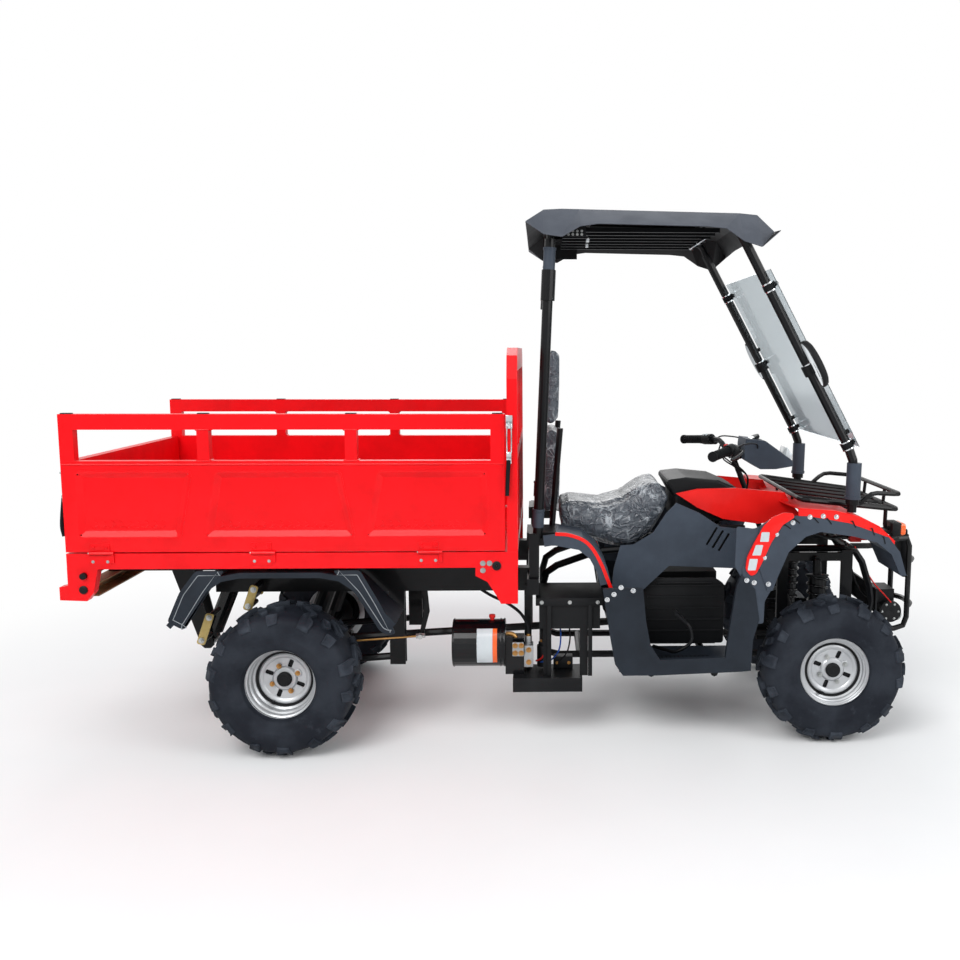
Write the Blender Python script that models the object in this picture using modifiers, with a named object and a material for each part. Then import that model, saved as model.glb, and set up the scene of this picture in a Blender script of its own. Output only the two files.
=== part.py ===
"""Farm quad bike with a canopy and a tipping cargo bed, modelled in metres.

The vehicle faces +X, its left side is +Y and +Z is up. The origin is on the ground, under the
middle of the vehicle's bounding box. Each sub-part is one object, and a moving one has its
origin on its joint's axis.
"""

import math

import bmesh
import bpy
from mathutils import Matrix, Vector

# General
GAP = 0.0003
WELD_DISTANCE = 0.00001
OVERCUT = 0.01
RIGHT = -1
LEFT = 1
SIDES = ((RIGHT, "right"), (LEFT, "left"))
PIN_CLEARANCE = 0.0006
ROUND_SEGMENTS = 14
SMALL_SEGMENTS = 8
SMOOTH_ANGLE = math.radians(35)

# Wheels and stance
TYRE_RADIUS = 0.2795
RIM_FLANGE_RADIUS = 0.140
BEAD_RADIUS = 0.1275
REAR_TYRE_WIDTH = 0.254
FRONT_TYRE_WIDTH = 0.178
REAR_AXLE_X = -0.862
WHEELBASE = 2.05
FRONT_AXLE_X = REAR_AXLE_X + WHEELBASE
REAR_HALF_TRACK = 0.4945
FRONT_HALF_TRACK = 0.4257
LUG_HEIGHT = 0.017
LUG_PITCHES = 14
LUG_SLANT = math.radians(9)
LUG_DRAFT_SHARE = 0.88
LUG_SIDE = 0.006
SHOULDER_SHARE = 0.82
BEAD_INSET = 0.010
FLANGE_INSET = 0.0065
FLANGE_CLEARANCE = 0.003
TYRE_COLUMN_SHARES = (
    (0.93, 0.20),
    (1.00, 0.48),
    (0.95, 0.76),
    (0.82, 0.93),
    (0.46, 0.99),
    (0.10, 1.00),
)
LUGGED_COLUMNS = 3
RIM_SHEET = 0.004
RIM_SEAT_SHARE = 0.30
RIM_WELL_RADIUS = 0.106
REAR_RIM_HALF_WIDTH = 0.104
FRONT_RIM_HALF_WIDTH = 0.074
RIM_STEPS = 16
RIM_DISC_RADIUS = 0.093
REAR_DISC_RECESS = 0.084
FRONT_DISC_RECESS = 0.043
RIM_SLOT_COUNT = 4
RIM_SLOT_CIRCLE = 0.062
RIM_SLOT_LENGTH = 0.030
RIM_SLOT_WIDTH = 0.012
HUB_CAP_RADIUS = 0.028
HUB_CAP_LENGTH = 0.022
HUB_RADIUS = 0.040
HUB_LENGTH = 0.050

# Main frame
BEAM_REAR_X = -1.505
BEAM_FRONT_X = 0.075
BEAM_HALF_SPACING = 0.280
BEAM_WIDTH = 0.050
BEAM_TOP_Z = 0.645
BEAM_HEIGHT = 0.090
CROSS_WIDTH = 0.045
CROSS_HEIGHT = 0.060
CROSS_X = (-1.41, -0.66, -0.15, BEAM_FRONT_X - CROSS_WIDTH / 2)
TAIL_BEAM_X = -1.170
TAIL_OVERLAP = 0.050
TAIL_Z = (0.640, 0.695)
OUTRIGGER_REACH = 0.440
CRADLE_TUBE_RADIUS = 0.0145
CRADLE_HALF_WIDTH = 0.150
CRADLE_TOP_Z = 0.685
CRADLE_BOTTOM_Z = 0.250
CRADLE_RISE_X = 0.330
CRADLE_NOSE_X = 1.440
CRADLE_NOSE_Z = 0.470
CRADLE_FRONT_X = 1.370
CRADLE_BEND = 0.060
CRADLE_TOP_CROSS_X = (0.410, 1.340)
CRADLE_BOTTOM_CROSS_X = (0.240, 1.330)
FOOT_PEG_X = (0.500, 0.740)
FOOT_PEG_REACH = 0.450
NOSE_CROSS = (1.397, 0.335)
TANK_HOOP_X = (0.660, 0.800)
TANK_HOOP_RADIUS = 0.010
TANK_HOOP_BEND = 0.040
PAD_X = (-1.20, -0.50, -0.15)
PAD_SIZE = 0.046

# Tipping pivot at the rear
PIVOT_X = -1.556
PIVOT_Z = 0.676
PIVOT_BAR_RADIUS = 0.012
PIVOT_BAR_OVERHANG = 0.011
PIVOT_LUG_RADIUS = 0.018
PIVOT_LUG_THICKNESS = 0.012
PIVOT_LUG_Y = (0.260, 0.300)
CHANNEL_HALF_LENGTH = 0.500
CHANNEL_DEPTH = 0.055
CHANNEL_HEIGHT = 0.050
CHANNEL_WALL = 0.005

# Cargo bed
BED_REAR_X = -1.614
BED_FRONT_X = -0.001
BED_HALF_WIDTH = 0.549
PIVOT_BAR_HALF_LENGTH = BED_HALF_WIDTH + PIVOT_BAR_OVERHANG
BED_BOTTOM_Z = 0.700
BASE_RAIL_TOP_Z = 0.757
BASE_RAIL_WIDTH = 0.040
BED_CROSS_HEIGHT = 0.045
BED_CROSS_WIDTH = 0.050
BED_CROSS_X = (-1.589, -1.20, -0.85, -0.50, -0.15)
STRINGER_WIDTH = 0.040
FLOOR_SHEET = 0.0115
HEADBOARD_THICKNESS = 0.038
HEADBOARD_TOP_Z = 1.490
HEADBOARD_CORNER = 0.110
HEADBOARD_POST = 0.045
HEADBOARD_PANEL_TOP_Z = 1.090
HEADBOARD_BAR = 0.036
HEADBOARD_BARS = 3
HEADBOARD_RECESS = 0.012
SIDE_THICKNESS = 0.036
SIDE_BOTTOM_Z = 0.7623
SIDE_TOP_Z = 1.256
SIDE_PANEL_TOP_Z = 1.090
SIDE_RAIL_HEIGHT = 0.055
SIDE_POST_WIDTH = 0.050
SIDE_MID_POST_WIDTH = 0.042
SIDE_MID_POST_X = (-1.112, -0.592)
SIDE_FRONT_CLEARANCE = 0.008
SIDE_RECESS_DEPTH = 0.012
SIDE_RECESS_TOP_Z = 1.052
SIDE_RECESS_BOTTOM_Z = 0.814
SIDE_RECESS_SHARES = ((0.03, 0.29, 0.03, 0.26), (0.345, 0.625, 0.315, 0.655), (0.71, 0.96, 0.68, 0.96))
HINGE_LENGTH = 0.072
HINGE_BARREL_RADIUS = 0.0065
HINGE_LEAF = 0.003
HINGE_LEAF_HEIGHT = 0.036
HINGE_OFFSET = 0.007
HINGE_Z = 0.7597
HINGE_X_SHARES = (0.075, 0.43, 0.80)
HINGE_KNUCKLE = 0.014
HINGE_PLAY = 0.0005
HINGE_INSET = 0.0007
TAILGATE_SIDE_CLEARANCE = 0.010
TAILGATE_TOP_Z = 1.088
TAILGATE_THICKNESS = 0.036
TAILGATE_HINGE_SHARES = (-0.6, 0.6)
FOOT_BOTTOM_Z = 0.583
FOOT_REAR_X = -1.646
FOOT_SHARES = ((0.0, 0.03), (0.68, 0.0), (0.86, 0.25), (1.0, 1.0), (0.22, 1.0), (0.22, 0.47), (0.0, 0.42))
FOOT_FRONT_X = -1.505
LEG_OVERLAP = 0.006
LEG_REAR_X = -0.155
LEG_BOTTOM_Z = 0.565
LEG_SHARES = ((0.0, 0.74), (0.28, 0.58), (0.48, 0.24), (0.60, 0.0), (1.0, 0.0), (1.0, 1.0), (0.0, 1.0))

# Tipping cylinder
RAM_BASE_X = -1.300
RAM_BASE_Z = 0.280
RAM_BASE_HALF_WIDTH = 0.0395
RAM_EYE_X = -1.140
RAM_EYE_Z = 0.660
RAM_BARREL_RADIUS = 0.034
RAM_ROD_RADIUS = 0.016
RAM_BORE_RADIUS = RAM_ROD_RADIUS + PIN_CLEARANCE
RAM_EYE_RADIUS = 0.024
RAM_NECK_RADIUS = RAM_EYE_RADIUS * 0.9
RAM_EYE_WIDTH = 0.030
RAM_PIN_RADIUS = 0.012
RAM_LUG_THICKNESS = 0.010
# How many lug thicknesses the pin reaches past the eye.
RAM_PIN_REACH = 1.5
RAM_LUG_GAP = 0.008
RAM_LUG_FOOT = 0.026
RAM_LUG_ROOT = 0.048
RAM_BARREL_START = 0.045
RAM_BORE_START = 0.062
RAM_ROD_START = 0.066
RAM_BARREL_SHARE = 0.900
RAM_LUG_RADIUS = 0.021

# Rear axle and its suspension
AXLE_TUBE_RADIUS = 0.034
DIFFERENTIAL_SNOUT_RADIUS = AXLE_TUBE_RADIUS * 1.6
AXLE_DRUM_RADIUS = 0.078
AXLE_DRUM_LENGTH = 0.050
DIFFERENTIAL_RADIUS = 0.088
DIFFERENTIAL_LENGTH = 0.150
PROPSHAFT_RADIUS = 0.016
PROPSHAFT_GAP = 0.004
TRAILING_PIVOT_X = -0.478
TRAILING_PIVOT_Z = 0.290
TRAILING_ARM_RADIUS = 0.0145
TRAILING_EYE_RADIUS = TRAILING_ARM_RADIUS * 1.3
TRAILING_PLATE_OFFSET = 0.0190
TRAILING_BRACKET_WIDTH = 0.060
TRAILING_BRACKET_THICKNESS = 0.006
SHOCK_RADIUS = 0.034
# The coil's ends, as shares of the way from the shock's foot to its top.
SHOCK_SHARES = (0.22, 0.86)
SHOCK_CORE_RADIUS = 0.017
REAR_SHOCK_TOP_X = -0.740
REAR_SHOCK_Y = 0.215
REAR_SHOCK_TOP_Z = 0.600
SHOCK_PIN_RADIUS = 0.012

# Front suspension and steering
ENGINE_X = (0.430, 0.800)
ENGINE_HALF_WIDTH = 0.118
ENGINE_TOP_Z = 0.585
KINGPIN_Y = 0.360
KINGPIN_RADIUS = 0.013
BALL_JOINT_RADIUS = 0.015
BALL_JOINT_LENGTH = 0.013
FENDER_STAY_RADIUS = 0.007
FENDER_STAY_X = 1.078
FENDER_STAY_Y = 0.290
FENDER_STAY_BEND = 0.030
COVER_BOSS_RADIUS = 0.008
COVER_BOSS_X = (0.470, 0.790)
LOWER_JOINT_Z = 0.212
UPPER_JOINT_Z = 0.347
ARM_RADIUS = 0.011
ARM_SPREAD = 0.130
ARM_INNER_Y = 0.172
LOWER_ARM_INNER_Z = 0.235
UPPER_ARM_INNER_Z = 0.385
FRONT_SHOCK_TOP_Z = 0.640
FRONT_SHOCK_TOP_Y = 0.205
FRONT_SHOCK_LOWER_Y = 0.265
STUB_RADIUS = 0.020
STEERING_ARM_LENGTH = 0.090
STEERING_ARM_Z = 0.300
TIE_ROD_RADIUS = 0.007
PITMAN_SPACING = 0.030
STEERING_RAKE = math.radians(21.9)
COLUMN_RADIUS = 0.011
DROP_ARM_RADIUS = COLUMN_RADIUS * 0.8
COLUMN_BASE_Z = 0.280
COLUMN_TOP_Z = 1.045
BUSH_Z = 0.690
BUSH_RADIUS = 0.020
BUSH_LENGTH = 0.036

# Handlebar
BAR_RADIUS = 0.011
BAR_HALF_WIDTH = 0.370
BAR_RISE = 0.060
BAR_END_RISE = BAR_RISE * 0.7
BAR_SWEEP = 0.130
GRIP_RADIUS = 0.0165
GRIP_LENGTH = 0.125
POD_REAR_X = 0.905
POD_FRONT_X = 1.115
POD_BOTTOM_Z = 1.000
POD_TOP_Z = 1.125
POD_HALF_WIDTH = 0.075
POD_SHARES = ((0.0, 0.35), (0.35, 0.0), (0.66, 0.0), (1.0, 0.10), (0.98, 0.28), (0.45, 0.92), (0.06, 1.0))

# Body panels
PANEL = 0.005
SHEET_DROP = 0.001
FOOTBOARD_X = (0.310, 0.910)
FOOTBOARD_Z = (0.270, 0.670)
FOOTBOARD_Y = 0.500
# Where the board's end walls stop, as a share of the way out to its guard.
FOOTBOARD_WALL_REACH = 0.6
FOOTBOARD_INNER_Y = 0.220
FOOTBOARD_GUARD = 0.022
FOOTBOARD_FLOOR_Z = 0.292
FOOTBOARD_FLOOR_THICKNESS = 0.022
FOOTBOARD_SHARES = (
    (0.0, 0.84), (0.05, 0.37), (0.08, 0.12), (0.13, 0.01), (0.34, 0.01), (0.87, 0.04), (0.93, 0.05),
    (0.94, 0.35), (0.975, 0.54), (0.945, 0.83), (0.86, 0.97), (0.83, 0.86),
    (0.79, 0.44), (0.77, 0.18), (0.36, 0.16), (0.30, 0.30), (0.27, 0.54), (0.25, 0.84),
)
SIDE_COVER_X = (0.310, 0.950)
SIDE_COVER_Z = (0.540, 0.930)
SIDE_COVER_Y = 0.262
SIDE_COVER_SHARES = (
    (0.13, 0.47), (0.21, 0.48), (0.33, 0.60), (0.41, 0.80), (0.47, 0.90), (0.61, 0.80), (0.74, 0.66),
    (0.93, 0.62), (0.90, 0.47), (0.86, 0.23), (0.43, 0.26), (0.27, 0.01), (0.08, 0.03), (0.09, 0.23),
)
FOOTBOARD_WALL_SHARES = ((0.02, 0.72), (0.05, 0.37), (0.08, 0.12), (0.13, 0.01))
VENT_COUNT = 3
VENT_LENGTH = 0.080
VENT_WIDTH = 0.009
VENT_PITCH = 0.024
VENT_X = 0.800
VENT_Z = 0.735
REAR_FENDER_X = (0.090, 0.350)
REAR_FENDER_Z = (0.612, 0.805)
REAR_FENDER_Y = 0.430
REAR_FENDER_INNER_Y = 0.180
REAR_FENDER_SHARES = ((0.0, 0.94), (0.17, 0.97), (0.58, 0.86), (0.80, 0.62), (0.93, 0.30), (0.985, 0.0))
REAR_FENDER_LIP = 0.042
FENDER_X = (0.830, 1.450)
FENDER_Z = (0.480, 0.930)
FENDER_Y = 0.500
FENDER_INNER_Y = 0.255
FENDER_LIP = 0.012
ARCH_INNER_SHARES = (
    (0.18, 0.26), (0.205, 0.36), (0.27, 0.58), (0.37, 0.71), (0.46, 0.75), (0.66, 0.71), (0.80, 0.66),
    (0.89, 0.56), (0.95, 0.38),
)
ARCH_OUTER_SHARES = (
    (0.985, 0.38), (0.94, 0.58), (0.87, 0.70), (0.63, 0.82), (0.38, 0.88), (0.19, 0.885), (0.10, 0.80),
    (0.065, 0.62), (0.10, 0.43), (0.15, 0.26),
)
FAIRING_X = (0.600, 1.460)
FAIRING_Z = (0.780, 0.945)
WING_Y = 0.190
WING_SHARES = (
    (0.02, 0.84),
    (0.12, 0.95),
    (0.30, 0.97),
    (0.525, 0.86),
    (0.545, 0.66),
    (0.62, 0.20),
    (0.40, 0.10),
    (0.24, 0.22),
    (0.12, 0.50),
)
HOOD_STATION_SHARES = (
    (0.50, 0.64, 0.758), (0.66, 0.58, 0.691), (0.765, 0.50, 0.558), (0.848, 0.34, 0.345), (0.92, 0.03, 0.0),
)
HOOD_LIP = 0.010
HOOD_HALF_WIDTH = 0.500
HOOD_COLUMNS = 4
TANK_X = (0.570, 0.880)
TANK_Z = (0.800, 0.978)
TANK_HALF_WIDTH = 0.160
TANK_SHARES = (
    (0.16, 0.0),
    (1.0, 0.0),
    (1.0, 0.72),
    (0.72, 0.93),
    (0.30, 1.0),
    (0.06, 0.95),
    (0.06, 0.85),
    (0.16, 0.55),
)
TANK_BEVEL = 0.012
SEAT_X = (0.130, 0.620)
SEAT_Z = (CRADLE_TOP_Z + CRADLE_TUBE_RADIUS + GAP, 0.980)
SEAT_HALF_WIDTH = 0.165
SEAT_SHARES = (
    (0.040, 0.62), (0.18, 0.61), (0.39, 0.58), (0.57, 0.66), (0.74, 0.86), (0.88, 0.97), (0.97, 0.72),
    (0.92, 0.51), (0.82, 0.19), (0.66, 0.0), (0.50, 0.0), (0.33, 0.08), (0.05, 0.24),
)
SEAT_BEVEL = 0.030

# Canopy, posts and backrest
REAR_POST_Y = 0.400
REAR_POST_FOOT = (0.0565, 0.6303)
REAR_POST_KNEE = (0.070, 0.800)
REAR_POST_TOP = (0.118, 1.880)
REAR_POST_RADIUS = 0.019
FRONT_POST_Y = 0.400
FRONT_POST_RADIUS = 0.018
FRONT_POST_FOOT_X = 1.258
FRONT_POST_KNEE = (1.262, 1.075)
FRONT_POST_TOP = (0.815, 1.900)
FRONT_POST_BEND = 0.060
SLEEVE_EXTRA = 0.007
REAR_SLEEVE_LENGTH = 0.110
FRONT_SLEEVE_Z = (0.905, 1.010)
ROOF_X = (0.030, 0.930)
ROOF_Z = (1.866, 1.990)
ROOF_HALF_WIDTH = 0.520
ROOF_SHEET = 0.004
ROOF_LENGTH_CELLS = 14
ROOF_WIDTH_CELLS = 10
ROOF_EDGE = 0.090
REAR_LOBE = 0.048
FRONT_LOBE = 0.066
REAR_LOBE_SHARES = (0.0, 0.85, 1.0, 0.22)
FRONT_LOBE_SHARES = (0.12, 1.0, 0.72, 0.08)
ROOF_SLOPE = 0.018
ROOF_CROWN = 0.006
ROOF_DROP = 0.058
ROOF_RIM = 0.002
ROOF_LOBE_START = 0.6
ROOF_RIB_RADIUS = 0.009
ROOF_RIB_Y = (-0.208, 0.0, 0.208)
ROOF_CROSS_X = (0.270, 0.700)
ROOF_RAIL_RADIUS = 0.014
ROOF_RAIL_X = (0.1225, 0.790)
ROOF_RAIL_BEND = 0.045
BRACKET_LENGTH = 0.110
# The share of the bracket that lies ahead of the post.
BRACKET_AHEAD = 0.75
BRACKET_HEIGHT = 0.050
BRACKET_CLEARANCE = GAP
BACKREST_BAR_RADIUS = 0.012
BACKREST_BAR_Y = 0.218
BACKREST_FOOT = (0.125, 0.790)
BACKREST_TOP = (0.158, 1.180)
BACKREST_CROSS_Z = (0.900, 1.110, 1.260, 1.430)
PAD_HALF_WIDTH = 0.200
LOWER_PAD_Z = (0.835, 1.180)
UPPER_PAD_Z = (1.186, 1.490)
LOWER_PAD_THICKNESS = 0.057
UPPER_PAD_THICKNESS = 0.040
LOWER_PAD_BEVEL = 0.024
UPPER_PAD_BEVEL = 0.016
SHIELD_Z = (1.112, 1.760)
SHIELD_OFFSET = 0.028
SHIELD_THICKNESS = 0.003
SHIELD_HALF_WIDTH = 0.428
CLAMP_SHARES = (0.09, 0.56, 0.93)
CLAMP_RADIUS = 0.009
MIRROR_X = 1.078
MIRROR_Y = 0.490
MIRROR_Z = 1.437
MIRROR_SIZE = (0.030, 0.115, 0.190)
MIRROR_ARM_RADIUS = 0.006
MIRROR_CLAMP_RADIUS = 0.026
MIRROR_ARM_START = MIRROR_CLAMP_RADIUS * 0.85
MIRROR_CLAMP_LENGTH = 0.030

# Front end
RACK_TUBE_RADIUS = 0.009
RACK_X = (1.072, 1.475)
RACK_HALF_WIDTH = 0.370
RACK_FRONT_HALF_WIDTH = 0.300
RACK_REAR_Z = 0.918
RACK_FRONT_Z = 0.868
RACK_BARS = 5
RACK_BAR_RADIUS = 0.0072
RACK_BAR_SPREAD_SHARE = 0.7
RACK_HOOP_Z = 0.937
RACK_HOOP_X = (1.306, 1.355)
RACK_HOOP_FRONT_X = 1.480
RACK_STRUT_Y = 0.120
RACK_FOOT_X = (1.100, 1.160)
RACK_FOOT_RADIUS = 0.006
BUMPER_TUBE_RADIUS = 0.012
BUMPER_HALF_WIDTH = 0.100
BUMPER_FRONT_X = 1.600
BUMPER_BOW_X = 1.6344
BUMPER_BOW_Z = (0.430, 0.620)
BUMPER_TOP_Z = 0.733
BUMPER_BOTTOM_Z = 0.335
BUMPER_BEND = 0.050
SIGNAL_X = 1.466
SIGNAL_Y = 0.305
SIGNAL_Z = 0.796
SIGNAL_SIZE = (0.056, 0.080, 0.050)
SIGNAL_ARM_RADIUS = 0.008
SIGNAL_ARM_X = 1.420
WINCH_X = 1.535
WINCH_Z = 0.405
WINCH_RADIUS = 0.045
WINCH_HALF_LENGTH = 0.092
WINCH_PLATE = 0.008
WINCH_PLATE_Z = (0.420, 0.520)
WINCH_BOX_FRONT_X = 1.560
WINCH_BOX_Z = (0.435, 0.492)
WINCH_BOX_HALF_WIDTH = 0.060

# Equipment behind the rider
RESERVOIR_X = (-0.254, -0.054)
RESERVOIR_Y = 0.365
RESERVOIR_Z = 0.367
RESERVOIR_RADIUS = 0.090
MANIFOLD_X = (-0.027, 0.017)
MANIFOLD_WIDTH = 0.070
HANGER_LENGTH = 0.028
TRAY_X = (-0.025, 0.238)
TRAY_Z = (0.196, 0.250)
MANIFOLD_Z = (TRAY_Z[1] + GAP, 0.392)
TRAY_WIDTH = 0.170
BATTERY_X = (0.075, 0.306)
BATTERY_Z = (0.434, 0.552)
BATTERY_Y = (0.186, 0.420)
BATTERY_LID = 0.010
BATTERY_LEG = 0.030
BATTERY_LEG_X = (0.105, 0.245)

# Rear mudguards
MUDGUARD_Y = (0.335, 0.540)
MUDGUARD_SHEET = 0.004
MUDGUARD_CROWN_Z = 0.682
MUDGUARD_FOOT_Z = 0.490
MUDGUARD_CROWN_X = 0.225
MUDGUARD_FOOT_X = 0.415
MUDGUARD_LIP = 0.020

BLACK_STEEL = ((0.015, 0.015, 0.017), 0.45, 0.3)
BLACK_PLASTIC = ((0.02, 0.02, 0.022), 0.6, 0.0)
GREY_PLASTIC = ((0.075, 0.085, 0.10), 0.5, 0.0)
RED_PAINT = ((0.80, 0.01, 0.015), 0.25, 0.0)
RED_PLASTIC = ((0.75, 0.02, 0.02), 0.3, 0.0)
SILVER_PAINT = ((0.60, 0.60, 0.61), 0.35, 0.7)
BARE_STEEL = ((0.23, 0.15, 0.09), 0.6, 0.6)
RUBBER = ((0.018, 0.018, 0.018), 0.8, 0.0)
VINYL = ((0.10, 0.11, 0.12), 0.4, 0.0)
CLEAR_SHEET = ((0.75, 0.80, 0.82), 0.1, 0.0)
ORANGE_LENS = ((0.9, 0.3, 0.02), 0.2, 0.0)
CHROME = ((0.7, 0.7, 0.7), 0.2, 1.0)


def clear_scene():
    """Remove the objects that a new scene starts with."""
    for obj in list(bpy.data.objects):
        bpy.data.objects.remove(obj, do_unlink=True)


def new_collection(name):
    """Add a collection to the scene."""
    made = bpy.data.collections.new(name)
    bpy.context.scene.collection.children.link(made)
    return made


def surface(name, finish):
    """Make a Principled material from a colour, a roughness and a metallic value."""
    colour, roughness, metallic = finish
    material = bpy.data.materials.new(name)
    material.use_nodes = True
    shader = material.node_tree.nodes["Principled BSDF"]
    shader.inputs["Base Color"].default_value = (*colour, 1.0)
    shader.inputs["Roughness"].default_value = roughness
    shader.inputs["Metallic"].default_value = metallic
    material.diffuse_color = (*colour, 1.0)
    return material


def linked(name, data):
    """Put an object with this data in the collection of the parts."""
    made = bpy.data.objects.new(name, data)
    PARTS.objects.link(made)
    return made


def mesh_piece(name, shape):
    """Turn a bmesh into an object."""
    bmesh.ops.recalc_face_normals(shape, faces=shape.faces)
    mesh = bpy.data.meshes.new(name)
    shape.to_mesh(mesh)
    shape.free()
    return linked(name, mesh)


def box(low, high):
    """A block between two opposite corners, given in any order."""
    start = Vector(min(pair) for pair in zip(low, high))
    end = Vector(max(pair) for pair in zip(low, high))
    shape = bmesh.new()
    placing = Matrix.Translation((start + end) / 2) @ Matrix.Diagonal((*(end - start), 1))
    bmesh.ops.create_cube(shape, size=1, matrix=placing)
    return mesh_piece("block", shape)


def rod(start, end, radius, segments=SMALL_SEGMENTS, end_radius=None):
    """A straight round bar or a cone between two points."""
    start = Vector(start)
    run = Vector(end) - start
    shape = bmesh.new()
    placing = Matrix.Translation(start + run / 2) @ run.to_track_quat("Z", "Y").to_matrix().to_4x4()
    bmesh.ops.create_cone(
        shape,
        cap_ends=True,
        segments=segments,
        radius1=radius,
        radius2=radius if end_radius is None else end_radius,
        depth=run.length,
        matrix=placing,
    )
    return mesh_piece("bar", shape)


def rounded(points, radius, steps=2):
    """A path whose inner corners are replaced by short curves of about this radius."""
    path = [Vector(point) for point in points]
    smooth = [path[0]]
    for before, corner, after in zip(path, path[1:], path[2:]):
        reach_in = min(radius, (before - corner).length / 2)
        reach_out = min(radius, (after - corner).length / 2)
        start = corner + (before - corner).normalized() * reach_in
        end = corner + (after - corner).normalized() * reach_out
        for step in range(steps + 1):
            share = step / steps
            smooth.append(start.lerp(corner, share).lerp(corner.lerp(end, share), share))
    smooth.append(path[-1])
    return smooth


def tube(points, radius, closed=False):
    """A round bar along a path, as a bevelled curve made into a mesh."""
    curve = bpy.data.curves.new("tube", "CURVE")
    curve.dimensions = "3D"
    curve.bevel_depth = radius
    curve.bevel_resolution = 2
    curve.use_fill_caps = True
    line = curve.splines.new("POLY")
    line.points.add(len(points) - 1)
    for target, point in zip(line.points, points):
        target.co = (*point, 1)
    line.use_cyclic_u = closed
    return baked(linked("tube", curve))


def plate(outline, axis, start, end):
    """A flat outline with a thickness, from start to end along the given axis."""
    curve = bpy.data.curves.new("plate", "CURVE")
    curve.dimensions = "2D"
    curve.fill_mode = "BOTH"
    curve.extrude = abs(end - start) / 2
    loops = outline if isinstance(outline[0][0], (tuple, list, Vector)) else [outline]
    for loop in loops:
        line = curve.splines.new("POLY")
        line.points.add(len(loop) - 1)
        for target, point in zip(line.points, loop):
            target.co = (point[0], point[1], 0, 1)
        line.use_cyclic_u = True
    made = linked("plate", curve)
    turns = {
        "X": Matrix(((0, 0, 1, 0), (1, 0, 0, 0), (0, 1, 0, 0), (0, 0, 0, 1))),
        "Y": Matrix(((1, 0, 0, 0), (0, 0, -1, 0), (0, 1, 0, 0), (0, 0, 0, 1))),
        "Z": Matrix.Identity(4),
    }
    direction = {"X": Vector((1, 0, 0)), "Y": Vector((0, 1, 0)), "Z": Vector((0, 0, 1))}[axis]
    made.matrix_world = Matrix.Translation(direction * (start + end) / 2) @ turns[axis]
    return baked(made)


def turned(profile, centre, steps, side=LEFT, sheet=None):
    """A profile of radius and length along Y, turned about the Y axis through the centre."""
    mesh = bpy.data.meshes.new("turned")
    points = [(radius, 0, length) for radius, length in profile]
    edges = [(index, index + 1) for index in range(len(points) - 1)]
    if sheet is None:
        edges.append((len(points) - 1, 0))
    mesh.from_pydata(points, edges, [])
    made = linked("turned", mesh)
    screw = made.modifiers.new("turn", "SCREW")
    screw.axis = "Z"
    screw.steps = steps
    screw.render_steps = steps
    screw.use_merge_vertices = True
    screw.merge_threshold = 0.00005
    if sheet is not None:
        solidify = made.modifiers.new("sheet", "SOLIDIFY")
        solidify.thickness = sheet
        solidify.offset = 0
        solidify.use_even_offset = True
    made.matrix_world = Matrix.Translation(centre) @ Matrix.Rotation(math.radians(-90 * side), 4, "X")
    made = baked(made)
    repair = bmesh.new()
    repair.from_mesh(made.data)
    bmesh.ops.recalc_face_normals(repair, faces=repair.faces)
    repair.to_mesh(made.data)
    repair.free()
    return made


def baked(obj):
    """The object as a plain mesh in world coordinates, with the doubled points of caps joined."""
    bpy.context.view_layer.update()
    graph = bpy.context.evaluated_depsgraph_get()
    mesh = bpy.data.meshes.new_from_object(obj.evaluated_get(graph))
    mesh.transform(obj.matrix_world)
    shape = bmesh.new()
    shape.from_mesh(mesh)
    bmesh.ops.remove_doubles(shape, verts=shape.verts, dist=WELD_DISTANCE)
    shape.to_mesh(mesh)
    shape.free()
    name = obj.name
    bpy.data.objects.remove(obj, do_unlink=True)
    return linked(name, mesh)


def joined(pieces):
    """One body made from pieces that overlap."""
    base, *others = pieces
    if not others:
        return base
    tools = bpy.data.collections.new("joined pieces")
    for other in others:
        PARTS.objects.unlink(other)
        tools.objects.link(other)
    union = base.modifiers.new("join", "BOOLEAN")
    union.operation = "UNION"
    union.operand_type = "COLLECTION"
    union.collection = tools
    union.solver = "EXACT"
    whole = baked(base)
    for other in list(tools.objects):
        bpy.data.objects.remove(other, do_unlink=True)
    bpy.data.collections.remove(tools)
    return whole


def cut(obj, cutters):
    """Cut each hidden cutter out of an object."""
    for index, cutter in enumerate(cutters):
        PARTS.objects.unlink(cutter)
        CUTTERS.objects.link(cutter)
        cutter.name = f"cutter_{len(CUTTERS.objects)}"
        cutter.hide_render = True
        cutter.display_type = "WIRE"
        opening = obj.modifiers.new(f"opening {index}", "BOOLEAN")
        opening.operation = "DIFFERENCE"
        opening.object = cutter
        opening.solver = "EXACT"
    return obj


def finish(obj, name, look, pivot=None):
    """Name a piece, give it its material and put its origin on its joint, where it has one."""
    obj.name = name
    obj.data.name = name
    obj.data.materials.clear()
    obj.data.materials.append(surface(f"{name} finish", look))
    obj.data.shade_smooth()
    obj.data.set_sharp_from_angle(angle=SMOOTH_ANGLE)
    if pivot is not None:
        obj.data.transform(Matrix.Translation(-Vector(pivot)))
        obj.location = pivot
    return obj


def spread(shares, x_range, z_range):
    """Points given as shares of a length and a height, as real places."""
    return [
        (x_range[0] + across * (x_range[1] - x_range[0]), z_range[0] + up * (z_range[1] - z_range[0]))
        for across, up in shares
    ]


def height_on(line, x):
    """The height of a line of points at a place along X, with the points in the order of their X."""
    for (x0, z0), (x1, z1) in zip(line, line[1:]):
        if x0 <= x <= x1:
            return z0 + (z1 - z0) * (x - x0) / (x1 - x0)
    return line[-1][1]


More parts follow.
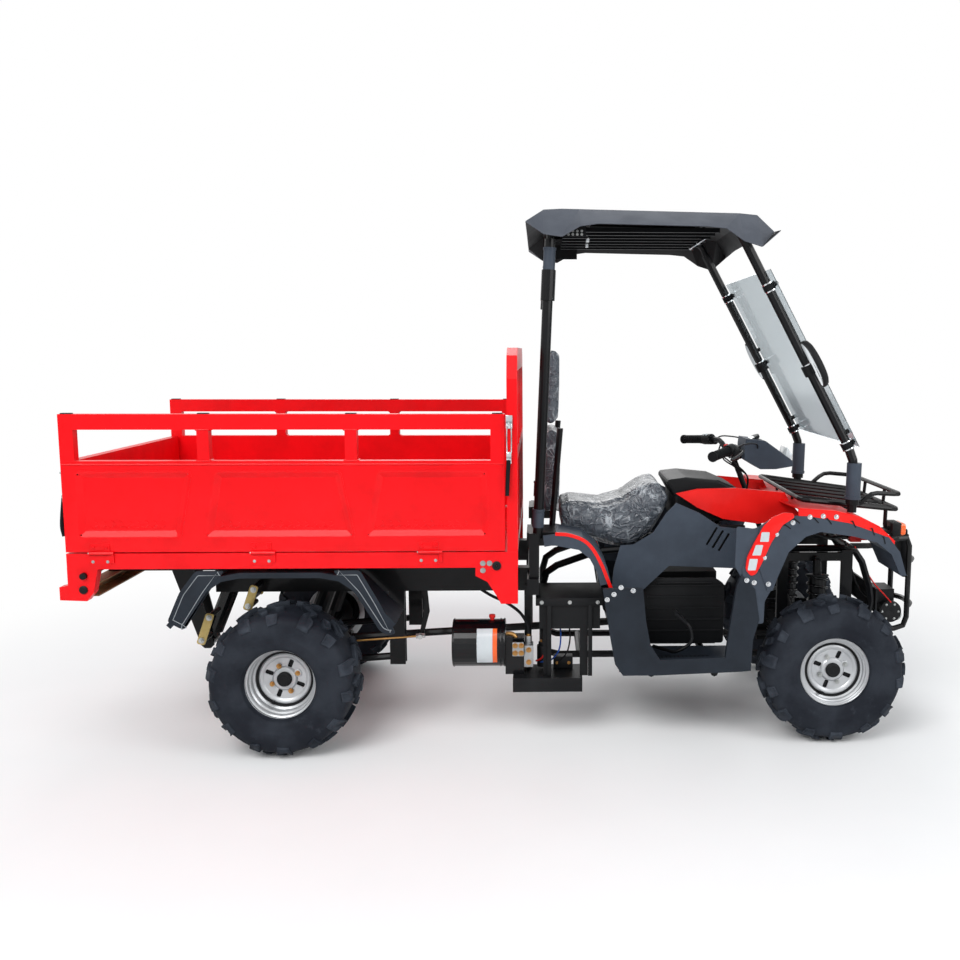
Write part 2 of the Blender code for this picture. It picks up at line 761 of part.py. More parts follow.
def thick_path(path, thickness):
    """A closed outline of a bent sheet: the path, and back along it at the sheet's thickness."""
    points = [Vector((point[0], point[1])) for point in path]
    inner = []
    for index, point in enumerate(points):
        before = points[max(index - 1, 0)]
        after = points[min(index + 1, len(points) - 1)]
        run = (after - before).normalized()
        inner.append(point + Vector((run.y, -run.x)) * thickness)
    return points + inner[::-1]


def lowered(path):
    """A path a little under another and inside its ends, so that a sheet meets a lip with no shared face."""
    ends = Vector((SHEET_DROP, 0))
    moved = [Vector(point) - Vector((0, SHEET_DROP)) for point in path]
    moved[0] = moved[0] + ends
    moved[-1] = moved[-1].lerp(moved[-2], SHEET_DROP / (moved[-1] - moved[-2]).length)
    return moved


def tyre(width, rim_half):
    """A tyre about the Y axis: a turned carcass whose lugs are faces drawn outwards."""
    half = width / 2
    bead = BEAD_RADIUS + GAP
    crown = TYRE_RADIUS - LUG_HEIGHT
    seat = (RIM_FLANGE_RADIUS + FLANGE_CLEARANCE, rim_half - FLANGE_INSET)
    half_section = [(bead, rim_half - BEAD_INSET), seat]
    half_section += [(bead + up * (crown - bead), across * half) for across, up in TYRE_COLUMN_SHARES]
    section = [(radius, -across) for radius, across in half_section] + half_section[::-1]
    segments = 2 * LUG_PITCHES
    shape = bmesh.new()
    rings = []
    for segment in range(segments):
        ring = []
        for radius, across in section:
            angle = 2 * math.pi * segment / segments + LUG_SLANT * abs(across) / half
            ring.append(shape.verts.new((radius * math.cos(angle), across, radius * math.sin(angle))))
        rings.append(ring)
    lug_faces = {}
    count = len(section)
    last = len(half_section) - 1
    first = last - LUGGED_COLUMNS
    for segment in range(segments):
        here, there = rings[segment], rings[(segment + 1) % segments]
        for column in range(count):
            across = (column + 1) % count
            face = shape.faces.new((here[column], here[across], there[across], there[column]))
            low_side = first <= column < last
            high_side = first <= count - 2 - column < last
            if low_side and segment % 2 == 0 or high_side and segment % 2 == 1:
                lug_faces.setdefault((segment, low_side), []).append(face)
    bmesh.ops.recalc_face_normals(shape, faces=shape.faces)
    for faces in lug_faces.values():
        raised = bmesh.ops.extrude_face_region(shape, geom=faces)
        tops = [item for item in raised["geom"] if isinstance(item, bmesh.types.BMVert)]
        bmesh.ops.delete(shape, geom=faces, context="FACES")
        middle = sum((vert.co for vert in tops), Vector()) / len(tops)
        for vert in tops:
            radial = Vector((vert.co.x, 0, vert.co.z)).normalized()
            lean = max(0.0, abs(vert.co.y) / half - SHOULDER_SHARE) / (1 - SHOULDER_SHARE)
            sideways = Vector((0, math.copysign(LUG_SIDE, vert.co.y), 0))
            outward = radial * LUG_HEIGHT * (1 - lean) + sideways * lean
            tangent = Vector((-radial.z, 0, radial.x))
            slip = (vert.co - middle).dot(tangent) * (LUG_DRAFT_SHARE - 1)
            vert.co += outward + tangent * slip
    return mesh_piece("tyre", shape)


def rim(half_width, recess):
    """A pressed steel rim about the Y axis, its open face to +Y, with the hub and its cap."""
    lip = RIM_FLANGE_RADIUS - BEAD_RADIUS
    seat = BEAD_RADIUS - RIM_SHEET * RIM_SEAT_SHARE
    profile = (
        (RIM_FLANGE_RADIUS, half_width),
        (seat, half_width - lip / 2),
        (RIM_WELL_RADIUS, half_width - lip * 3),
        (RIM_WELL_RADIUS, lip * 3 - half_width),
        (seat, lip / 2 - half_width),
        (RIM_FLANGE_RADIUS, -half_width),
    )
    barrel = turned(profile, (0, 0, 0), RIM_STEPS, sheet=RIM_SHEET)
    face = half_width - recess
    disc = turned(
        (
            (RIM_WELL_RADIUS, face - RIM_SHEET * 4),
            (RIM_DISC_RADIUS, face - RIM_SHEET * 3),
            (RIM_DISC_RADIUS - RIM_SHEET * 2, face),
            (HUB_CAP_RADIUS - RIM_SHEET, face - RIM_SHEET),
        ),
        (0, 0, 0),
        RIM_STEPS,
        sheet=RIM_SHEET,
    )
    hub = rod((0, face - RIM_SHEET - HUB_LENGTH, 0), (0, face, 0), HUB_RADIUS, ROUND_SEGMENTS)
    cap = rod((0, face - RIM_SHEET * 2, 0), (0, face + HUB_CAP_LENGTH, 0), HUB_CAP_RADIUS, ROUND_SEGMENTS)
    whole = joined([barrel, disc, hub, cap])
    slots = []
    for index in range(RIM_SLOT_COUNT):
        angle = 2 * math.pi * (index + 0.5) / RIM_SLOT_COUNT
        slot = box(
            (RIM_SLOT_CIRCLE - RIM_SLOT_LENGTH / 2, face - RIM_SHEET * 4, -RIM_SLOT_WIDTH / 2),
            (RIM_SLOT_CIRCLE + RIM_SLOT_LENGTH / 2, face + RIM_SHEET * 4, RIM_SLOT_WIDTH / 2),
        )
        slot.data.transform(Matrix.Rotation(angle, 4, "Y"))
        slots.append(slot)
    return baked(cut(whole, slots))


def place_wheel(tyre_source, rim_source, name, axle_x, half_track, side):
    """Copy a tyre and a rim to one corner, turned so that the rim's open face looks outwards."""
    turn = Matrix.Rotation(0 if side == LEFT else math.pi, 4, "Z")
    centre = Vector((axle_x, side * half_track, TYRE_RADIUS))
    for source, kind, look in ((tyre_source, "tyre", RUBBER), (rim_source, "rim", SILVER_PAINT)):
        copy = linked(f"{name}_{kind}", source.data.copy())
        copy.data.transform(turn)
        finish(copy, f"{name}_{kind}", look)
        copy.location = centre


def wheels():
    """The four wheels: each is a tyre and a rim."""
    for name, axle_x, half_track, width, half_rim, recess in (
        ("rear", REAR_AXLE_X, REAR_HALF_TRACK, REAR_TYRE_WIDTH, REAR_RIM_HALF_WIDTH, REAR_DISC_RECESS),
        ("front", FRONT_AXLE_X, FRONT_HALF_TRACK, FRONT_TYRE_WIDTH, FRONT_RIM_HALF_WIDTH, FRONT_DISC_RECESS),
    ):
        tyre_source = tyre(width, half_rim)
        rim_source = rim(half_rim, recess)
        for side, label in SIDES:
            place_wheel(tyre_source, rim_source, f"{name}_{label}", axle_x, half_track, side)
        bpy.data.objects.remove(tyre_source, do_unlink=True)
        bpy.data.objects.remove(rim_source, do_unlink=True)


def hub_face(half_track, half_rim, recess):
    """How far from the middle of the vehicle the inner end of a wheel's hub lies."""
    return half_track + half_rim - recess - RIM_SHEET - HUB_LENGTH


def column_point(height):
    """The place on the steering column's axis at this height."""
    return Vector((FRONT_AXLE_X - (height - COLUMN_BASE_Z) * math.tan(STEERING_RAKE), 0, height))


def cradle_loop(side):
    """The closed line of one side of the cradle, its corners rounded."""
    rail_y = side * CRADLE_HALF_WIDTH
    rear_x = BEAM_FRONT_X + GAP + CRADLE_TUBE_RADIUS
    beam_middle = BEAM_TOP_Z - BEAM_HEIGHT / 2
    start = (rear_x, rail_y, (beam_middle + CRADLE_BOTTOM_Z) / 2)
    loop = rounded(
        (
            start,
            (rear_x, rail_y, beam_middle),
            (CRADLE_RISE_X, rail_y, CRADLE_TOP_Z),
            (CRADLE_FRONT_X, rail_y, CRADLE_TOP_Z),
            (CRADLE_NOSE_X, rail_y, CRADLE_NOSE_Z),
            (CRADLE_FRONT_X, rail_y, CRADLE_BOTTOM_Z),
            (rear_x, rail_y, CRADLE_BOTTOM_Z),
            start,
        ),
        CRADLE_BEND,
    )
    return loop[:-1]


def foot_peg_z():
    """The height of the bars that carry the footboards' floors and the engine."""
    return FOOTBOARD_FLOOR_Z - FOOTBOARD_FLOOR_THICKNESS / 2 - CRADLE_TUBE_RADIUS - GAP


def across_bar(x, z, reach, radius, segments=SMALL_SEGMENTS):
    """A bar across the vehicle."""
    return rod((x, -reach, z), (x, reach, z), radius, segments)


def front_cradle():
    """The tube cradle that carries the engine, the tank, the footboards and the front axle."""
    pieces = [tube(cradle_loop(side), CRADLE_TUBE_RADIUS, closed=True) for side in (RIGHT, LEFT)]
    for x in CRADLE_TOP_CROSS_X:
        pieces.append(across_bar(x, CRADLE_TOP_Z, CRADLE_HALF_WIDTH, CRADLE_TUBE_RADIUS))
    for x in CRADLE_BOTTOM_CROSS_X:
        pieces.append(across_bar(x, CRADLE_BOTTOM_Z, CRADLE_HALF_WIDTH, CRADLE_TUBE_RADIUS))
    for x in FOOT_PEG_X:
        pieces.append(across_bar(x, foot_peg_z(), FOOT_PEG_REACH, CRADLE_TUBE_RADIUS))
    pieces.append(across_bar(*NOSE_CROSS, CRADLE_HALF_WIDTH, CRADLE_TUBE_RADIUS))
    hoop_z = TANK_Z[0] - GAP - TANK_HOOP_RADIUS
    for x in TANK_HOOP_X:
        hoop = (
            (x, -CRADLE_HALF_WIDTH, CRADLE_TOP_Z),
            (x, -CRADLE_HALF_WIDTH, hoop_z),
            (x, CRADLE_HALF_WIDTH, hoop_z),
            (x, CRADLE_HALF_WIDTH, CRADLE_TOP_Z),
        )
        pieces.append(tube(rounded(hoop, TANK_HOOP_BEND), TANK_HOOP_RADIUS))
    bush_axis = (column_point(BUSH_Z + BUSH_LENGTH) - column_point(BUSH_Z)).normalized()
    bush_middle = column_point(BUSH_Z)
    for side in (RIGHT, LEFT):
        inner = (BUSH_RADIUS + COLUMN_RADIUS) / 2
        pieces.append(
            rod(
                bush_middle + Vector((0, side * inner, 0)),
                bush_middle + Vector((0, side * CRADLE_HALF_WIDTH, 0)),
                CRADLE_TUBE_RADIUS,
            )
        )
    half = bush_axis * BUSH_LENGTH / 2
    pieces.append(rod(bush_middle - half, bush_middle + half, BUSH_RADIUS, ROUND_SEGMENTS))
    cradle = joined(pieces)
    bush_hole = rod(
        bush_middle - bush_axis * BUSH_LENGTH,
        bush_middle + bush_axis * BUSH_LENGTH,
        COLUMN_RADIUS + PIN_CLEARANCE,
        ROUND_SEGMENTS,
    )
    finish(cut(cradle, [bush_hole]), "front_cradle", BLACK_STEEL)


def pivot_lugs(side):
    """The plates at a beam's tail that hold the tipping pivot's bar."""
    pieces = []
    for lug_y in PIVOT_LUG_Y:
        y_range = (side * lug_y - PIVOT_LUG_THICKNESS / 2, side * lug_y + PIVOT_LUG_THICKNESS / 2)
        pieces.append(
            box(
                (PIVOT_X, y_range[0], TAIL_Z[0] + SHEET_DROP),
                (BEAM_REAR_X + PIVOT_LUG_RADIUS, y_range[1], PIVOT_Z - PIVOT_LUG_RADIUS),
            )
        )
        outline = (
            (PIVOT_X - PIVOT_LUG_RADIUS, PIVOT_Z - PIVOT_LUG_RADIUS * 2),
            (PIVOT_X + PIVOT_LUG_RADIUS, PIVOT_Z - PIVOT_LUG_RADIUS * 2),
            (PIVOT_X + PIVOT_LUG_RADIUS, PIVOT_Z),
            (PIVOT_X, PIVOT_Z + PIVOT_LUG_RADIUS),
            (PIVOT_X - PIVOT_LUG_RADIUS, PIVOT_Z),
        )
        pieces.append(plate(outline, "Y", *y_range))
    return pieces


def beam(side):
    """One long beam under the bed, with its raised tail, its rest pads and its brackets."""
    beam_z = (BEAM_TOP_Z - BEAM_HEIGHT, BEAM_TOP_Z)
    inner = side * (BEAM_HALF_SPACING - BEAM_WIDTH / 2)
    outer = side * (BEAM_HALF_SPACING + BEAM_WIDTH / 2)
    inset = side * SHEET_DROP
    pieces = [
        box((TAIL_BEAM_X, inner, beam_z[0]), (BEAM_FRONT_X, outer, beam_z[1])),
        box((BEAM_REAR_X, inner + inset, TAIL_Z[0]), (TAIL_BEAM_X + TAIL_OVERLAP, outer - inset, TAIL_Z[1])),
    ]
    for x in PAD_X:
        pieces.append(
            box(
                (x - PAD_SIZE / 2, inner + inset * 2, beam_z[1] - SHEET_DROP),
                (x + PAD_SIZE / 2, outer - inset * 2, BED_BOTTOM_Z - GAP),
            )
        )
    bracket_x = (TRAILING_PIVOT_X - TRAILING_BRACKET_WIDTH / 2, TRAILING_PIVOT_X + TRAILING_BRACKET_WIDTH / 2)
    bracket_low = TRAILING_PIVOT_Z - TRAILING_ARM_RADIUS * 2
    bracket_top = beam_z[0] + BEAM_WIDTH / 2
    for offset in (-1, 1):
        middle = side * BEAM_HALF_SPACING + offset * TRAILING_PLATE_OFFSET
        pieces.append(
            box(
                (bracket_x[0], middle - TRAILING_BRACKET_THICKNESS / 2, bracket_low),
                (bracket_x[1], middle + TRAILING_BRACKET_THICKNESS / 2, bracket_top),
            )
        )
    hanger_y = side * (RESERVOIR_Y - MANIFOLD_WIDTH)
    pieces.append(
        box(
            (MANIFOLD_X[1] + GAP, hanger_y - MANIFOLD_WIDTH / 4, TRAY_Z[1] + GAP),
            (MANIFOLD_X[1] + HANGER_LENGTH, hanger_y + MANIFOLD_WIDTH / 4, bracket_top),
        )
    )
    return pieces + pivot_lugs(side)


def chassis_frame():
    """The ladder under the bed: two beams, their cross members, the tipping pivot and the ram's lugs."""
    pieces = beam(RIGHT) + beam(LEFT)
    cross_z = BEAM_TOP_Z - BEAM_HEIGHT / 2
    for x in CROSS_X:
        reach = OUTRIGGER_REACH if x > 0 else BEAM_HALF_SPACING
        low, high = cross_z - CROSS_HEIGHT / 2, cross_z + CROSS_HEIGHT / 2
        if x < TAIL_BEAM_X:
            low, high = TAIL_Z[0] + SHEET_DROP, TAIL_Z[1] - SHEET_DROP
        pieces.append(box((x - CROSS_WIDTH / 2, -reach, low), (x + CROSS_WIDTH / 2, reach, high)))
    pieces.append(across_bar(PIVOT_X, PIVOT_Z, PIVOT_BAR_HALF_LENGTH, PIVOT_BAR_RADIUS, ROUND_SEGMENTS))
    tail_middle = (TAIL_Z[0] + TAIL_Z[1]) / 2
    for offset in (-1, 1):
        lug_y = offset * (RAM_BASE_HALF_WIDTH + PIN_CLEARANCE)
        outline = (
            (RAM_BASE_X - RAM_LUG_FOOT, RAM_BASE_Z - RAM_LUG_FOOT / 2),
            (RAM_BASE_X - RAM_LUG_FOOT / 2, RAM_BASE_Z - RAM_LUG_FOOT),
            (RAM_BASE_X + RAM_LUG_FOOT / 2, RAM_BASE_Z - RAM_LUG_FOOT),
            (RAM_BASE_X + RAM_LUG_FOOT, RAM_BASE_Z - RAM_LUG_FOOT / 2),
            (CROSS_X[0] + RAM_LUG_ROOT, tail_middle),
            (CROSS_X[0] - RAM_LUG_ROOT, tail_middle),
        )
        pieces.append(plate(outline, "Y", lug_y, lug_y + offset * RAM_LUG_THICKNESS))
    pin_half = RAM_BASE_HALF_WIDTH + RAM_LUG_THICKNESS * RAM_PIN_REACH
    pieces.append(across_bar(RAM_BASE_X, RAM_BASE_Z, pin_half, RAM_PIN_RADIUS, ROUND_SEGMENTS))
    finish(joined(pieces), "chassis_frame", BLACK_STEEL)


def rear_crossmember():
    """The bare steel channel across the tail, open towards the front."""
    top = PIVOT_Z - PIVOT_LUG_RADIUS * 2 - GAP
    low = top - CHANNEL_HEIGHT
    back = PIVOT_X - CHANNEL_DEPTH / 2
    front = back + CHANNEL_DEPTH
    outline = (
        (back, low),
        (front, low),
        (front, low + CHANNEL_WALL),
        (back + CHANNEL_WALL, low + CHANNEL_WALL),
        (back + CHANNEL_WALL, top - CHANNEL_WALL),
        (front, top - CHANNEL_WALL),
        (front, top),
        (back, top),
    )
    channel = plate(outline, "Y", -CHANNEL_HALF_LENGTH, CHANNEL_HALF_LENGTH)
    finish(channel, "rear_crossmember", BARE_STEEL)


def rear_axle():
    """A live axle with its differential, drums, trailing arms, coil shocks and propeller shaft."""
    z = TYRE_RADIUS
    hub = hub_face(REAR_HALF_TRACK, REAR_RIM_HALF_WIDTH, REAR_DISC_RECESS) - GAP
    pieces = [rod((REAR_AXLE_X, -hub, z), (REAR_AXLE_X, hub, z), AXLE_TUBE_RADIUS, ROUND_SEGMENTS)]
    half = DIFFERENTIAL_LENGTH / 2
    middle = (REAR_AXLE_X, 0, z)
    pieces.append(rod((REAR_AXLE_X, -half, z), middle, AXLE_TUBE_RADIUS, ROUND_SEGMENTS, DIFFERENTIAL_RADIUS))
    pieces.append(rod(middle, (REAR_AXLE_X, half, z), DIFFERENTIAL_RADIUS, ROUND_SEGMENTS, AXLE_TUBE_RADIUS))
    pieces.append(
        rod(
            middle,
            (REAR_AXLE_X + DIFFERENTIAL_LENGTH, 0, z),
            DIFFERENTIAL_SNOUT_RADIUS,
            ROUND_SEGMENTS,
            AXLE_TUBE_RADIUS,
        )
    )
    pieces.append(
        rod(
            (REAR_AXLE_X + half, 0, z),
            (ENGINE_X[0] - PROPSHAFT_GAP, 0, z + AXLE_TUBE_RADIUS * 2),
            PROPSHAFT_RADIUS,
        )
    )
    for side in (RIGHT, LEFT):
        drum_inner = side * (hub - AXLE_DRUM_LENGTH)
        pieces.append(
            rod(
                (REAR_AXLE_X, drum_inner, z),
                (REAR_AXLE_X, side * (hub - PIN_CLEARANCE), z),
                AXLE_DRUM_RADIUS,
                ROUND_SEGMENTS,
            )
        )
        arm_y = side * BEAM_HALF_SPACING
        pieces.append(
            rod(
                (REAR_AXLE_X, arm_y, z - AXLE_TUBE_RADIUS / 2),
                (TRAILING_PIVOT_X, arm_y, TRAILING_PIVOT_Z),
                TRAILING_ARM_RADIUS,
            )
        )
        eye = TRAILING_PLATE_OFFSET - TRAILING_BRACKET_THICKNESS / 2 - GAP
        pieces.append(
            rod(
                (TRAILING_PIVOT_X, arm_y - eye, TRAILING_PIVOT_Z),
                (TRAILING_PIVOT_X, arm_y + eye, TRAILING_PIVOT_Z),
                TRAILING_EYE_RADIUS,
                ROUND_SEGMENTS,
            )
        )
        shock_y = side * REAR_SHOCK_Y
        pieces += shock((REAR_AXLE_X, shock_y, z), (REAR_SHOCK_TOP_X, shock_y, REAR_SHOCK_TOP_Z))
        pieces.append(
            rod(
                (REAR_SHOCK_TOP_X, shock_y - side * SHOCK_CORE_RADIUS, REAR_SHOCK_TOP_Z),
                (REAR_SHOCK_TOP_X, side * (BEAM_HALF_SPACING - BEAM_WIDTH / 2 - GAP), REAR_SHOCK_TOP_Z),
                SHOCK_PIN_RADIUS,
            )
        )
    finish(joined(pieces), "rear_axle", BLACK_STEEL)


def shock(foot, top):
    """A spring around a damper, plain here, as overlapping bars."""
    foot = Vector(foot)
    run = Vector(top) - foot
    return [
        rod(foot, foot + run, SHOCK_CORE_RADIUS),
        rod(foot + run * SHOCK_SHARES[0], foot + run * SHOCK_SHARES[1], SHOCK_RADIUS, ROUND_SEGMENTS),
    ]


def engine_block():
    """The engine and gearbox, as the one plain block that they weigh as."""
    low = foot_peg_z() + CRADLE_TUBE_RADIUS + GAP
    block = box((ENGINE_X[0], -ENGINE_HALF_WIDTH, low), (ENGINE_X[1], ENGINE_HALF_WIDTH, ENGINE_TOP_Z))
    finish(block, "engine_block", BLACK_STEEL)


def front_suspension(side, label):
    """Two wishbones and a coil shock, joined by the plate that bolts them to the cradle."""
    inner_y = side * ARM_INNER_Y
    plate_y = (side * (CRADLE_HALF_WIDTH + CRADLE_TUBE_RADIUS + GAP), inner_y + side * ARM_RADIUS)
    pieces = [
        box(
            (FRONT_AXLE_X - ARM_SPREAD - ARM_RADIUS * 2, plate_y[0], LOWER_ARM_INNER_Z - ARM_RADIUS * 2),
            (FRONT_AXLE_X - ARM_SPREAD + ARM_RADIUS * 2, plate_y[1], FRONT_SHOCK_TOP_Z + ARM_RADIUS * 4),
        ),
        box(
            (FRONT_AXLE_X + ARM_SPREAD - ARM_RADIUS * 2, plate_y[0], LOWER_ARM_INNER_Z - ARM_RADIUS * 2),
            (FRONT_AXLE_X + ARM_SPREAD + ARM_RADIUS * 2, plate_y[1], FRONT_SHOCK_TOP_Z + ARM_RADIUS * 4),
        ),
        box(
            (FRONT_AXLE_X - ARM_SPREAD, plate_y[0], FRONT_SHOCK_TOP_Z),
            (FRONT_AXLE_X + ARM_SPREAD, plate_y[1], FRONT_SHOCK_TOP_Z + ARM_RADIUS * 3),
        ),
    ]
    for joint_z, inner_z in ((LOWER_JOINT_Z, LOWER_ARM_INNER_Z), (UPPER_JOINT_Z, UPPER_ARM_INNER_Z)):
        outer = Vector((FRONT_AXLE_X, side * (KINGPIN_Y - KINGPIN_RADIUS - ARM_RADIUS), joint_z))
        for offset in (-ARM_SPREAD, ARM_SPREAD):
            pieces.append(rod((FRONT_AXLE_X + offset, inner_y, inner_z), outer, ARM_RADIUS))
    for joint_z, away in ((LOWER_JOINT_Z, -1), (UPPER_JOINT_Z, 1)):
        outer = Vector((FRONT_AXLE_X, side * (KINGPIN_Y - KINGPIN_RADIUS - ARM_RADIUS), joint_z))
        near = Vector((FRONT_AXLE_X, side * KINGPIN_Y, joint_z + away * (KINGPIN_RADIUS + GAP)))
        far = near + Vector((0, 0, away * BALL_JOINT_LENGTH))
        pieces.append(rod(near, far, BALL_JOINT_RADIUS))
        pieces.append(
            box(
                (outer.x - ARM_RADIUS / 2, outer.y - ARM_RADIUS / 2, min(near.z, far.z) + SHEET_DROP),
                (outer.x + ARM_RADIUS / 2, near.y, max(near.z, far.z) - SHEET_DROP),
            )
        )
        pieces.append(
            box(
                (outer.x - ARM_RADIUS + SHEET_DROP, outer.y - ARM_RADIUS / 2, min(joint_z, far.z)),
                (outer.x + ARM_RADIUS - SHEET_DROP, outer.y + ARM_RADIUS / 2, max(joint_z, far.z)),
            )
        )
    shock_foot = (FRONT_AXLE_X, side * FRONT_SHOCK_LOWER_Y, LOWER_JOINT_Z + ARM_RADIUS)
    shock_top = (FRONT_AXLE_X, side * FRONT_SHOCK_TOP_Y, FRONT_SHOCK_TOP_Z + ARM_RADIUS)
    pieces += shock(shock_foot, shock_top)
    pieces.append(
        rod(
            (FRONT_AXLE_X, side * FRONT_SHOCK_LOWER_Y, LOWER_JOINT_Z + ARM_RADIUS),
            (FRONT_AXLE_X, side * (KINGPIN_Y - KINGPIN_RADIUS - ARM_RADIUS), LOWER_JOINT_Z),
            ARM_RADIUS,
        )
    )
    pieces.append(rod(shock_top, (FRONT_AXLE_X, inner_y, FRONT_SHOCK_TOP_Z + ARM_RADIUS), ARM_RADIUS))
    finish(joined(pieces), f"front_suspension_{label}", BLACK_STEEL)


def knuckle(side, label):
    """The upright that steers: kingpin, stub axle for the wheel and a steering arm."""
    kingpin_y = side * KINGPIN_Y
    hub = hub_face(FRONT_HALF_TRACK, FRONT_RIM_HALF_WIDTH, FRONT_DISC_RECESS) - GAP
    clearance = KINGPIN_RADIUS
    pieces = [
        rod(
            (FRONT_AXLE_X, kingpin_y, LOWER_JOINT_Z - KINGPIN_RADIUS),
            (FRONT_AXLE_X, kingpin_y, UPPER_JOINT_Z + KINGPIN_RADIUS),
            clearance,
            ROUND_SEGMENTS,
        ),
        rod(
            (FRONT_AXLE_X, kingpin_y, TYRE_RADIUS),
            (FRONT_AXLE_X, side * hub, TYRE_RADIUS),
            STUB_RADIUS,
            ROUND_SEGMENTS,
        ),
        rod(
            (FRONT_AXLE_X, kingpin_y, STEERING_ARM_Z),
            (FRONT_AXLE_X - STEERING_ARM_LENGTH, kingpin_y, STEERING_ARM_Z),
            TIE_ROD_RADIUS,
        ),
    ]
    finish(joined(pieces), f"knuckle_{label}", BLACK_STEEL, (FRONT_AXLE_X, kingpin_y, TYRE_RADIUS))


def tie_rod(side, label):
    """A rod from the steering arm's end to the drop arm of the column."""
    x = FRONT_AXLE_X - STEERING_ARM_LENGTH
    z = STEERING_ARM_Z - TIE_ROD_RADIUS * 2 - PIN_CLEARANCE
    outer_y = side * KINGPIN_Y
    inner_y = side * PITMAN_SPACING
    finish(
        rod((x, inner_y, z), (x, outer_y, z), TIE_ROD_RADIUS),
        f"tie_rod_{label}",
        BLACK_STEEL,
        (x, outer_y, z),
    )


def handlebar():
    """The steering column with its drop arm, stem, bar and grips."""
    top = column_point(COLUMN_TOP_Z)
    along = (top - column_point(COLUMN_BASE_Z)).normalized()
    arm_tip = Vector((FRONT_AXLE_X - STEERING_ARM_LENGTH, 0, STEERING_ARM_Z))
    foot = column_point(COLUMN_BASE_Z) + along * (arm_tip - column_point(COLUMN_BASE_Z)).dot(along)
    pieces = [
        rod(foot - along * COLUMN_RADIUS, top, COLUMN_RADIUS, ROUND_SEGMENTS),
        rod(foot, arm_tip, DROP_ARM_RADIUS),
        rod(
            arm_tip + Vector((0, -PITMAN_SPACING - TIE_ROD_RADIUS, 0)),
            arm_tip + Vector((0, PITMAN_SPACING + TIE_ROD_RADIUS, 0)),
            TIE_ROD_RADIUS,
        ),
    ]
    pieces.append(rod(top, (top.x + BAR_RADIUS * 3 - GAP, 0, top.z), COLUMN_RADIUS))
    path = []
    for side in (RIGHT, LEFT):
        inner = top + Vector((0, side * BAR_HALF_WIDTH / 4, 0))
        bend = top + Vector((0, side * BAR_HALF_WIDTH / 2, 0)) + along * BAR_RISE
        end = top + Vector((-BAR_SWEEP, side * BAR_HALF_WIDTH, 0)) + along * BAR_END_RISE
        path += [end, bend, inner][::-side]
        grip_start = end + (bend - end).normalized() * GRIP_LENGTH
        pieces.append(rod(grip_start, end + (end - bend).normalized() * BAR_RADIUS, GRIP_RADIUS))
    pieces.append(tube(rounded(path, BAR_RISE / 2), BAR_RADIUS))
    finish(joined(pieces), "handlebar", BLACK_STEEL, column_point(COLUMN_TOP_Z))


def headlamp_pod():
    """The plastic nacelle in front of the bar, which turns with it."""
    outline = spread(POD_SHARES, (POD_REAR_X, POD_FRONT_X), (POD_BOTTOM_Z, POD_TOP_Z))
    pod = plate(outline, "Y", -POD_HALF_WIDTH, POD_HALF_WIDTH)
    top = column_point(COLUMN_TOP_Z)
    socket = box(
        (POD_REAR_X - OVERCUT, -POD_HALF_WIDTH - OVERCUT, POD_BOTTOM_Z - OVERCUT),
        (top.x + BAR_RADIUS * 3, POD_HALF_WIDTH + OVERCUT, top.z + BAR_RISE),
    )
    finish(cut(pod, [socket]), "headlamp_pod", GREY_PLASTIC)


def footboard(side, label):
    """A moulded footwell: the guard at its outer side, its floor and the wall behind the foot."""
    outer = side * FOOTBOARD_Y
    guard_inner = side * (FOOTBOARD_Y - FOOTBOARD_GUARD)
    floor_x = (FOOTBOARD_X[0] + FOOTBOARD_GUARD * 3, FOOTBOARD_X[1] - FOOTBOARD_GUARD * 3)
    pieces = [
        plate(spread(FOOTBOARD_SHARES, FOOTBOARD_X, FOOTBOARD_Z), "Y", outer, guard_inner),
        box(
            (floor_x[0], guard_inner + side * GAP, FOOTBOARD_FLOOR_Z - FOOTBOARD_FLOOR_THICKNESS / 2),
            (floor_x[1], side * FOOTBOARD_INNER_Y, FOOTBOARD_FLOOR_Z + FOOTBOARD_FLOOR_THICKNESS / 2),
        ),
    ]
    rear_wall = spread(FOOTBOARD_WALL_SHARES, FOOTBOARD_X, FOOTBOARD_Z)
    wall = [(x + PANEL, z) for x, z in rear_wall]
    inner_y = side * FOOTBOARD_Y * FOOTBOARD_WALL_REACH
    pieces.append(plate(thick_path(wall[::-1], PANEL * 2), "Y", guard_inner + side * GAP, inner_y))
    finish(joined(pieces), f"footboard_{label}", GREY_PLASTIC)


def side_cover(side, label):
    """The grey panel between the seat and the footwell, with slanted vents."""
    y_range = (side * SIDE_COVER_Y, side * (SIDE_COVER_Y + PANEL))
    panel = plate(spread(SIDE_COVER_SHARES, SIDE_COVER_X, SIDE_COVER_Z), "Y", *y_range)
    vents = []
    for index in range(VENT_COUNT):
        middle = Vector((VENT_X - index * VENT_PITCH, 0, VENT_Z + index * VENT_PITCH / 2))
        vent = box(
            (-VENT_LENGTH / 2, y_range[0] - OVERCUT, -VENT_WIDTH / 2),
            (VENT_LENGTH / 2, y_range[1] + OVERCUT, VENT_WIDTH / 2),
        )
        vent.data.transform(Matrix.Translation(middle) @ Matrix.Rotation(math.radians(-60), 4, "Y"))
        vents.append(vent)
    rail_face = side * (CRADLE_HALF_WIDTH + CRADLE_TUBE_RADIUS + GAP)
    bosses = []
    for x in COVER_BOSS_X:
        boss_end = (x, y_range[1] - side * SHEET_DROP, CRADLE_TOP_Z)
        bosses.append(rod((x, rail_face, CRADLE_TOP_Z), boss_end, COVER_BOSS_RADIUS))
    finish(cut(joined([panel, *bosses]), vents), f"side_cover_{label}", GREY_PLASTIC)


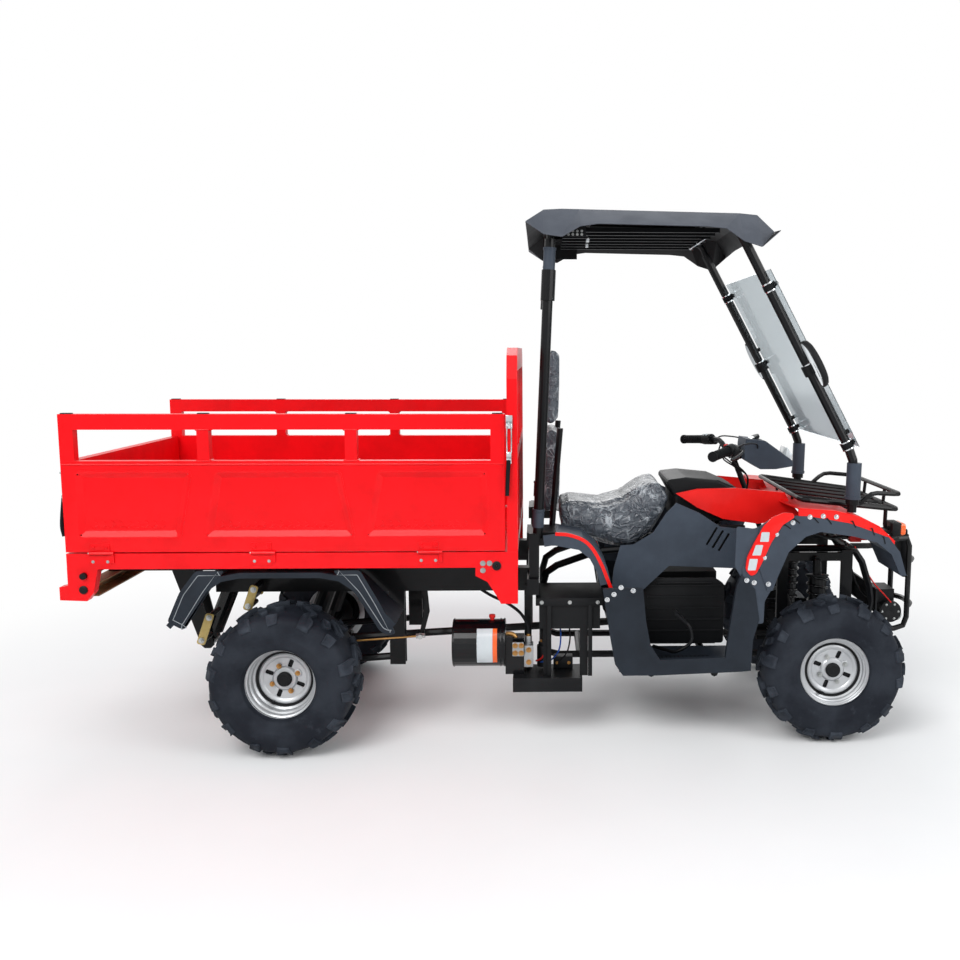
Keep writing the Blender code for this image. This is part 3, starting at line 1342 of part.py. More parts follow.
def rear_fender(side, label):
    """The fender behind the rider: a curved top with a lip at its outer side."""
    crown = spread(REAR_FENDER_SHARES, REAR_FENDER_X, REAR_FENDER_Z)
    pieces = [
        plate(
            thick_path(crown, REAR_FENDER_LIP),
            "Y",
            side * REAR_FENDER_Y,
            side * (REAR_FENDER_Y - PANEL * 2),
        ),
        plate(
            thick_path(lowered(crown), PANEL),
            "Y",
            side * (REAR_FENDER_Y - PANEL),
            side * REAR_FENDER_INNER_Y,
        ),
    ]
    foot_x = REAR_POST_FOOT[0]
    notch = box(
        (REAR_FENDER_X[0] - OVERCUT, side * (REAR_FENDER_Y - PANEL * 2), REAR_FENDER_Z[0]),
        (
            foot_x + BRACKET_LENGTH * BRACKET_AHEAD + BRACKET_CLEARANCE,
            side * (REAR_FENDER_INNER_Y - OVERCUT),
            REAR_FENDER_Z[1] + OVERCUT,
        ),
    )
    finish(cut(joined(pieces), [notch]), f"rear_fender_{label}", GREY_PLASTIC)


def front_fender(side, label):
    """The grey arch over a front wheel, with its liner."""
    inner = spread(ARCH_INNER_SHARES, FENDER_X, FENDER_Z)
    outer = spread(ARCH_OUTER_SHARES, FENDER_X, FENDER_Z)
    face_y = (side * FENDER_Y, side * (FENDER_Y - FENDER_LIP))
    pieces = [
        plate(inner + outer, "Y", *face_y),
        plate(thick_path(inner[::-1], PANEL), "Y", side * (FENDER_Y - FENDER_LIP / 2), side * FENDER_INNER_Y),
    ]
    rail_y = side * CRADLE_HALF_WIDTH
    stay_y = side * FENDER_STAY_Y
    liner_z = height_on(inner, FENDER_STAY_X)
    stay_z = liner_z - FENDER_STAY_BEND
    stay = (
        (FENDER_STAY_X, rail_y, CRADLE_TOP_Z + CRADLE_TUBE_RADIUS + GAP),
        (FENDER_STAY_X, rail_y, stay_z),
        (FENDER_STAY_X, stay_y, stay_z),
        (FENDER_STAY_X, stay_y, liner_z + PANEL / 2),
    )
    pieces.append(tube(rounded(stay, FENDER_STAY_BEND / 2), FENDER_STAY_RADIUS))
    finish(joined(pieces), f"front_fender_{label}", GREY_PLASTIC)


def hood_height(x, y):
    """The height of the hood's middle surface at a place."""
    rows = [
        (FAIRING_X[0] + along * (FAIRING_X[1] - FAIRING_X[0]), crown, edge)
        for along, crown, edge in HOOD_STATION_SHARES
    ]
    bend = 1 - (y / HOOD_HALF_WIDTH) ** 2
    line = [(place, edge + (crown - edge) * bend) for place, crown, edge in rows]
    return FAIRING_Z[0] + height_on(line, x) * (FAIRING_Z[1] - FAIRING_Z[0])


def hood_seat(x, y, radius):
    """The height of a round foot of this radius that stands on the hood."""
    heights = [hood_height(x + across, y) for across in (-radius, 0, radius)]
    slope = (heights[-1] - heights[0]) / (2 * radius)
    return max(heights) + PANEL / 2 * math.hypot(1, slope) + GAP


def front_fairing():
    """The red moulding: the hood between the fenders and the wings beside the tank."""
    shape = bmesh.new()
    rows = []
    for along, crown, edge in HOOD_STATION_SHARES:
        x = FAIRING_X[0] + along * (FAIRING_X[1] - FAIRING_X[0])
        row = []
        for column in range(-HOOD_COLUMNS, HOOD_COLUMNS + 1):
            across = column / HOOD_COLUMNS
            up = edge + (crown - edge) * (1 - across**2)
            z = FAIRING_Z[0] + up * (FAIRING_Z[1] - FAIRING_Z[0])
            row.append(shape.verts.new((x, across * HOOD_HALF_WIDTH, z)))
        rows.append(row)
    for here, there in zip(rows, rows[1:]):
        for index in range(len(here) - 1):
            shape.faces.new((here[index], there[index], there[index + 1], here[index + 1]))
    hood = mesh_piece("hood", shape)
    solidify = hood.modifiers.new("sheet", "SOLIDIFY")
    solidify.thickness = PANEL
    solidify.offset = 0
    hood = baked(hood)
    pieces = [hood]
    stations = [FAIRING_X[0] + along * (FAIRING_X[1] - FAIRING_X[0]) for along, _, _ in HOOD_STATION_SHARES]
    arch = spread(ARCH_OUTER_SHARES[::-1], FENDER_X, FENDER_Z)[3:]
    inside = [point for point in arch if stations[0] < point[0] < stations[-1]]
    ends = [(stations[0], height_on(arch, stations[0])), (stations[-1], height_on(arch, stations[-1]))]
    low = [(x, z + GAP * 2) for x, z in [ends[0], *inside, ends[1]]]
    high = [(x, hood_height(x, HOOD_HALF_WIDTH)) for x in stations]
    for side in (RIGHT, LEFT):
        lip_y = (side * (HOOD_HALF_WIDTH - HOOD_LIP), side * (HOOD_HALF_WIDTH - SHEET_DROP))
        pieces.append(plate(low + high[::-1], "Y", *lip_y))
        pieces.append(
            plate(spread(WING_SHARES, FAIRING_X, FAIRING_Z), "Y", side * WING_Y, side * (WING_Y + PANEL * 2))
        )
    finish(joined(pieces), "front_fairing", RED_PLASTIC)


def tank_cover():
    """The black cover over the fuel tank."""
    block = plate(spread(TANK_SHARES, TANK_X, TANK_Z), "Y", -TANK_HALF_WIDTH, TANK_HALF_WIDTH)
    finish(softened(block, TANK_BEVEL), "tank_cover", BLACK_PLASTIC)


def softened(obj, width):
    """Round the edges of a block."""
    bevel = obj.modifiers.new("edge", "BEVEL")
    bevel.width = width
    bevel.segments = 2
    bevel.limit_method = "ANGLE"
    bevel.angle_limit = math.radians(50)
    return obj


def seat():
    """The long saddle."""
    block = plate(spread(SEAT_SHARES, SEAT_X, SEAT_Z), "Y", -SEAT_HALF_WIDTH, SEAT_HALF_WIDTH)
    finish(softened(block, SEAT_BEVEL), "seat", VINYL)


def canopy_frame():
    """Four posts, the ribs under the roof and the hoop that holds the backrest."""
    pieces = []
    for side in (RIGHT, LEFT):
        y = side * REAR_POST_Y
        foot = Vector((REAR_POST_FOOT[0], y, REAR_POST_FOOT[1]))
        knee = Vector((REAR_POST_KNEE[0], y, REAR_POST_KNEE[1]))
        top = Vector((REAR_POST_TOP[0], y, REAR_POST_TOP[1]))
        foot_z = hood_seat(FRONT_POST_FOOT_X, FRONT_POST_Y, FRONT_POST_RADIUS)
        front_foot = Vector((FRONT_POST_FOOT_X, side * FRONT_POST_Y, foot_z))
        front_knee = Vector((FRONT_POST_KNEE[0], side * FRONT_POST_Y, FRONT_POST_KNEE[1]))
        front_top = Vector((FRONT_POST_TOP[0], side * FRONT_POST_Y, FRONT_POST_TOP[1]))
        pieces.append(
            box(
                (foot.x - REAR_POST_RADIUS, y - REAR_POST_RADIUS, foot.z),
                (foot.x + REAR_POST_RADIUS, y + REAR_POST_RADIUS, knee.z),
            )
        )
        pieces.append(rod(knee - Vector((0, 0, REAR_POST_RADIUS)), top, REAR_POST_RADIUS, ROUND_SEGMENTS))
        sleeve_start = knee.lerp(top, 1 - 2 * REAR_SLEEVE_LENGTH / (top - knee).length)
        sleeve_end = knee.lerp(top, 1 - REAR_SLEEVE_LENGTH / (top - knee).length)
        pieces.append(rod(sleeve_start, sleeve_end, REAR_POST_RADIUS + SLEEVE_EXTRA, ROUND_SEGMENTS))
        post = rounded((front_foot, front_knee, front_top), FRONT_POST_BEND)
        pieces.append(tube(post, FRONT_POST_RADIUS))
        sleeve = [front_foot.lerp(front_knee, (z - foot_z) / (front_knee.z - foot_z)) for z in FRONT_SLEEVE_Z]
        pieces.append(rod(*sleeve, FRONT_POST_RADIUS + SLEEVE_EXTRA, ROUND_SEGMENTS))
        corners = [Vector((x, y, roof_under(x, REAR_POST_Y) - ROOF_RAIL_RADIUS - GAP)) for x in ROOF_RAIL_X]
        pieces.append(tube(rounded((top, *corners, front_top), ROOF_RAIL_BEND), ROOF_RAIL_RADIUS))
        pieces += shield_clamps(side)
        pieces.append(
            box(
                (foot.x - BRACKET_LENGTH * (1 - BRACKET_AHEAD), y, knee.z - BRACKET_HEIGHT),
                (foot.x + BRACKET_LENGTH * BRACKET_AHEAD, side * BACKREST_BAR_Y, knee.z),
            )
        )
        bar_foot = Vector((BACKREST_FOOT[0], side * BACKREST_BAR_Y, BACKREST_FOOT[1]))
        bar_top = Vector((BACKREST_TOP[0], side * BACKREST_BAR_Y, BACKREST_TOP[1]))
        pieces.append(rod(bar_foot - Vector((0, 0, BACKREST_BAR_RADIUS)), bar_top, BACKREST_BAR_RADIUS))
    for z in BACKREST_CROSS_Z:
        pieces.append(across_bar(rear_post_x(z), z, REAR_POST_Y, BACKREST_BAR_RADIUS))
    for x in ROOF_CROSS_X:
        z = roof_under(x, REAR_POST_Y) - ROOF_RAIL_RADIUS - GAP
        pieces.append(across_bar(x, z, REAR_POST_Y, ROOF_RIB_RADIUS))
    for y in ROOF_RIB_Y:
        ends = []
        for x, away in zip(ROOF_CROSS_X, (-1, 1)):
            place = x + away * ROOF_RAIL_BEND
            ends.append((place, y, roof_under(place, y) - ROOF_RIB_RADIUS - GAP))
        pieces.append(tube(ends, ROOF_RIB_RADIUS))
    finish(joined(pieces), "canopy_frame", BLACK_STEEL)


def rear_post_x(height):
    """Where along X a rear post's axis is at this height."""
    share = (height - REAR_POST_KNEE[1]) / (REAR_POST_TOP[1] - REAR_POST_KNEE[1])
    return REAR_POST_KNEE[0] + share * (REAR_POST_TOP[0] - REAR_POST_KNEE[0])


def roof_under(x, y):
    """The height of the roof's underside, inside its turned-down edges."""
    along = (x - ROOF_X[0]) / (ROOF_X[1] - ROOF_X[0])
    return ROOF_Z[1] - ROOF_SLOPE * along - ROOF_CROWN * (y / ROOF_HALF_WIDTH) ** 2 - ROOF_SHEET / 2


def shield_clamps(side):
    """The studs on a front post that the windshield is bolted to."""
    _, front = shield_direction()
    studs = []
    for share in CLAMP_SHARES:
        z = SHIELD_Z[0] + share * (SHIELD_Z[1] - SHIELD_Z[0])
        middle = Vector((post_place(z), side * FRONT_POST_Y, z))
        studs.append(rod(middle, middle + front * (SHIELD_OFFSET - GAP), CLAMP_RADIUS))
    return studs


def canopy_roof():
    """The moulded roof: a thin shell whose skirts drop in a lobe at each corner."""
    shape = bmesh.new()
    bmesh.ops.create_grid(shape, x_segments=ROOF_LENGTH_CELLS, y_segments=ROOF_WIDTH_CELLS, size=0.5)
    length = ROOF_X[1] - ROOF_X[0]
    for vert in shape.verts:
        along = vert.co.x + 0.5
        across = vert.co.y * 2
        x = ROOF_X[0] + along * length
        y = across * ROOF_HALF_WIDTH
        top = ROOF_Z[1] - ROOF_SLOPE * along - ROOF_CROWN * across**2
        end = min(along, 1 - along) * length
        edge = min(end, (1 - abs(across)) * ROOF_HALF_WIDTH)
        drop = max(0.0, 1 - edge / ROOF_EDGE) ** 2 * ROOF_DROP
        row = round(end / length * ROOF_LENGTH_CELLS)
        depth, shares = (REAR_LOBE, REAR_LOBE_SHARES) if along < 0.5 else (FRONT_LOBE, FRONT_LOBE_SHARES)
        lobe = depth * shares[row] if row < len(shares) else 0
        on_rim = edge < ROOF_RIM
        corner = max(0.0, (abs(across) - ROOF_LOBE_START) / (1 - ROOF_LOBE_START))
        vert.co = (x, y, top - drop - (lobe * corner if on_rim else 0))
    roof = mesh_piece("roof", shape)
    solidify = roof.modifiers.new("sheet", "SOLIDIFY")
    solidify.thickness = ROOF_SHEET
    solidify.offset = 0
    finish(baked(roof), "canopy_roof", GREY_PLASTIC)


def backrest_pad(name, z_range, thickness, bevel):
    """A cushion of the backrest, in front of the bars between the rear posts."""
    backs = [rear_post_x(z) + BACKREST_BAR_RADIUS + GAP for z in z_range]
    outline = (
        (backs[0], z_range[0]),
        (backs[0] + thickness, z_range[0]),
        (backs[1] + thickness, z_range[1]),
        (backs[1], z_range[1]),
    )
    pad = plate(outline, "Y", -PAD_HALF_WIDTH, PAD_HALF_WIDTH)
    finish(softened(pad, bevel), name, VINYL)


def shield_direction():
    """The direction up the front posts, and the one square to it towards the front."""
    run_x = FRONT_POST_TOP[0] - FRONT_POST_KNEE[0]
    up = Vector((run_x, 0, FRONT_POST_TOP[1] - FRONT_POST_KNEE[1])).normalized()
    return up, Vector((up.z, 0, -up.x))


def windshield():
    """The clear sheet in front of the front posts."""
    up, front = shield_direction()
    low, high = [Vector((post_place(z), 0, z)) + front * SHIELD_OFFSET for z in SHIELD_Z]
    corners = [low, high, high + front * SHIELD_THICKNESS, low + front * SHIELD_THICKNESS]
    sheet = plate([(corner.x, corner.z) for corner in corners], "Y", -SHIELD_HALF_WIDTH, SHIELD_HALF_WIDTH)
    finish(sheet, "windshield", CLEAR_SHEET)


def mirror(side, label):
    """A mirror on a short arm clamped round the front post."""
    up, front = shield_direction()
    post_x = post_place(MIRROR_Z - MIRROR_CLAMP_LENGTH)
    clamp_middle = Vector((post_x, side * FRONT_POST_Y, MIRROR_Z - MIRROR_CLAMP_LENGTH))
    centre = Vector((MIRROR_X, side * MIRROR_Y, MIRROR_Z))
    head = box(*[tuple(sign * size / 2 for size in MIRROR_SIZE) for sign in (-1, 1)])
    lean = math.atan2(up.x, up.z)
    head.data.transform(Matrix.Translation(centre) @ Matrix.Rotation(lean, 4, "Y"))
    run = up * MIRROR_CLAMP_LENGTH / 2
    pieces = [
        head,
        rod(clamp_middle - run, clamp_middle + run, MIRROR_CLAMP_RADIUS, ROUND_SEGMENTS),
        rod(clamp_middle + Vector((0, side * MIRROR_ARM_START, 0)), centre, MIRROR_ARM_RADIUS),
    ]
    hole = rod(clamp_middle - run * 2, clamp_middle + run * 2, FRONT_POST_RADIUS + GAP * 3, ROUND_SEGMENTS)
    finish(cut(joined(pieces), [hole]), f"mirror_{label}", BLACK_PLASTIC)


def post_place(height):
    """Where along X a front post's axis is at this height, above its bend."""
    share = (height - FRONT_POST_KNEE[1]) / (FRONT_POST_TOP[1] - FRONT_POST_KNEE[1])
    return FRONT_POST_KNEE[0] + share * (FRONT_POST_TOP[0] - FRONT_POST_KNEE[0])


def rack_height(x):
    """The height of the rack's tubes at a place along X."""
    return RACK_REAR_Z + (RACK_FRONT_Z - RACK_REAR_Z) * (x - RACK_X[0]) / (RACK_X[1] - RACK_X[0])


def rack_side(x):
    """How far from the middle the rack's side tubes are at a place along X."""
    share = (x - RACK_X[0]) / (RACK_X[1] - RACK_X[0])
    return RACK_HALF_WIDTH + (RACK_FRONT_HALF_WIDTH - RACK_HALF_WIDTH) * share


def front_rack():
    """The tube rack over the hood, with its raised front hoop, its feet and the lamps' arms."""
    rear, front = RACK_X
    corners = (
        (rear, -RACK_HALF_WIDTH, RACK_REAR_Z),
        (front, -RACK_FRONT_HALF_WIDTH, RACK_FRONT_Z),
        (front, RACK_FRONT_HALF_WIDTH, RACK_FRONT_Z),
        (rear, RACK_HALF_WIDTH, RACK_REAR_Z),
    )
    start = Vector(corners[0]).lerp(Vector(corners[1]), 0.5)
    loop = rounded((start, *corners[1:], corners[0], start), RACK_TUBE_RADIUS * 4)
    pieces = [tube(loop[:-1], RACK_TUBE_RADIUS, closed=True)]
    for index in range(RACK_BARS):
        y = RACK_HALF_WIDTH * RACK_BAR_SPREAD_SHARE * (2 * index / (RACK_BARS - 1) - 1)
        pieces.append(tube(((rear, y, RACK_REAR_Z), (front, y, RACK_FRONT_Z)), RACK_BAR_RADIUS))
        if index in (1, RACK_BARS - 2):
            for x in RACK_FOOT_X:
                low = hood_seat(x, y, RACK_FOOT_RADIUS)
                pieces.append(rod((x, y, low), (x, y, rack_height(x)), RACK_FOOT_RADIUS))
    hoop = []
    for side in (RIGHT, LEFT):
        leg = [
            (RACK_HOOP_X[0], side * rack_side(RACK_HOOP_X[0]), rack_height(RACK_HOOP_X[0])),
            (RACK_HOOP_X[1], side * rack_side(RACK_HOOP_X[1]), RACK_HOOP_Z),
            (RACK_HOOP_FRONT_X, side * rack_side(RACK_HOOP_FRONT_X), RACK_HOOP_Z - RACK_TUBE_RADIUS),
        ]
        hoop += leg if side == RIGHT else leg[::-1]
        strut_y = side * RACK_STRUT_Y
        strut_top = (RACK_HOOP_FRONT_X, strut_y, RACK_HOOP_Z - RACK_TUBE_RADIUS)
        pieces.append(rod((front, strut_y, RACK_FRONT_Z), strut_top, RACK_BAR_RADIUS))
        arm_x = SIGNAL_ARM_X
        arm = (
            (arm_x, side * rack_side(arm_x), rack_height(arm_x)),
            (arm_x, side * SIGNAL_Y, SIGNAL_Z),
            (SIGNAL_X - SIGNAL_SIZE[0] / 2 - GAP, side * SIGNAL_Y, SIGNAL_Z),
        )
        pieces.append(tube(rounded(arm, SIGNAL_ARM_RADIUS * 2), SIGNAL_ARM_RADIUS))
    pieces.append(tube(rounded(hoop, RACK_TUBE_RADIUS * 3), RACK_TUBE_RADIUS))
    finish(joined(pieces), "front_rack", BLACK_STEEL)


def front_bumper():
    """The tube guard in front of the winch: two uprights and two bowed bars."""
    pieces = []
    top_end = CRADLE_TOP_CROSS_X[-1] + CRADLE_TUBE_RADIUS + GAP
    low_end = NOSE_CROSS[0] + CRADLE_TUBE_RADIUS + GAP
    for side in (RIGHT, LEFT):
        y = side * BUMPER_HALF_WIDTH
        path = rounded(
            (
                (low_end, y, BUMPER_BOTTOM_Z),
                (BUMPER_FRONT_X, y, BUMPER_BOTTOM_Z),
                (BUMPER_FRONT_X, y, BUMPER_TOP_Z),
                ((BUMPER_FRONT_X + top_end) / 2, y, CRADLE_TOP_Z),
                (top_end, y, CRADLE_TOP_Z),
            ),
            BUMPER_BEND,
        )
        pieces.append(tube(path, BUMPER_TUBE_RADIUS))
    for z in BUMPER_BOW_Z:
        bow = (
            (BUMPER_FRONT_X, -BUMPER_HALF_WIDTH, z),
            (BUMPER_BOW_X, -BUMPER_HALF_WIDTH / 2, z),
            (BUMPER_BOW_X, BUMPER_HALF_WIDTH / 2, z),
            (BUMPER_FRONT_X, BUMPER_HALF_WIDTH, z),
        )
        pieces.append(tube(rounded(bow, BUMPER_BEND / 2), BUMPER_TUBE_RADIUS))
    finish(joined(pieces), "front_bumper", BLACK_STEEL)


def turn_signal(side, label):
    """An orange lamp at the end of its arm."""
    low = (SIGNAL_X - SIGNAL_SIZE[0] / 2, side * SIGNAL_Y - SIGNAL_SIZE[1] / 2, SIGNAL_Z - SIGNAL_SIZE[2] / 2)
    high = (
        SIGNAL_X + SIGNAL_SIZE[0] / 2,
        side * SIGNAL_Y + SIGNAL_SIZE[1] / 2,
        SIGNAL_Z + SIGNAL_SIZE[2] / 2,
    )
    finish(softened(box(low, high), SIGNAL_SIZE[2] / 4), f"turn_signal_{label}", ORANGE_LENS)


def winch():
    """The winch: its drum and motor, the box above and the plate that bolts it to the cradle's nose."""
    nose_x = max(point.x for point in cradle_loop(RIGHT)) + CRADLE_TUBE_RADIUS + GAP
    plate_y = CRADLE_HALF_WIDTH + CRADLE_TUBE_RADIUS
    pieces = [
        across_bar(WINCH_X, WINCH_Z, WINCH_HALF_LENGTH, WINCH_RADIUS, ROUND_SEGMENTS),
        box((nose_x, -plate_y, WINCH_PLATE_Z[0]), (nose_x + WINCH_PLATE, plate_y, WINCH_PLATE_Z[1])),
        box(
            (nose_x + WINCH_PLATE / 2, -WINCH_BOX_HALF_WIDTH, WINCH_BOX_Z[0]),
            (WINCH_BOX_FRONT_X, WINCH_BOX_HALF_WIDTH, WINCH_BOX_Z[1]),
        ),
    ]
    finish(joined(pieces), "winch", BLACK_STEEL)


def power_pack():
    """The hydraulic reservoir with its silver manifold."""
    y = -RESERVOIR_Y
    pieces = [
        rod(
            (RESERVOIR_X[0], y, RESERVOIR_Z),
            (RESERVOIR_X[1], y, RESERVOIR_Z),
            RESERVOIR_RADIUS,
            2 * ROUND_SEGMENTS,
        ),
        box(
            (RESERVOIR_X[1] - GAP, y - MANIFOLD_WIDTH / 2, MANIFOLD_Z[0]),
            (MANIFOLD_X[1], y + MANIFOLD_WIDTH / 2, MANIFOLD_Z[1]),
        ),
    ]
    finish(joined(pieces), "hydraulic_power_pack", BLACK_STEEL)


def power_pack_tray():
    """The tray in front of the power pack."""
    y = -RESERVOIR_Y
    tray = box((TRAY_X[0], y - TRAY_WIDTH / 2, TRAY_Z[0]), (TRAY_X[1], y + TRAY_WIDTH / 2, TRAY_Z[1]))
    finish(tray, "power_pack_tray", BLACK_PLASTIC)


def battery_box():
    """The battery box with its lid and the legs of its stand."""
    pieces = [
        box((BATTERY_X[0], -BATTERY_Y[1], BATTERY_Z[0]), (BATTERY_X[1], -BATTERY_Y[0], BATTERY_Z[1])),
        box(
            (BATTERY_X[0] - BATTERY_LID, -BATTERY_Y[1] - BATTERY_LID, BATTERY_Z[1] - BATTERY_LID * 2),
            (BATTERY_X[1] + BATTERY_LID, -BATTERY_Y[0] + BATTERY_LID, BATTERY_Z[1]),
        ),
    ]
    for x in BATTERY_LEG_X:
        pieces.append(
            box(
                (x - BATTERY_LEG / 2, -BATTERY_Y[1], TRAY_Z[1] + GAP),
                (x + BATTERY_LEG / 2, -BATTERY_Y[1] + BATTERY_LEG, BATTERY_Z[0] + GAP),
            )
        )
    finish(joined(pieces), "battery_box", BLACK_PLASTIC)


def rear_mudguard(side, label):
    """The bent flap over and behind a rear wheel."""
    shares = (
        (-MUDGUARD_FOOT_X, MUDGUARD_FOOT_Z),
        (-MUDGUARD_CROWN_X, MUDGUARD_CROWN_Z),
        (MUDGUARD_CROWN_X, MUDGUARD_CROWN_Z),
        (MUDGUARD_FOOT_X, MUDGUARD_FOOT_Z),
    )
    path = [(REAR_AXLE_X + x, z) for x, z in shares]
    flat = [(point.x, point.y) for point in rounded([(x, z, 0) for x, z in path], MUDGUARD_LIP * 4)]
    sheet = plate(thick_path(flat, MUDGUARD_SHEET), "Y", side * MUDGUARD_Y[0], side * MUDGUARD_Y[1])
    lip_y = (side * (MUDGUARD_Y[1] - MUDGUARD_SHEET), side * MUDGUARD_Y[1])
    lip = plate(thick_path(flat, MUDGUARD_LIP), "Y", *lip_y)
    stay_z = BEAM_TOP_Z - MUDGUARD_SHEET * 2
    stay = box(
        (
            REAR_AXLE_X - MUDGUARD_LIP,
            side * (BEAM_HALF_SPACING + BEAM_WIDTH / 2 + GAP),
            stay_z - MUDGUARD_LIP,
        ),
        (REAR_AXLE_X + MUDGUARD_LIP, side * (MUDGUARD_Y[0] + MUDGUARD_SHEET), MUDGUARD_CROWN_Z - GAP),
    )
    finish(joined([sheet, lip, stay]), f"rear_mudguard_{label}", BLACK_PLASTIC)


def bed_frame():
    """The red base of the bed: rails, cross members, rear feet, front legs and hinge leaves."""
    pieces = []
    rail_front = BED_FRONT_X
    cross_top = BED_BOTTOM_Z + BED_CROSS_HEIGHT
    for side in (RIGHT, LEFT):
        outer = side * BED_HALF_WIDTH
        inner = side * (BED_HALF_WIDTH - BASE_RAIL_WIDTH)
        pieces.append(box((BED_REAR_X, inner, BED_BOTTOM_Z), (rail_front, outer, BASE_RAIL_TOP_Z)))
        leg_y = (inner + side * SHEET_DROP, outer - side * SHEET_DROP)
        leg_top = BED_BOTTOM_Z + LEG_OVERLAP
        foot = spread(FOOT_SHARES, (FOOT_REAR_X, FOOT_FRONT_X), (FOOT_BOTTOM_Z, leg_top))
        pieces.append(plate(foot, "Y", *leg_y))
        leg = spread(LEG_SHARES, (LEG_REAR_X, BED_FRONT_X - SHEET_DROP), (LEG_BOTTOM_Z, leg_top))
        pieces.append(plate(leg, "Y", *leg_y))
        stringer_y = side * BEAM_HALF_SPACING
        pieces.append(
            box(
                (BED_CROSS_X[0], stringer_y - STRINGER_WIDTH / 2, BED_BOTTOM_Z),
                (BED_CROSS_X[-1], stringer_y + STRINGER_WIDTH / 2, cross_top),
            )
        )
        for share in HINGE_X_SHARES:
            x = BED_REAR_X + share * (BED_FRONT_X - BED_REAR_X)
            pieces.append(
                box(
                    (
                        x - HINGE_LENGTH / 2,
                        outer - side * HINGE_LEAF,
                        HINGE_Z - HINGE_OFFSET - HINGE_LEAF - HINGE_LEAF_HEIGHT,
                    ),
                    (x + HINGE_LENGTH / 2, outer + side * HINGE_LEAF, HINGE_Z - HINGE_OFFSET - HINGE_LEAF),
                )
            )
            near = x + HINGE_LENGTH / 2 + HINGE_PLAY
            far = near + HINGE_KNUCKLE
            axis_y = side * (BED_HALF_WIDTH + HINGE_OFFSET)
            pieces.append(rod((near, axis_y, HINGE_Z), (far, axis_y, HINGE_Z), HINGE_BARREL_RADIUS))
            pieces.append(
                box(
                    (near + HINGE_INSET, outer - side * HINGE_LEAF * 2, HINGE_Z - HINGE_LEAF_HEIGHT),
                    (far - HINGE_INSET, axis_y - side * HINGE_INSET, HINGE_Z - HINGE_LEAF),
                )
            )
    for x in BED_CROSS_X:
        pieces.append(
            box(
                (x - BED_CROSS_WIDTH / 2, -BED_HALF_WIDTH + BASE_RAIL_WIDTH / 2, BED_BOTTOM_Z),
                (x + BED_CROSS_WIDTH / 2, BED_HALF_WIDTH - BASE_RAIL_WIDTH / 2, cross_top),
            )
        )
    for offset in (-1, 1):
        lug_y = offset * (RAM_EYE_WIDTH / 2 + RAM_LUG_GAP + RAM_LUG_THICKNESS / 2)
        lug_top = BED_BOTTOM_Z + SHEET_DROP
        outline = (
            (RAM_EYE_X - RAM_LUG_RADIUS, lug_top),
            (RAM_EYE_X - RAM_LUG_RADIUS, RAM_EYE_Z - RAM_LUG_RADIUS / 2),
            (RAM_EYE_X - RAM_LUG_RADIUS / 2, RAM_EYE_Z - RAM_LUG_RADIUS),
            (RAM_EYE_X + RAM_LUG_RADIUS / 2, RAM_EYE_Z - RAM_LUG_RADIUS),
            (RAM_EYE_X + RAM_LUG_RADIUS, RAM_EYE_Z - RAM_LUG_RADIUS / 2),
            (RAM_EYE_X + RAM_LUG_RADIUS, lug_top),
        )
        lug_y_range = (lug_y - RAM_LUG_THICKNESS / 2 + SHEET_DROP, lug_y + RAM_LUG_THICKNESS / 2 - SHEET_DROP)
        pieces.append(plate(outline, "Y", *lug_y_range))
        pieces.append(
            box(
                (BED_CROSS_X[1], lug_y - RAM_LUG_THICKNESS / 2, BED_BOTTOM_Z),
                (BED_CROSS_X[2], lug_y + RAM_LUG_THICKNESS / 2, cross_top),
            )
        )
    gate_half = BED_HALF_WIDTH - SIDE_THICKNESS - TAILGATE_SIDE_CLEARANCE
    gate_axis_x = BED_REAR_X - HINGE_OFFSET
    for share in TAILGATE_HINGE_SHARES:
        near = share * gate_half + HINGE_LENGTH / 2 + HINGE_PLAY
        far = near + HINGE_KNUCKLE
        pieces.append(rod((gate_axis_x, near, HINGE_Z), (gate_axis_x, far, HINGE_Z), HINGE_BARREL_RADIUS))
        pieces.append(
            box(
                (gate_axis_x + HINGE_INSET, near + HINGE_INSET, HINGE_Z - HINGE_LEAF_HEIGHT),
                (BED_REAR_X + HINGE_LEAF * 2, far - HINGE_INSET, HINGE_Z - HINGE_LEAF),
            )
        )
    frame = joined(pieces)
    reach = PIVOT_BAR_HALF_LENGTH + OVERCUT
    hole = across_bar(PIVOT_X, PIVOT_Z, reach, PIVOT_BAR_RADIUS + PIN_CLEARANCE, ROUND_SEGMENTS)
    finish(cut(frame, [hole]), "bed_frame", RED_PAINT)


def bed_floor():
    """The sheet that the load stands on."""
    half = BED_HALF_WIDTH - BASE_RAIL_WIDTH - GAP
    low = BED_BOTTOM_Z + BED_CROSS_HEIGHT + GAP
    floor = box(
        (BED_REAR_X + TAILGATE_THICKNESS + GAP, -half, low),
        (BED_FRONT_X - HEADBOARD_THICKNESS - GAP, half, low + FLOOR_SHEET),
    )
    finish(floor, "bed_floor", RED_PAINT)


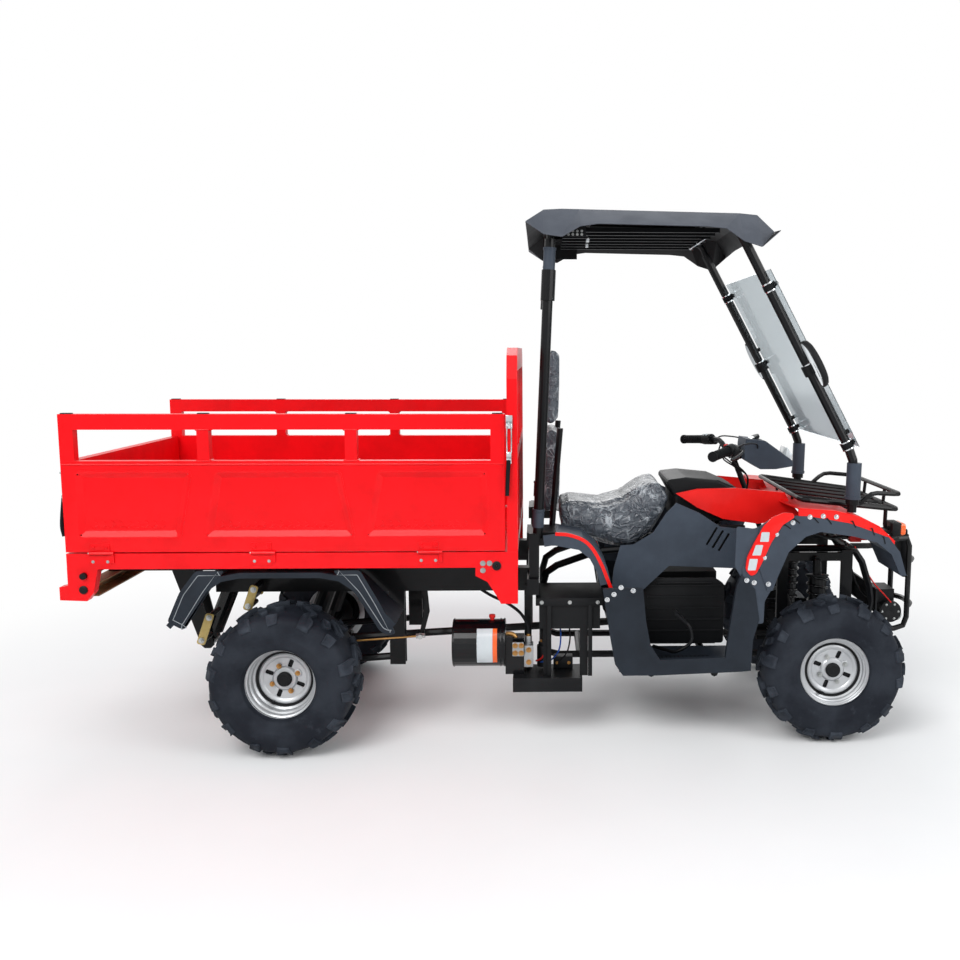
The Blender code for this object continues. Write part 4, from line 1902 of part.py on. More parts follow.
def headboard():
    """The hoop at the front of the bed, with a panel below and bars above."""
    low = BASE_RAIL_TOP_Z + GAP
    corner = HEADBOARD_CORNER
    outline = rounded(
        (
            (-BED_HALF_WIDTH, low, 0),
            (-BED_HALF_WIDTH, HEADBOARD_TOP_Z, 0),
            (BED_HALF_WIDTH, HEADBOARD_TOP_Z, 0),
            (BED_HALF_WIDTH, low, 0),
        ),
        corner,
    )
    flat = [(point.x, point.y) for point in outline]
    board = plate(flat, "X", BED_FRONT_X - HEADBOARD_THICKNESS, BED_FRONT_X)
    cutters = []
    inside = BED_HALF_WIDTH - HEADBOARD_POST
    pitch = (2 * inside + HEADBOARD_BAR) / (HEADBOARD_BARS + 1)
    for index in range(HEADBOARD_BARS + 1):
        start = -inside + index * pitch
        cutters.append(
            box(
                (BED_FRONT_X - HEADBOARD_THICKNESS - OVERCUT, start, HEADBOARD_PANEL_TOP_Z + HEADBOARD_BAR),
                (
                    BED_FRONT_X + OVERCUT,
                    start + pitch - HEADBOARD_BAR,
                    HEADBOARD_TOP_Z - HEADBOARD_POST - corner / 3,
                ),
            )
        )
        cutters.append(
            box(
                (BED_FRONT_X - HEADBOARD_RECESS, start, low + HEADBOARD_BAR),
                (BED_FRONT_X + OVERCUT, start + pitch - HEADBOARD_BAR, HEADBOARD_PANEL_TOP_Z),
            )
        )
    finish(cut(board, cutters), "headboard", RED_PAINT)


def drop_side(side, label):
    """A side of the bed: pressed panel, posts and rail, hinged along its foot."""
    outer = side * BED_HALF_WIDTH
    inner = side * (BED_HALF_WIDTH - SIDE_THICKNESS)
    front = BED_FRONT_X - HEADBOARD_THICKNESS - SIDE_FRONT_CLEARANCE
    length = front - BED_REAR_X
    low = SIDE_BOTTOM_Z
    pieces = [box((BED_REAR_X, inner, low), (front, outer, SIDE_TOP_Z))]
    for share in HINGE_X_SHARES:
        x = BED_REAR_X + share * (BED_FRONT_X - BED_REAR_X)
        axis_y = side * (BED_HALF_WIDTH + HINGE_OFFSET)
        pieces.append(
            rod(
                (x - HINGE_LENGTH / 2, axis_y, HINGE_Z),
                (x + HINGE_LENGTH / 2, axis_y, HINGE_Z),
                HINGE_BARREL_RADIUS,
            )
        )
        leaf_half = HINGE_LENGTH / 2 - SHEET_DROP
        pieces.append(
            box(
                (x - leaf_half, outer - side * HINGE_LEAF / 3, HINGE_Z),
                (x + leaf_half, outer + side * HINGE_LEAF, HINGE_Z + HINGE_LEAF_HEIGHT),
            )
        )
    panel = joined(pieces)
    cutters = []
    posts = [BED_REAR_X + SIDE_POST_WIDTH]
    for x in SIDE_MID_POST_X:
        posts += [x - SIDE_MID_POST_WIDTH / 2, x + SIDE_MID_POST_WIDTH / 2]
    posts.append(front - SIDE_POST_WIDTH)
    for start, end in zip(posts[::2], posts[1::2]):
        cutters.append(
            box(
                (start, inner - side * OVERCUT, SIDE_PANEL_TOP_Z),
                (end, outer + side * OVERCUT, SIDE_TOP_Z - SIDE_RAIL_HEIGHT),
            )
        )
    for top_start, top_end, low_start, low_end in SIDE_RECESS_SHARES:
        outline = (
            (BED_REAR_X + low_start * length, SIDE_RECESS_BOTTOM_Z),
            (BED_REAR_X + low_end * length, SIDE_RECESS_BOTTOM_Z),
            (BED_REAR_X + top_end * length, SIDE_RECESS_TOP_Z),
            (BED_REAR_X + top_start * length, SIDE_RECESS_TOP_Z),
        )
        cutters.append(plate(outline, "Y", outer - side * SIDE_RECESS_DEPTH, outer + side * OVERCUT))
    pivot = (BED_REAR_X, side * (BED_HALF_WIDTH + HINGE_OFFSET), HINGE_Z)
    finish(cut(panel, cutters), f"drop_side_{label}", RED_PAINT)
    move_origin(f"drop_side_{label}", pivot)


def move_origin(name, pivot):
    """Put an object's origin at a point without moving its shape or its cutters."""
    obj = bpy.data.objects[name]
    obj.data.transform(Matrix.Translation(-Vector(pivot)))
    obj.location = pivot


def tailgate():
    """The gate at the tail, hinged along its foot."""
    half = BED_HALF_WIDTH - SIDE_THICKNESS - TAILGATE_SIDE_CLEARANCE
    axis_x = BED_REAR_X - HINGE_OFFSET
    corner = (BED_REAR_X + TAILGATE_THICKNESS, half, TAILGATE_TOP_Z)
    pieces = [box((BED_REAR_X, -half, SIDE_BOTTOM_Z), corner)]
    for share in TAILGATE_HINGE_SHARES:
        y = share * half
        barrel_end = (axis_x, y + HINGE_LENGTH / 2, HINGE_Z)
        pieces.append(rod((axis_x, y - HINGE_LENGTH / 2, HINGE_Z), barrel_end, HINGE_BARREL_RADIUS))
        leaf_half = HINGE_LENGTH / 2 - SHEET_DROP
        pieces.append(
            box(
                (BED_REAR_X - HINGE_LEAF, y - leaf_half, HINGE_Z),
                (BED_REAR_X + HINGE_LEAF / 3, y + leaf_half, HINGE_Z + HINGE_LEAF_HEIGHT),
            )
        )
    gate = joined(pieces)
    finish(gate, "tailgate", RED_PAINT, (axis_x, 0, HINGE_Z))


def ram_line():
    """The base pin, the rod's eye and the unit vector between them."""
    base = Vector((RAM_BASE_X, 0, RAM_BASE_Z))
    eye = Vector((RAM_EYE_X, 0, RAM_EYE_Z))
    return base, eye, (eye - base).normalized()


def cylinder_barrel():
    """The tipping cylinder's barrel, hung on the pin between the frame's lugs."""
    base, eye, along = ram_line()
    length = (eye - base).length
    mouth = base + along * length * RAM_BARREL_SHARE
    half = RAM_BASE_HALF_WIDTH
    pieces = [
        rod(base + along * RAM_BARREL_START, mouth, RAM_BARREL_RADIUS, ROUND_SEGMENTS),
        rod(base, base + along * RAM_BORE_START, RAM_NECK_RADIUS),
        rod(base + Vector((0, -half, 0)), base + Vector((0, half, 0)), RAM_EYE_RADIUS, ROUND_SEGMENTS),
    ]
    barrel = joined(pieces)
    hole_radius = RAM_PIN_RADIUS + PIN_CLEARANCE
    pin_hole = across_bar(RAM_BASE_X, RAM_BASE_Z, half + OVERCUT, hole_radius, ROUND_SEGMENTS)
    bore = rod(base + along * RAM_BORE_START, mouth + along * OVERCUT, RAM_BORE_RADIUS, ROUND_SEGMENTS)
    finish(cut(barrel, [pin_hole, bore]), "cylinder_barrel", BLACK_STEEL)
    move_origin("cylinder_barrel", base)


def cylinder_rod():
    """The cylinder's rod, with the eye that pushes the bed."""
    base, eye, along = ram_line()
    half = RAM_EYE_WIDTH / 2
    pieces = [
        rod(base + along * RAM_ROD_START, eye, RAM_ROD_RADIUS, ROUND_SEGMENTS),
        rod(eye + Vector((0, -half, 0)), eye + Vector((0, half, 0)), RAM_EYE_RADIUS, ROUND_SEGMENTS),
    ]
    finish(joined(pieces), "cylinder_rod", CHROME)
    move_origin("cylinder_rod", eye)


def build():
    """Make every sub-part."""
    wheels()
    chassis_frame()
    front_cradle()
    rear_crossmember()
    rear_axle()
    engine_block()
    handlebar()
    headlamp_pod()
    front_fairing()
    tank_cover()
    seat()
    canopy_frame()
    canopy_roof()
    backrest_pad("backrest_lower", LOWER_PAD_Z, LOWER_PAD_THICKNESS, LOWER_PAD_BEVEL)
    backrest_pad("backrest_upper", UPPER_PAD_Z, UPPER_PAD_THICKNESS, UPPER_PAD_BEVEL)
    windshield()
    front_rack()
    front_bumper()
    winch()
    power_pack()
    power_pack_tray()
    battery_box()
    bed_frame()
    bed_floor()
    headboard()
    tailgate()
    cylinder_barrel()
    cylinder_rod()
    for side, label in SIDES:
        front_suspension(side, label)
        knuckle(side, label)
        tie_rod(side, label)
        footboard(side, label)
        side_cover(side, label)
        rear_fender(side, label)
        front_fender(side, label)
        mirror(side, label)
        turn_signal(side, label)
        rear_mudguard(side, label)
        drop_side(side, label)


clear_scene()
PARTS = new_collection("quad_bike")
CUTTERS = new_collection("quad_bike_cutters")
build()
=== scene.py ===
"""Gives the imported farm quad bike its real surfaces, its soft goods and its small pieces."""

import logging
import math
from dataclasses import dataclass
from enum import Enum
from functools import lru_cache

import bmesh
import bpy
from mathutils import Matrix, Vector
from mathutils.noise import noise


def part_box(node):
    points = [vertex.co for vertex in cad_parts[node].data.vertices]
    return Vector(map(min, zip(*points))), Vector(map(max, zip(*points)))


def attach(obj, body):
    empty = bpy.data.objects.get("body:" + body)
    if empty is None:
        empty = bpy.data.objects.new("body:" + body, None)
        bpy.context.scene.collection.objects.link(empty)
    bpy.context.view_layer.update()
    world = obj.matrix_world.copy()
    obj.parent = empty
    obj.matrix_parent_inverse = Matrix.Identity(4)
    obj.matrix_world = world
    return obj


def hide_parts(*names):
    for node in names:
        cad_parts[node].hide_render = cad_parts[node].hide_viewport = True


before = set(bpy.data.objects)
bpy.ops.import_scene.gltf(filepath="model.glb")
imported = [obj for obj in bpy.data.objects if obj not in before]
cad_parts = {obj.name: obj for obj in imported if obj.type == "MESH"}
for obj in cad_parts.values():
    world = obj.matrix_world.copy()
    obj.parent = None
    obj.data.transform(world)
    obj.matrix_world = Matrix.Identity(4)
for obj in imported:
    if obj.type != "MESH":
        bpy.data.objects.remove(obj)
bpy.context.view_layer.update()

SIDES = ((-1, "right"), (1, "left"))
FRONT_AXLE_X = 1.188
REAR_AXLE_X = -0.862
AXLE_Z = 0.2795
BED_SIDE_Y = 0.549
BED_REAR_X = -1.614
log = logging.getLogger("quad_bike")


class Surface(Enum):
    """How a surface was made, which decides its pattern."""

    POWDER_COAT = "powder coat"
    MOULDED = "moulded plastic"
    RUBBER = "vulcanised rubber"
    BRUSHED = "rolled or brushed metal"
    CAST = "cast metal"
    PLATED = "bright plating"
    WRAPPED = "vinyl under a clear film"
    CLEAR = "clear sheet"
    LENS = "moulded lens"
    PRIMED = "primed steel"


@dataclass(frozen=True)
class Finish:
    """A real material: its colours, its gloss and the size of its grain in metres.

    Args:
        name: the material's common name.
        colour: its sRGB hex colour.
        shade: the second tone that its patches drift towards; for the wrapped film, the pale tone of its
            painted crease highlights.
        surface: how it was made.
        roughness: how far its gloss spreads.
        metallic: 1 for bare metal.
        coat: how much clear gloss lies over it.
        grain: the size of its finest pattern.
        relief: how strongly the grain stands out.
    """

    name: str
    colour: str
    shade: str
    surface: Surface
    roughness: float
    metallic: float = 0.0
    coat: float = 0.0
    grain: float = 0.002
    relief: float = 0.1


# Gloss red powder coat: a deep even red whose faint orange peel breaks up the reflections.
RED_COAT = Finish("red_powder_coat", "#E80813", "#D8060F", Surface.POWDER_COAT, 0.34, 0.0, 0.12, 0.006, 0.05)
# Dyed ABS of the hood: a little warmer and shinier than the steel.
RED_ABS = Finish("red_moulded_abs", "#E81E1A", "#DA1512", Surface.MOULDED, 0.3, 0.0, 0.15, 0.004, 0.04)
# Textured polypropylene of fenders and footboards: blue-grey, with a soft sheen.
GREY_PP = Finish("grey_polypropylene", "#3D4550", "#353C46", Surface.MOULDED, 0.46, 0.0, 0.0, 0.0022, 0.22)
# Thicker grey cap of the roof: a slightly paler grey than the fenders.
ROOF_PP = Finish("roof_polyethylene", "#52565E", "#474B53", Surface.MOULDED, 0.5, 0.0, 0.0, 0.003, 0.25)
# Black ABS of the tank cover and boxes: near black with a fine grain.
BLACK_ABS = Finish("black_moulded_abs", "#111214", "#0B0C0E", Surface.MOULDED, 0.5, 0.0, 0.0, 0.0018, 0.25)
# Satin black powder coat of the tubes: long soft highlights.
BLACK_COAT = Finish(
    "black_powder_coat", "#0C0D10", "#070809", Surface.POWDER_COAT, 0.38, 0.0, 0.1, 0.004, 0.08
)
# Cast and plated black of knuckles, rods and brackets: duller, slightly rough.
BLACK_CAST = Finish("black_cast_steel", "#0E0F11", "#1A1B1D", Surface.CAST, 0.45, 0.3, 0.0, 0.003, 0.3)
# Heavier satin coat of the bumper.
SATIN_BLACK = Finish(
    "satin_black_coat", "#0C0D0E", "#121314", Surface.POWDER_COAT, 0.4, 0.0, 0.3, 0.005, 0.08
)
# Darker polypropylene of flaps, boards and mirror backs.
DARK_PP = Finish("dark_polypropylene", "#20262E", "#191E25", Surface.MOULDED, 0.5, 0.0, 0.0, 0.002, 0.25)
# Gloss black enamel of the oil tank.
BLACK_ENAMEL = Finish("black_enamel", "#0A0B0E", "#060709", Surface.POWDER_COAT, 0.25, 0.0, 0.3, 0.008, 0.04)
# Silver wheel enamel: fine flakes, an even pale grey.
SILVER_ENAMEL = Finish(
    "silver_wheel_enamel", "#B9BBBD", "#A7A9AC", Surface.POWDER_COAT, 0.36, 0.55, 0.2, 0.003, 0.08
)
# Tyre rubber: blue-black, dusty in patches, dull.
TYRE = Finish("tyre_rubber", "#1A1D24", "#2A2E35", Surface.RUBBER, 0.62, 0.0, 0.0, 0.004, 0.35)
# Lugs: the same rubber, a little paler than the carcass.
LUG = Finish("paler_lug_rubber", "#20242B", "#3A3F47", Surface.RUBBER, 0.66, 0.0, 0.0, 0.005, 0.4)
# Soft black rubber of grips, pads and hoses.
SOFT_RUBBER = Finish("soft_black_rubber", "#101113", "#1A1B1D", Surface.RUBBER, 0.62, 0.0, 0.0, 0.003, 0.25)
# Dark vinyl in its wrinkled packing film over dark grey: its pale second tone is a painted highlight laid
# along the creases, and its sharp glints come from its gloss.
WRAPPED_VINYL = Finish(
    "film_wrapped_vinyl_painted_highlights", "#4A5058", "#A3AAB0", Surface.WRAPPED, 0.34, 0.0, 0.25, 0.03, 0.8
)
# Polycarbonate windshield: clear, a faint grey-blue.
POLYCARBONATE = Finish("clear_polycarbonate", "#CFD8DC", "#C4CED3", Surface.CLEAR, 0.05)
# Zinc plating: pale, slightly mottled.
ZINC = Finish("zinc_plated_steel", "#B4B6B5", "#8E9190", Surface.BRUSHED, 0.34, 0.9, 0.0, 0.003, 0.15)
# Bright chrome of latches, straps and clamps.
CHROME = Finish("bright_chrome", "#D6D8DA", "#C2C5C8", Surface.PLATED, 0.12, 1.0, 0.0, 0.01, 0.02)
# Yellow zinc chromate: brassy plates with a rainbow drift.
YELLOW_ZINC = Finish("yellow_zinc_plate", "#B7A26B", "#94804A", Surface.BRUSHED, 0.42, 0.8, 0.0, 0.003, 0.2)
# Brass fittings and lug nuts.
BRASS = Finish("brass_fitting", "#B48A55", "#96703F", Surface.CAST, 0.35, 0.9, 0.0, 0.003, 0.15)
# Brown primed channel at the tail, with paler specks and patches.
PRIMED = Finish("brown_primed_steel", "#8A6B4A", "#B79A72", Surface.PRIMED, 0.6, 0.3, 0.0, 0.006, 0.3)
# Sand-cast aluminium of the manifold.
ALUMINIUM = Finish("cast_aluminium", "#A9ABAD", "#8B8E90", Surface.CAST, 0.42, 0.85, 0.0, 0.003, 0.3)
# Engine paint: a matt charcoal under oil mist.
ENGINE_COAT = Finish("charcoal_engine_coat", "#131416", "#0C0D0E", Surface.CAST, 0.55, 0.2, 0.0, 0.005, 0.4)
# Red, blue and black wire insulation: smooth and slightly shiny.
RED_PVC = Finish("red_wire_pvc", "#C8201C", "#A81815", Surface.MOULDED, 0.4, 0.0, 0.0, 0.002, 0.05)
BLUE_PVC = Finish("blue_wire_pvc", "#1F4FA8", "#183F88", Surface.MOULDED, 0.4, 0.0, 0.0, 0.002, 0.05)
BLACK_PVC = Finish("black_wire_pvc", "#141416", "#1E1E20", Surface.MOULDED, 0.45, 0.0, 0.0, 0.002, 0.05)
# Amber lens: clear orange acrylic with moulded flutes.
AMBER = Finish("amber_acrylic_lens", "#F26A1B", "#D9530C", Surface.LENS, 0.12, 0.0, 0.5, 0.006, 0.4)
# Headlamp lens: pale clear acrylic.
WHITE_LENS = Finish("clear_acrylic_lens", "#D9DEE0", "#C2C8CB", Surface.LENS, 0.08, 0.0, 0.6, 0.008, 0.3)
# Pale moulded border line of the mud flaps.
STITCH = Finish("pale_flap_line", "#8F9498", "#7A7F83", Surface.MOULDED, 0.5, 0.0, 0.0, 0.002, 0.1)
# Blank label stock: pale grey paper under gloss film.
LABEL = Finish("blank_label_film", "#C3C9CC", "#B4BBBF", Surface.MOULDED, 0.3, 0.0, 0.4, 0.003, 0.05)
ORANGE_BAND = Finish("orange_label_band", "#E9622A", "#DC5320", Surface.MOULDED, 0.3, 0.0, 0.4, 0.003, 0.05)
# Mirror glass: silvered, nearly perfect.
MIRROR_GLASS = Finish(
    "silvered_mirror_glass", "#E4E8EA", "#DCE0E2", Surface.PLATED, 0.03, 1.0, 0.0, 0.02, 0.0
)


def linear(code: str) -> tuple[float, float, float, float]:
    """Turn an sRGB hex colour to linear light.

    Args:
        code: the colour, as #RRGGBB.

    Returns:
        The linear red, green, blue and a full alpha.
    """
    parts = [int(code[place : place + 2], 16) / 255 for place in (1, 3, 5)]
    red, green, blue = [
        part / 12.92 if part <= 0.04045 else ((part + 0.055) / 1.055) ** 2.4
        for part in parts
    ]
    return red, green, blue, 1.0


def add_node(
    tree: bpy.types.NodeTree, kind: str, settings: dict | None = None, links: dict | None = None
) -> bpy.types.Node:
    """Add a node to a tree with its settings and links.

    Args:
        tree: the shader or geometry tree.
        kind: the node's type name.
        settings: properties by name, and socket values by name or number.
        links: output sockets by the name or number of the input that each feeds.

    Returns:
        The new node.
    """
    made = tree.nodes.new(kind)
    for key, value in (settings or {}).items():
        if isinstance(key, str) and key in made.bl_rna.properties:
            setattr(made, key, value)
        else:
            made.inputs[key].default_value = value
    for key, output in (links or {}).items():
        tree.links.new(output, made.inputs[key])
    return made


def add_ramp(
    tree: bpy.types.NodeTree, source: bpy.types.NodeSocket, low: float, high: float
) -> bpy.types.NodeSocket:
    """Stretch the part of a pattern between two values over 0 to 1, smoothly.

    Args:
        tree: the shader tree.
        source: the pattern.
        low: the value that becomes 0.
        high: the value that becomes 1.

    Returns:
        The stretched pattern.
    """
    settings = {"interpolation_type": "SMOOTHSTEP", "From Min": low, "From Max": high}
    return add_node(tree, "ShaderNodeMapRange", settings, {"Value": source}).outputs[0]


# Dusty rubber and grained plastics give back less light than a polished skin of the same index.
SPECULAR = {Surface.RUBBER: 0.10, Surface.MOULDED: 0.18, Surface.POWDER_COAT: 0.14, Surface.CAST: 0.25}


@lru_cache(maxsize=None)
def material_of(finish: Finish) -> bpy.types.Material:
    """Make a finish's material once, with a pattern that suits how it was made.

    Args:
        finish: the finish.

    Returns:
        The material.
    """
    material = bpy.data.materials.new(finish.name)
    material.use_nodes = True
    tree = material.node_tree
    shader = tree.nodes["Principled BSDF"]
    shader.inputs["Base Color"].default_value = linear(finish.colour)
    shader.inputs["Roughness"].default_value = finish.roughness
    shader.inputs["Metallic"].default_value = finish.metallic
    shader.inputs["Coat Weight"].default_value = finish.coat
    shader.inputs["Coat Roughness"].default_value = 0.08
    shader.inputs["Specular IOR Level"].default_value = SPECULAR.get(finish.surface, 0.5)
    place = add_node(tree, "ShaderNodeTexCoord").outputs["Object"]
    fine = 1 / finish.grain
    if finish.surface is Surface.CLEAR:
        shader.inputs["Transmission Weight"].default_value = 0.9
        shader.inputs["IOR"].default_value = 1.12
        haze = add_node(
            tree, "ShaderNodeTexNoise", {"Scale": 3.0, "Detail": 3.0}, {"Vector": place}
        ).outputs[0]
        low, high = finish.roughness, finish.roughness + 0.06
        spread = add_node(tree, "ShaderNodeMapRange", {"To Min": low, "To Max": high}, {"Value": haze})
        tree.links.new(spread.outputs[0], shader.inputs["Roughness"])
        return material
    if finish.surface is Surface.WRAPPED:
        return wrapped_film(material, finish, place)
    patches = add_node(
        tree, "ShaderNodeTexNoise", {"Scale": 7.0, "Detail": 5.0, "Roughness": 0.6}, {"Vector": place}
    )
    drift = add_ramp(tree, patches.outputs[0], 0.35, 0.7)
    pattern_kind = {Surface.MOULDED: "ShaderNodeTexVoronoi", Surface.LENS: "ShaderNodeTexVoronoi"}
    stretch = (1.0, 1.0, 12.0) if finish.surface is Surface.BRUSHED else (1.0, 1.0, 1.0)
    turned = add_node(tree, "ShaderNodeMapping", {"Scale": stretch}, {"Vector": place}).outputs[0]
    kind = pattern_kind.get(finish.surface, "ShaderNodeTexNoise")
    settings = {"Scale": fine} if kind == "ShaderNodeTexVoronoi" else {"Scale": fine, "Detail": 4.0}
    grain = add_node(tree, kind, settings, {"Vector": turned}).outputs[0]
    if finish.surface in (Surface.RUBBER, Surface.PRIMED):
        dust = add_node(
            tree, "ShaderNodeTexNoise", {"Scale": 28.0, "Detail": 8.0, "Roughness": 0.7}, {"Vector": place}
        )
        speck = add_ramp(tree, dust.outputs[0], 0.52, 0.72)
        drift = add_node(tree, "ShaderNodeMath", {"operation": "MAXIMUM"}, {0: drift, 1: speck}).outputs[0]
    tones = {"data_type": "RGBA", 6: linear(finish.colour), 7: linear(finish.shade)}
    colour = add_node(tree, "ShaderNodeMix", tones, {0: drift}).outputs[2]
    tree.links.new(colour, shader.inputs["Base Color"])
    low, high = finish.roughness * 0.9, min(1.0, finish.roughness * 1.15 + 0.02)
    spread = add_node(
        tree, "ShaderNodeMapRange", {"To Min": low, "To Max": high}, {"Value": patches.outputs[0]}
    )
    tree.links.new(spread.outputs[0], shader.inputs["Roughness"])
    bump = add_node(
        tree, "ShaderNodeBump", {"Strength": finish.relief, "Distance": finish.grain / 6}, {"Height": grain}
    )
    tree.links.new(bump.outputs[0], shader.inputs["Normal"])
    return material


def wrapped_film(
    material: bpy.types.Material, finish: Finish, place: bpy.types.NodeSocket
) -> bpy.types.Material:
    """Draw the creases of a packing film over dark vinyl, with a painted highlight laid along them as a pale
    tone.

    Args:
        material: the material to fill.
        finish: its colours and the spacing of its creases.
        place: the coordinates.

    Returns:
        The material.
    """
    tree = material.node_tree
    shader = tree.nodes["Principled BSDF"]
    warp = add_node(tree, "ShaderNodeTexNoise", {"Scale": 6.0, "Detail": 3.0}, {"Vector": place}).outputs[1]
    bent = add_node(
        tree,
        "ShaderNodeVectorMath",
        {"operation": "MULTIPLY_ADD", 1: (0.16, 0.16, 0.16)},
        {0: warp, 2: place},
    )
    creases = []
    for turn, stretch in ((0.5, (1.0, 1.0, 0.30)), (-0.7, (0.35, 1.0, 1.0))):
        settings = {"Rotation": (0.2, turn, 0.3), "Scale": stretch}
        leant = add_node(tree, "ShaderNodeMapping", settings, {"Vector": bent.outputs[0]}).outputs[0]
        settings = {"feature": "DISTANCE_TO_EDGE", "Scale": 1 / finish.grain}
        cells = add_node(tree, "ShaderNodeTexVoronoi", settings, {"Vector": leant}).outputs[0]
        creases.append(
            add_node(
                tree,
                "ShaderNodeMapRange",
                {"From Max": 0.16, "To Min": 1.0, "To Max": 0.0},
                {"Value": cells},
            ).outputs[0]
        )
    ridge = add_node(
        tree, "ShaderNodeMath", {"operation": "MAXIMUM"}, {0: creases[0], 1: creases[1]}
    ).outputs[0]
    # Painted highlight: the pale second tone is laid on the crease ridges wherever this patchy noise lets it
    # through.
    fade = add_node(tree, "ShaderNodeTexNoise", {"Scale": 18.0, "Detail": 4.0}, {"Vector": place}).outputs[0]
    some = add_ramp(tree, fade, 0.42, 0.68)
    lit = add_node(tree, "ShaderNodeMath", {"operation": "MULTIPLY"}, {0: ridge, 1: some}).outputs[0]
    pale = add_ramp(tree, lit, 0.25, 1.1)
    tones = {"data_type": "RGBA", 6: linear(finish.colour), 7: linear(finish.shade)}
    colour = add_node(tree, "ShaderNodeMix", tones, {0: pale}).outputs[2]
    tree.links.new(colour, shader.inputs["Base Color"])
    bump = add_node(tree, "ShaderNodeBump", {"Strength": finish.relief, "Distance": 0.004}, {"Height": ridge})
    tree.links.new(bump.outputs[0], shader.inputs["Normal"])
    return material


def add_box(shape: bmesh.types.BMesh, low: tuple, high: tuple) -> None:
    """Add a box between two corners.

    Args:
        shape: the mesh to add to.
        low: one corner.
        high: the opposite corner.
    """
    corners = [
        shape.verts.new((x, y, z))
        for x in (low[0], high[0])
        for y in (low[1], high[1])
        for z in (low[2], high[2])
    ]
    for loop in ((0, 1, 3, 2), (4, 6, 7, 5), (0, 4, 5, 1), (2, 3, 7, 6), (0, 2, 6, 4), (1, 5, 7, 3)):
        shape.faces.new([corners[index] for index in loop])


def add_loft(shape: bmesh.types.BMesh, rings: list, closed: bool = False) -> None:
    """Skin a list of rings of points, and cap the ends unless the rings close on themselves.

    Args:
        shape: the mesh to add to.
        rings: lists of points, all of one length.
        closed: whether the last ring joins the first.
    """
    made = [[shape.verts.new(point) for point in ring] for ring in rings]
    count = len(made[0])
    pairs = list(zip(made, made[1:])) + ([(made[-1], made[0])] if closed else [])
    for here, there in pairs:
        for index in range(count):
            after = (index + 1) % count
            shape.faces.new((here[index], here[after], there[after], there[index]))
    if not closed:
        shape.faces.new(made[0][::-1])
        shape.faces.new(made[-1])


def add_tube(
    shape: bmesh.types.BMesh,
    points: list,
    radius: float,
    segments: int = 12,
    closed: bool = False,
    end_radius: float | None = None,
) -> None:
    """Add a round tube along a line of points.

    Args:
        shape: the mesh to add to.
        points: the line.
        radius: the tube's radius.
        segments: how many sides it has.
        closed: whether it joins up with its start.
        end_radius: the radius at its far end, if it tapers.
    """
    line = [Vector(point) for point in points]
    last = len(line) - 1
    normal = None
    rings = []
    for index, point in enumerate(line):
        before = line[index - 1] if index or closed else point
        after = line[(index + 1) % len(line)] if index < last or closed else point
        along = (after - before).normalized()
        if normal is None:
            normal = along.orthogonal().normalized()
        normal = (normal - along * normal.dot(along)).normalized()
        across = along.cross(normal)
        size = radius if end_radius is None else radius + (end_radius - radius) * index / last
        turns = [2 * math.pi * step / segments for step in range(segments)]
        rings.append([point + (normal * math.cos(turn) + across * math.sin(turn)) * size for turn in turns])
    add_loft(shape, rings, closed)


def add_turned(shape: bmesh.types.BMesh, profile: list, place: Matrix, segments: int = 48) -> None:
    """Turn a closed outline of (radius, along) points about the local Y axis.

    Args:
        shape: the mesh to add to.
        profile: the outline, all at radii above zero.
        place: where the axis stands.
        segments: how many steps make a turn.
    """
    rings = []
    for step in range(segments):
        turn = 2 * math.pi * step / segments
        rings.append(
            [
                place @ Vector((radius * math.cos(turn), along, radius * math.sin(turn)))
                for radius, along in profile
            ]
        )
    add_loft(shape, rings, closed=True)


def add_prism(shape: bmesh.types.BMesh, outline: list, start: float, end: float) -> None:
    """Add a plate of (x, z) points between two places along Y.

    Args:
        shape: the mesh to add to.
        outline: the points.
        start: where it begins.
        end: where it ends.
    """
    add_loft(shape, [[(x, y, z) for x, z in outline] for y in (start, end)])


def smooth_line(points: list, steps: int = 6) -> list:
    """Run a smooth curve through points.

    Args:
        points: the points.
        steps: how many pieces each stretch gets.

    Returns:
        The finer line.
    """
    line = [Vector(point) for point in points]
    padded = [line[0] * 2 - line[1], *line, line[-1] * 2 - line[-2]]
    made = []
    for index in range(1, len(padded) - 2):
        p0, p1, p2, p3 = padded[index - 1 : index + 3]
        for step in range(steps):
            t = step / steps
            made.append(
                0.5 * (
                    2 * p1
                    + (p2 - p0) * t
                    + (2 * p0 - 5 * p1 + 4 * p2 - p3) * t**2
                    + (3 * p1 - p0 - 3 * p2 + p3) * t**3
                )
            )
    made.append(line[-1])
    return made


def applied(obj: bpy.types.Object) -> bpy.types.Object:
    """Turn an object's evaluated result into its plain mesh.

    Args:
        obj: an object with modifiers.

    Returns:
        The same object without them.
    """
    bpy.context.view_layer.update()
    result = bpy.data.meshes.new_from_object(obj.evaluated_get(bpy.context.evaluated_depsgraph_get()))
    obj.modifiers.clear()
    obj.data = result
    return obj


def make_object(name: str, shape: bmesh.types.BMesh, merge: bool = False) -> bpy.types.Object:
    """Put a mesh in the scene with its faces pointing outwards.

    Args:
        name: the object's name.
        shape: the mesh, which is used up.
        merge: whether points that meet are merged.

    Returns:
        The object.
    """
    if merge:
        bmesh.ops.remove_doubles(shape, verts=shape.verts, dist=1e-5)
    bmesh.ops.recalc_face_normals(shape, faces=shape.faces)
    data = bpy.data.meshes.new(name)
    shape.to_mesh(data)
    shape.free()
    obj = bpy.data.objects.new(name, data)
    bpy.context.scene.collection.objects.link(obj)
    return obj


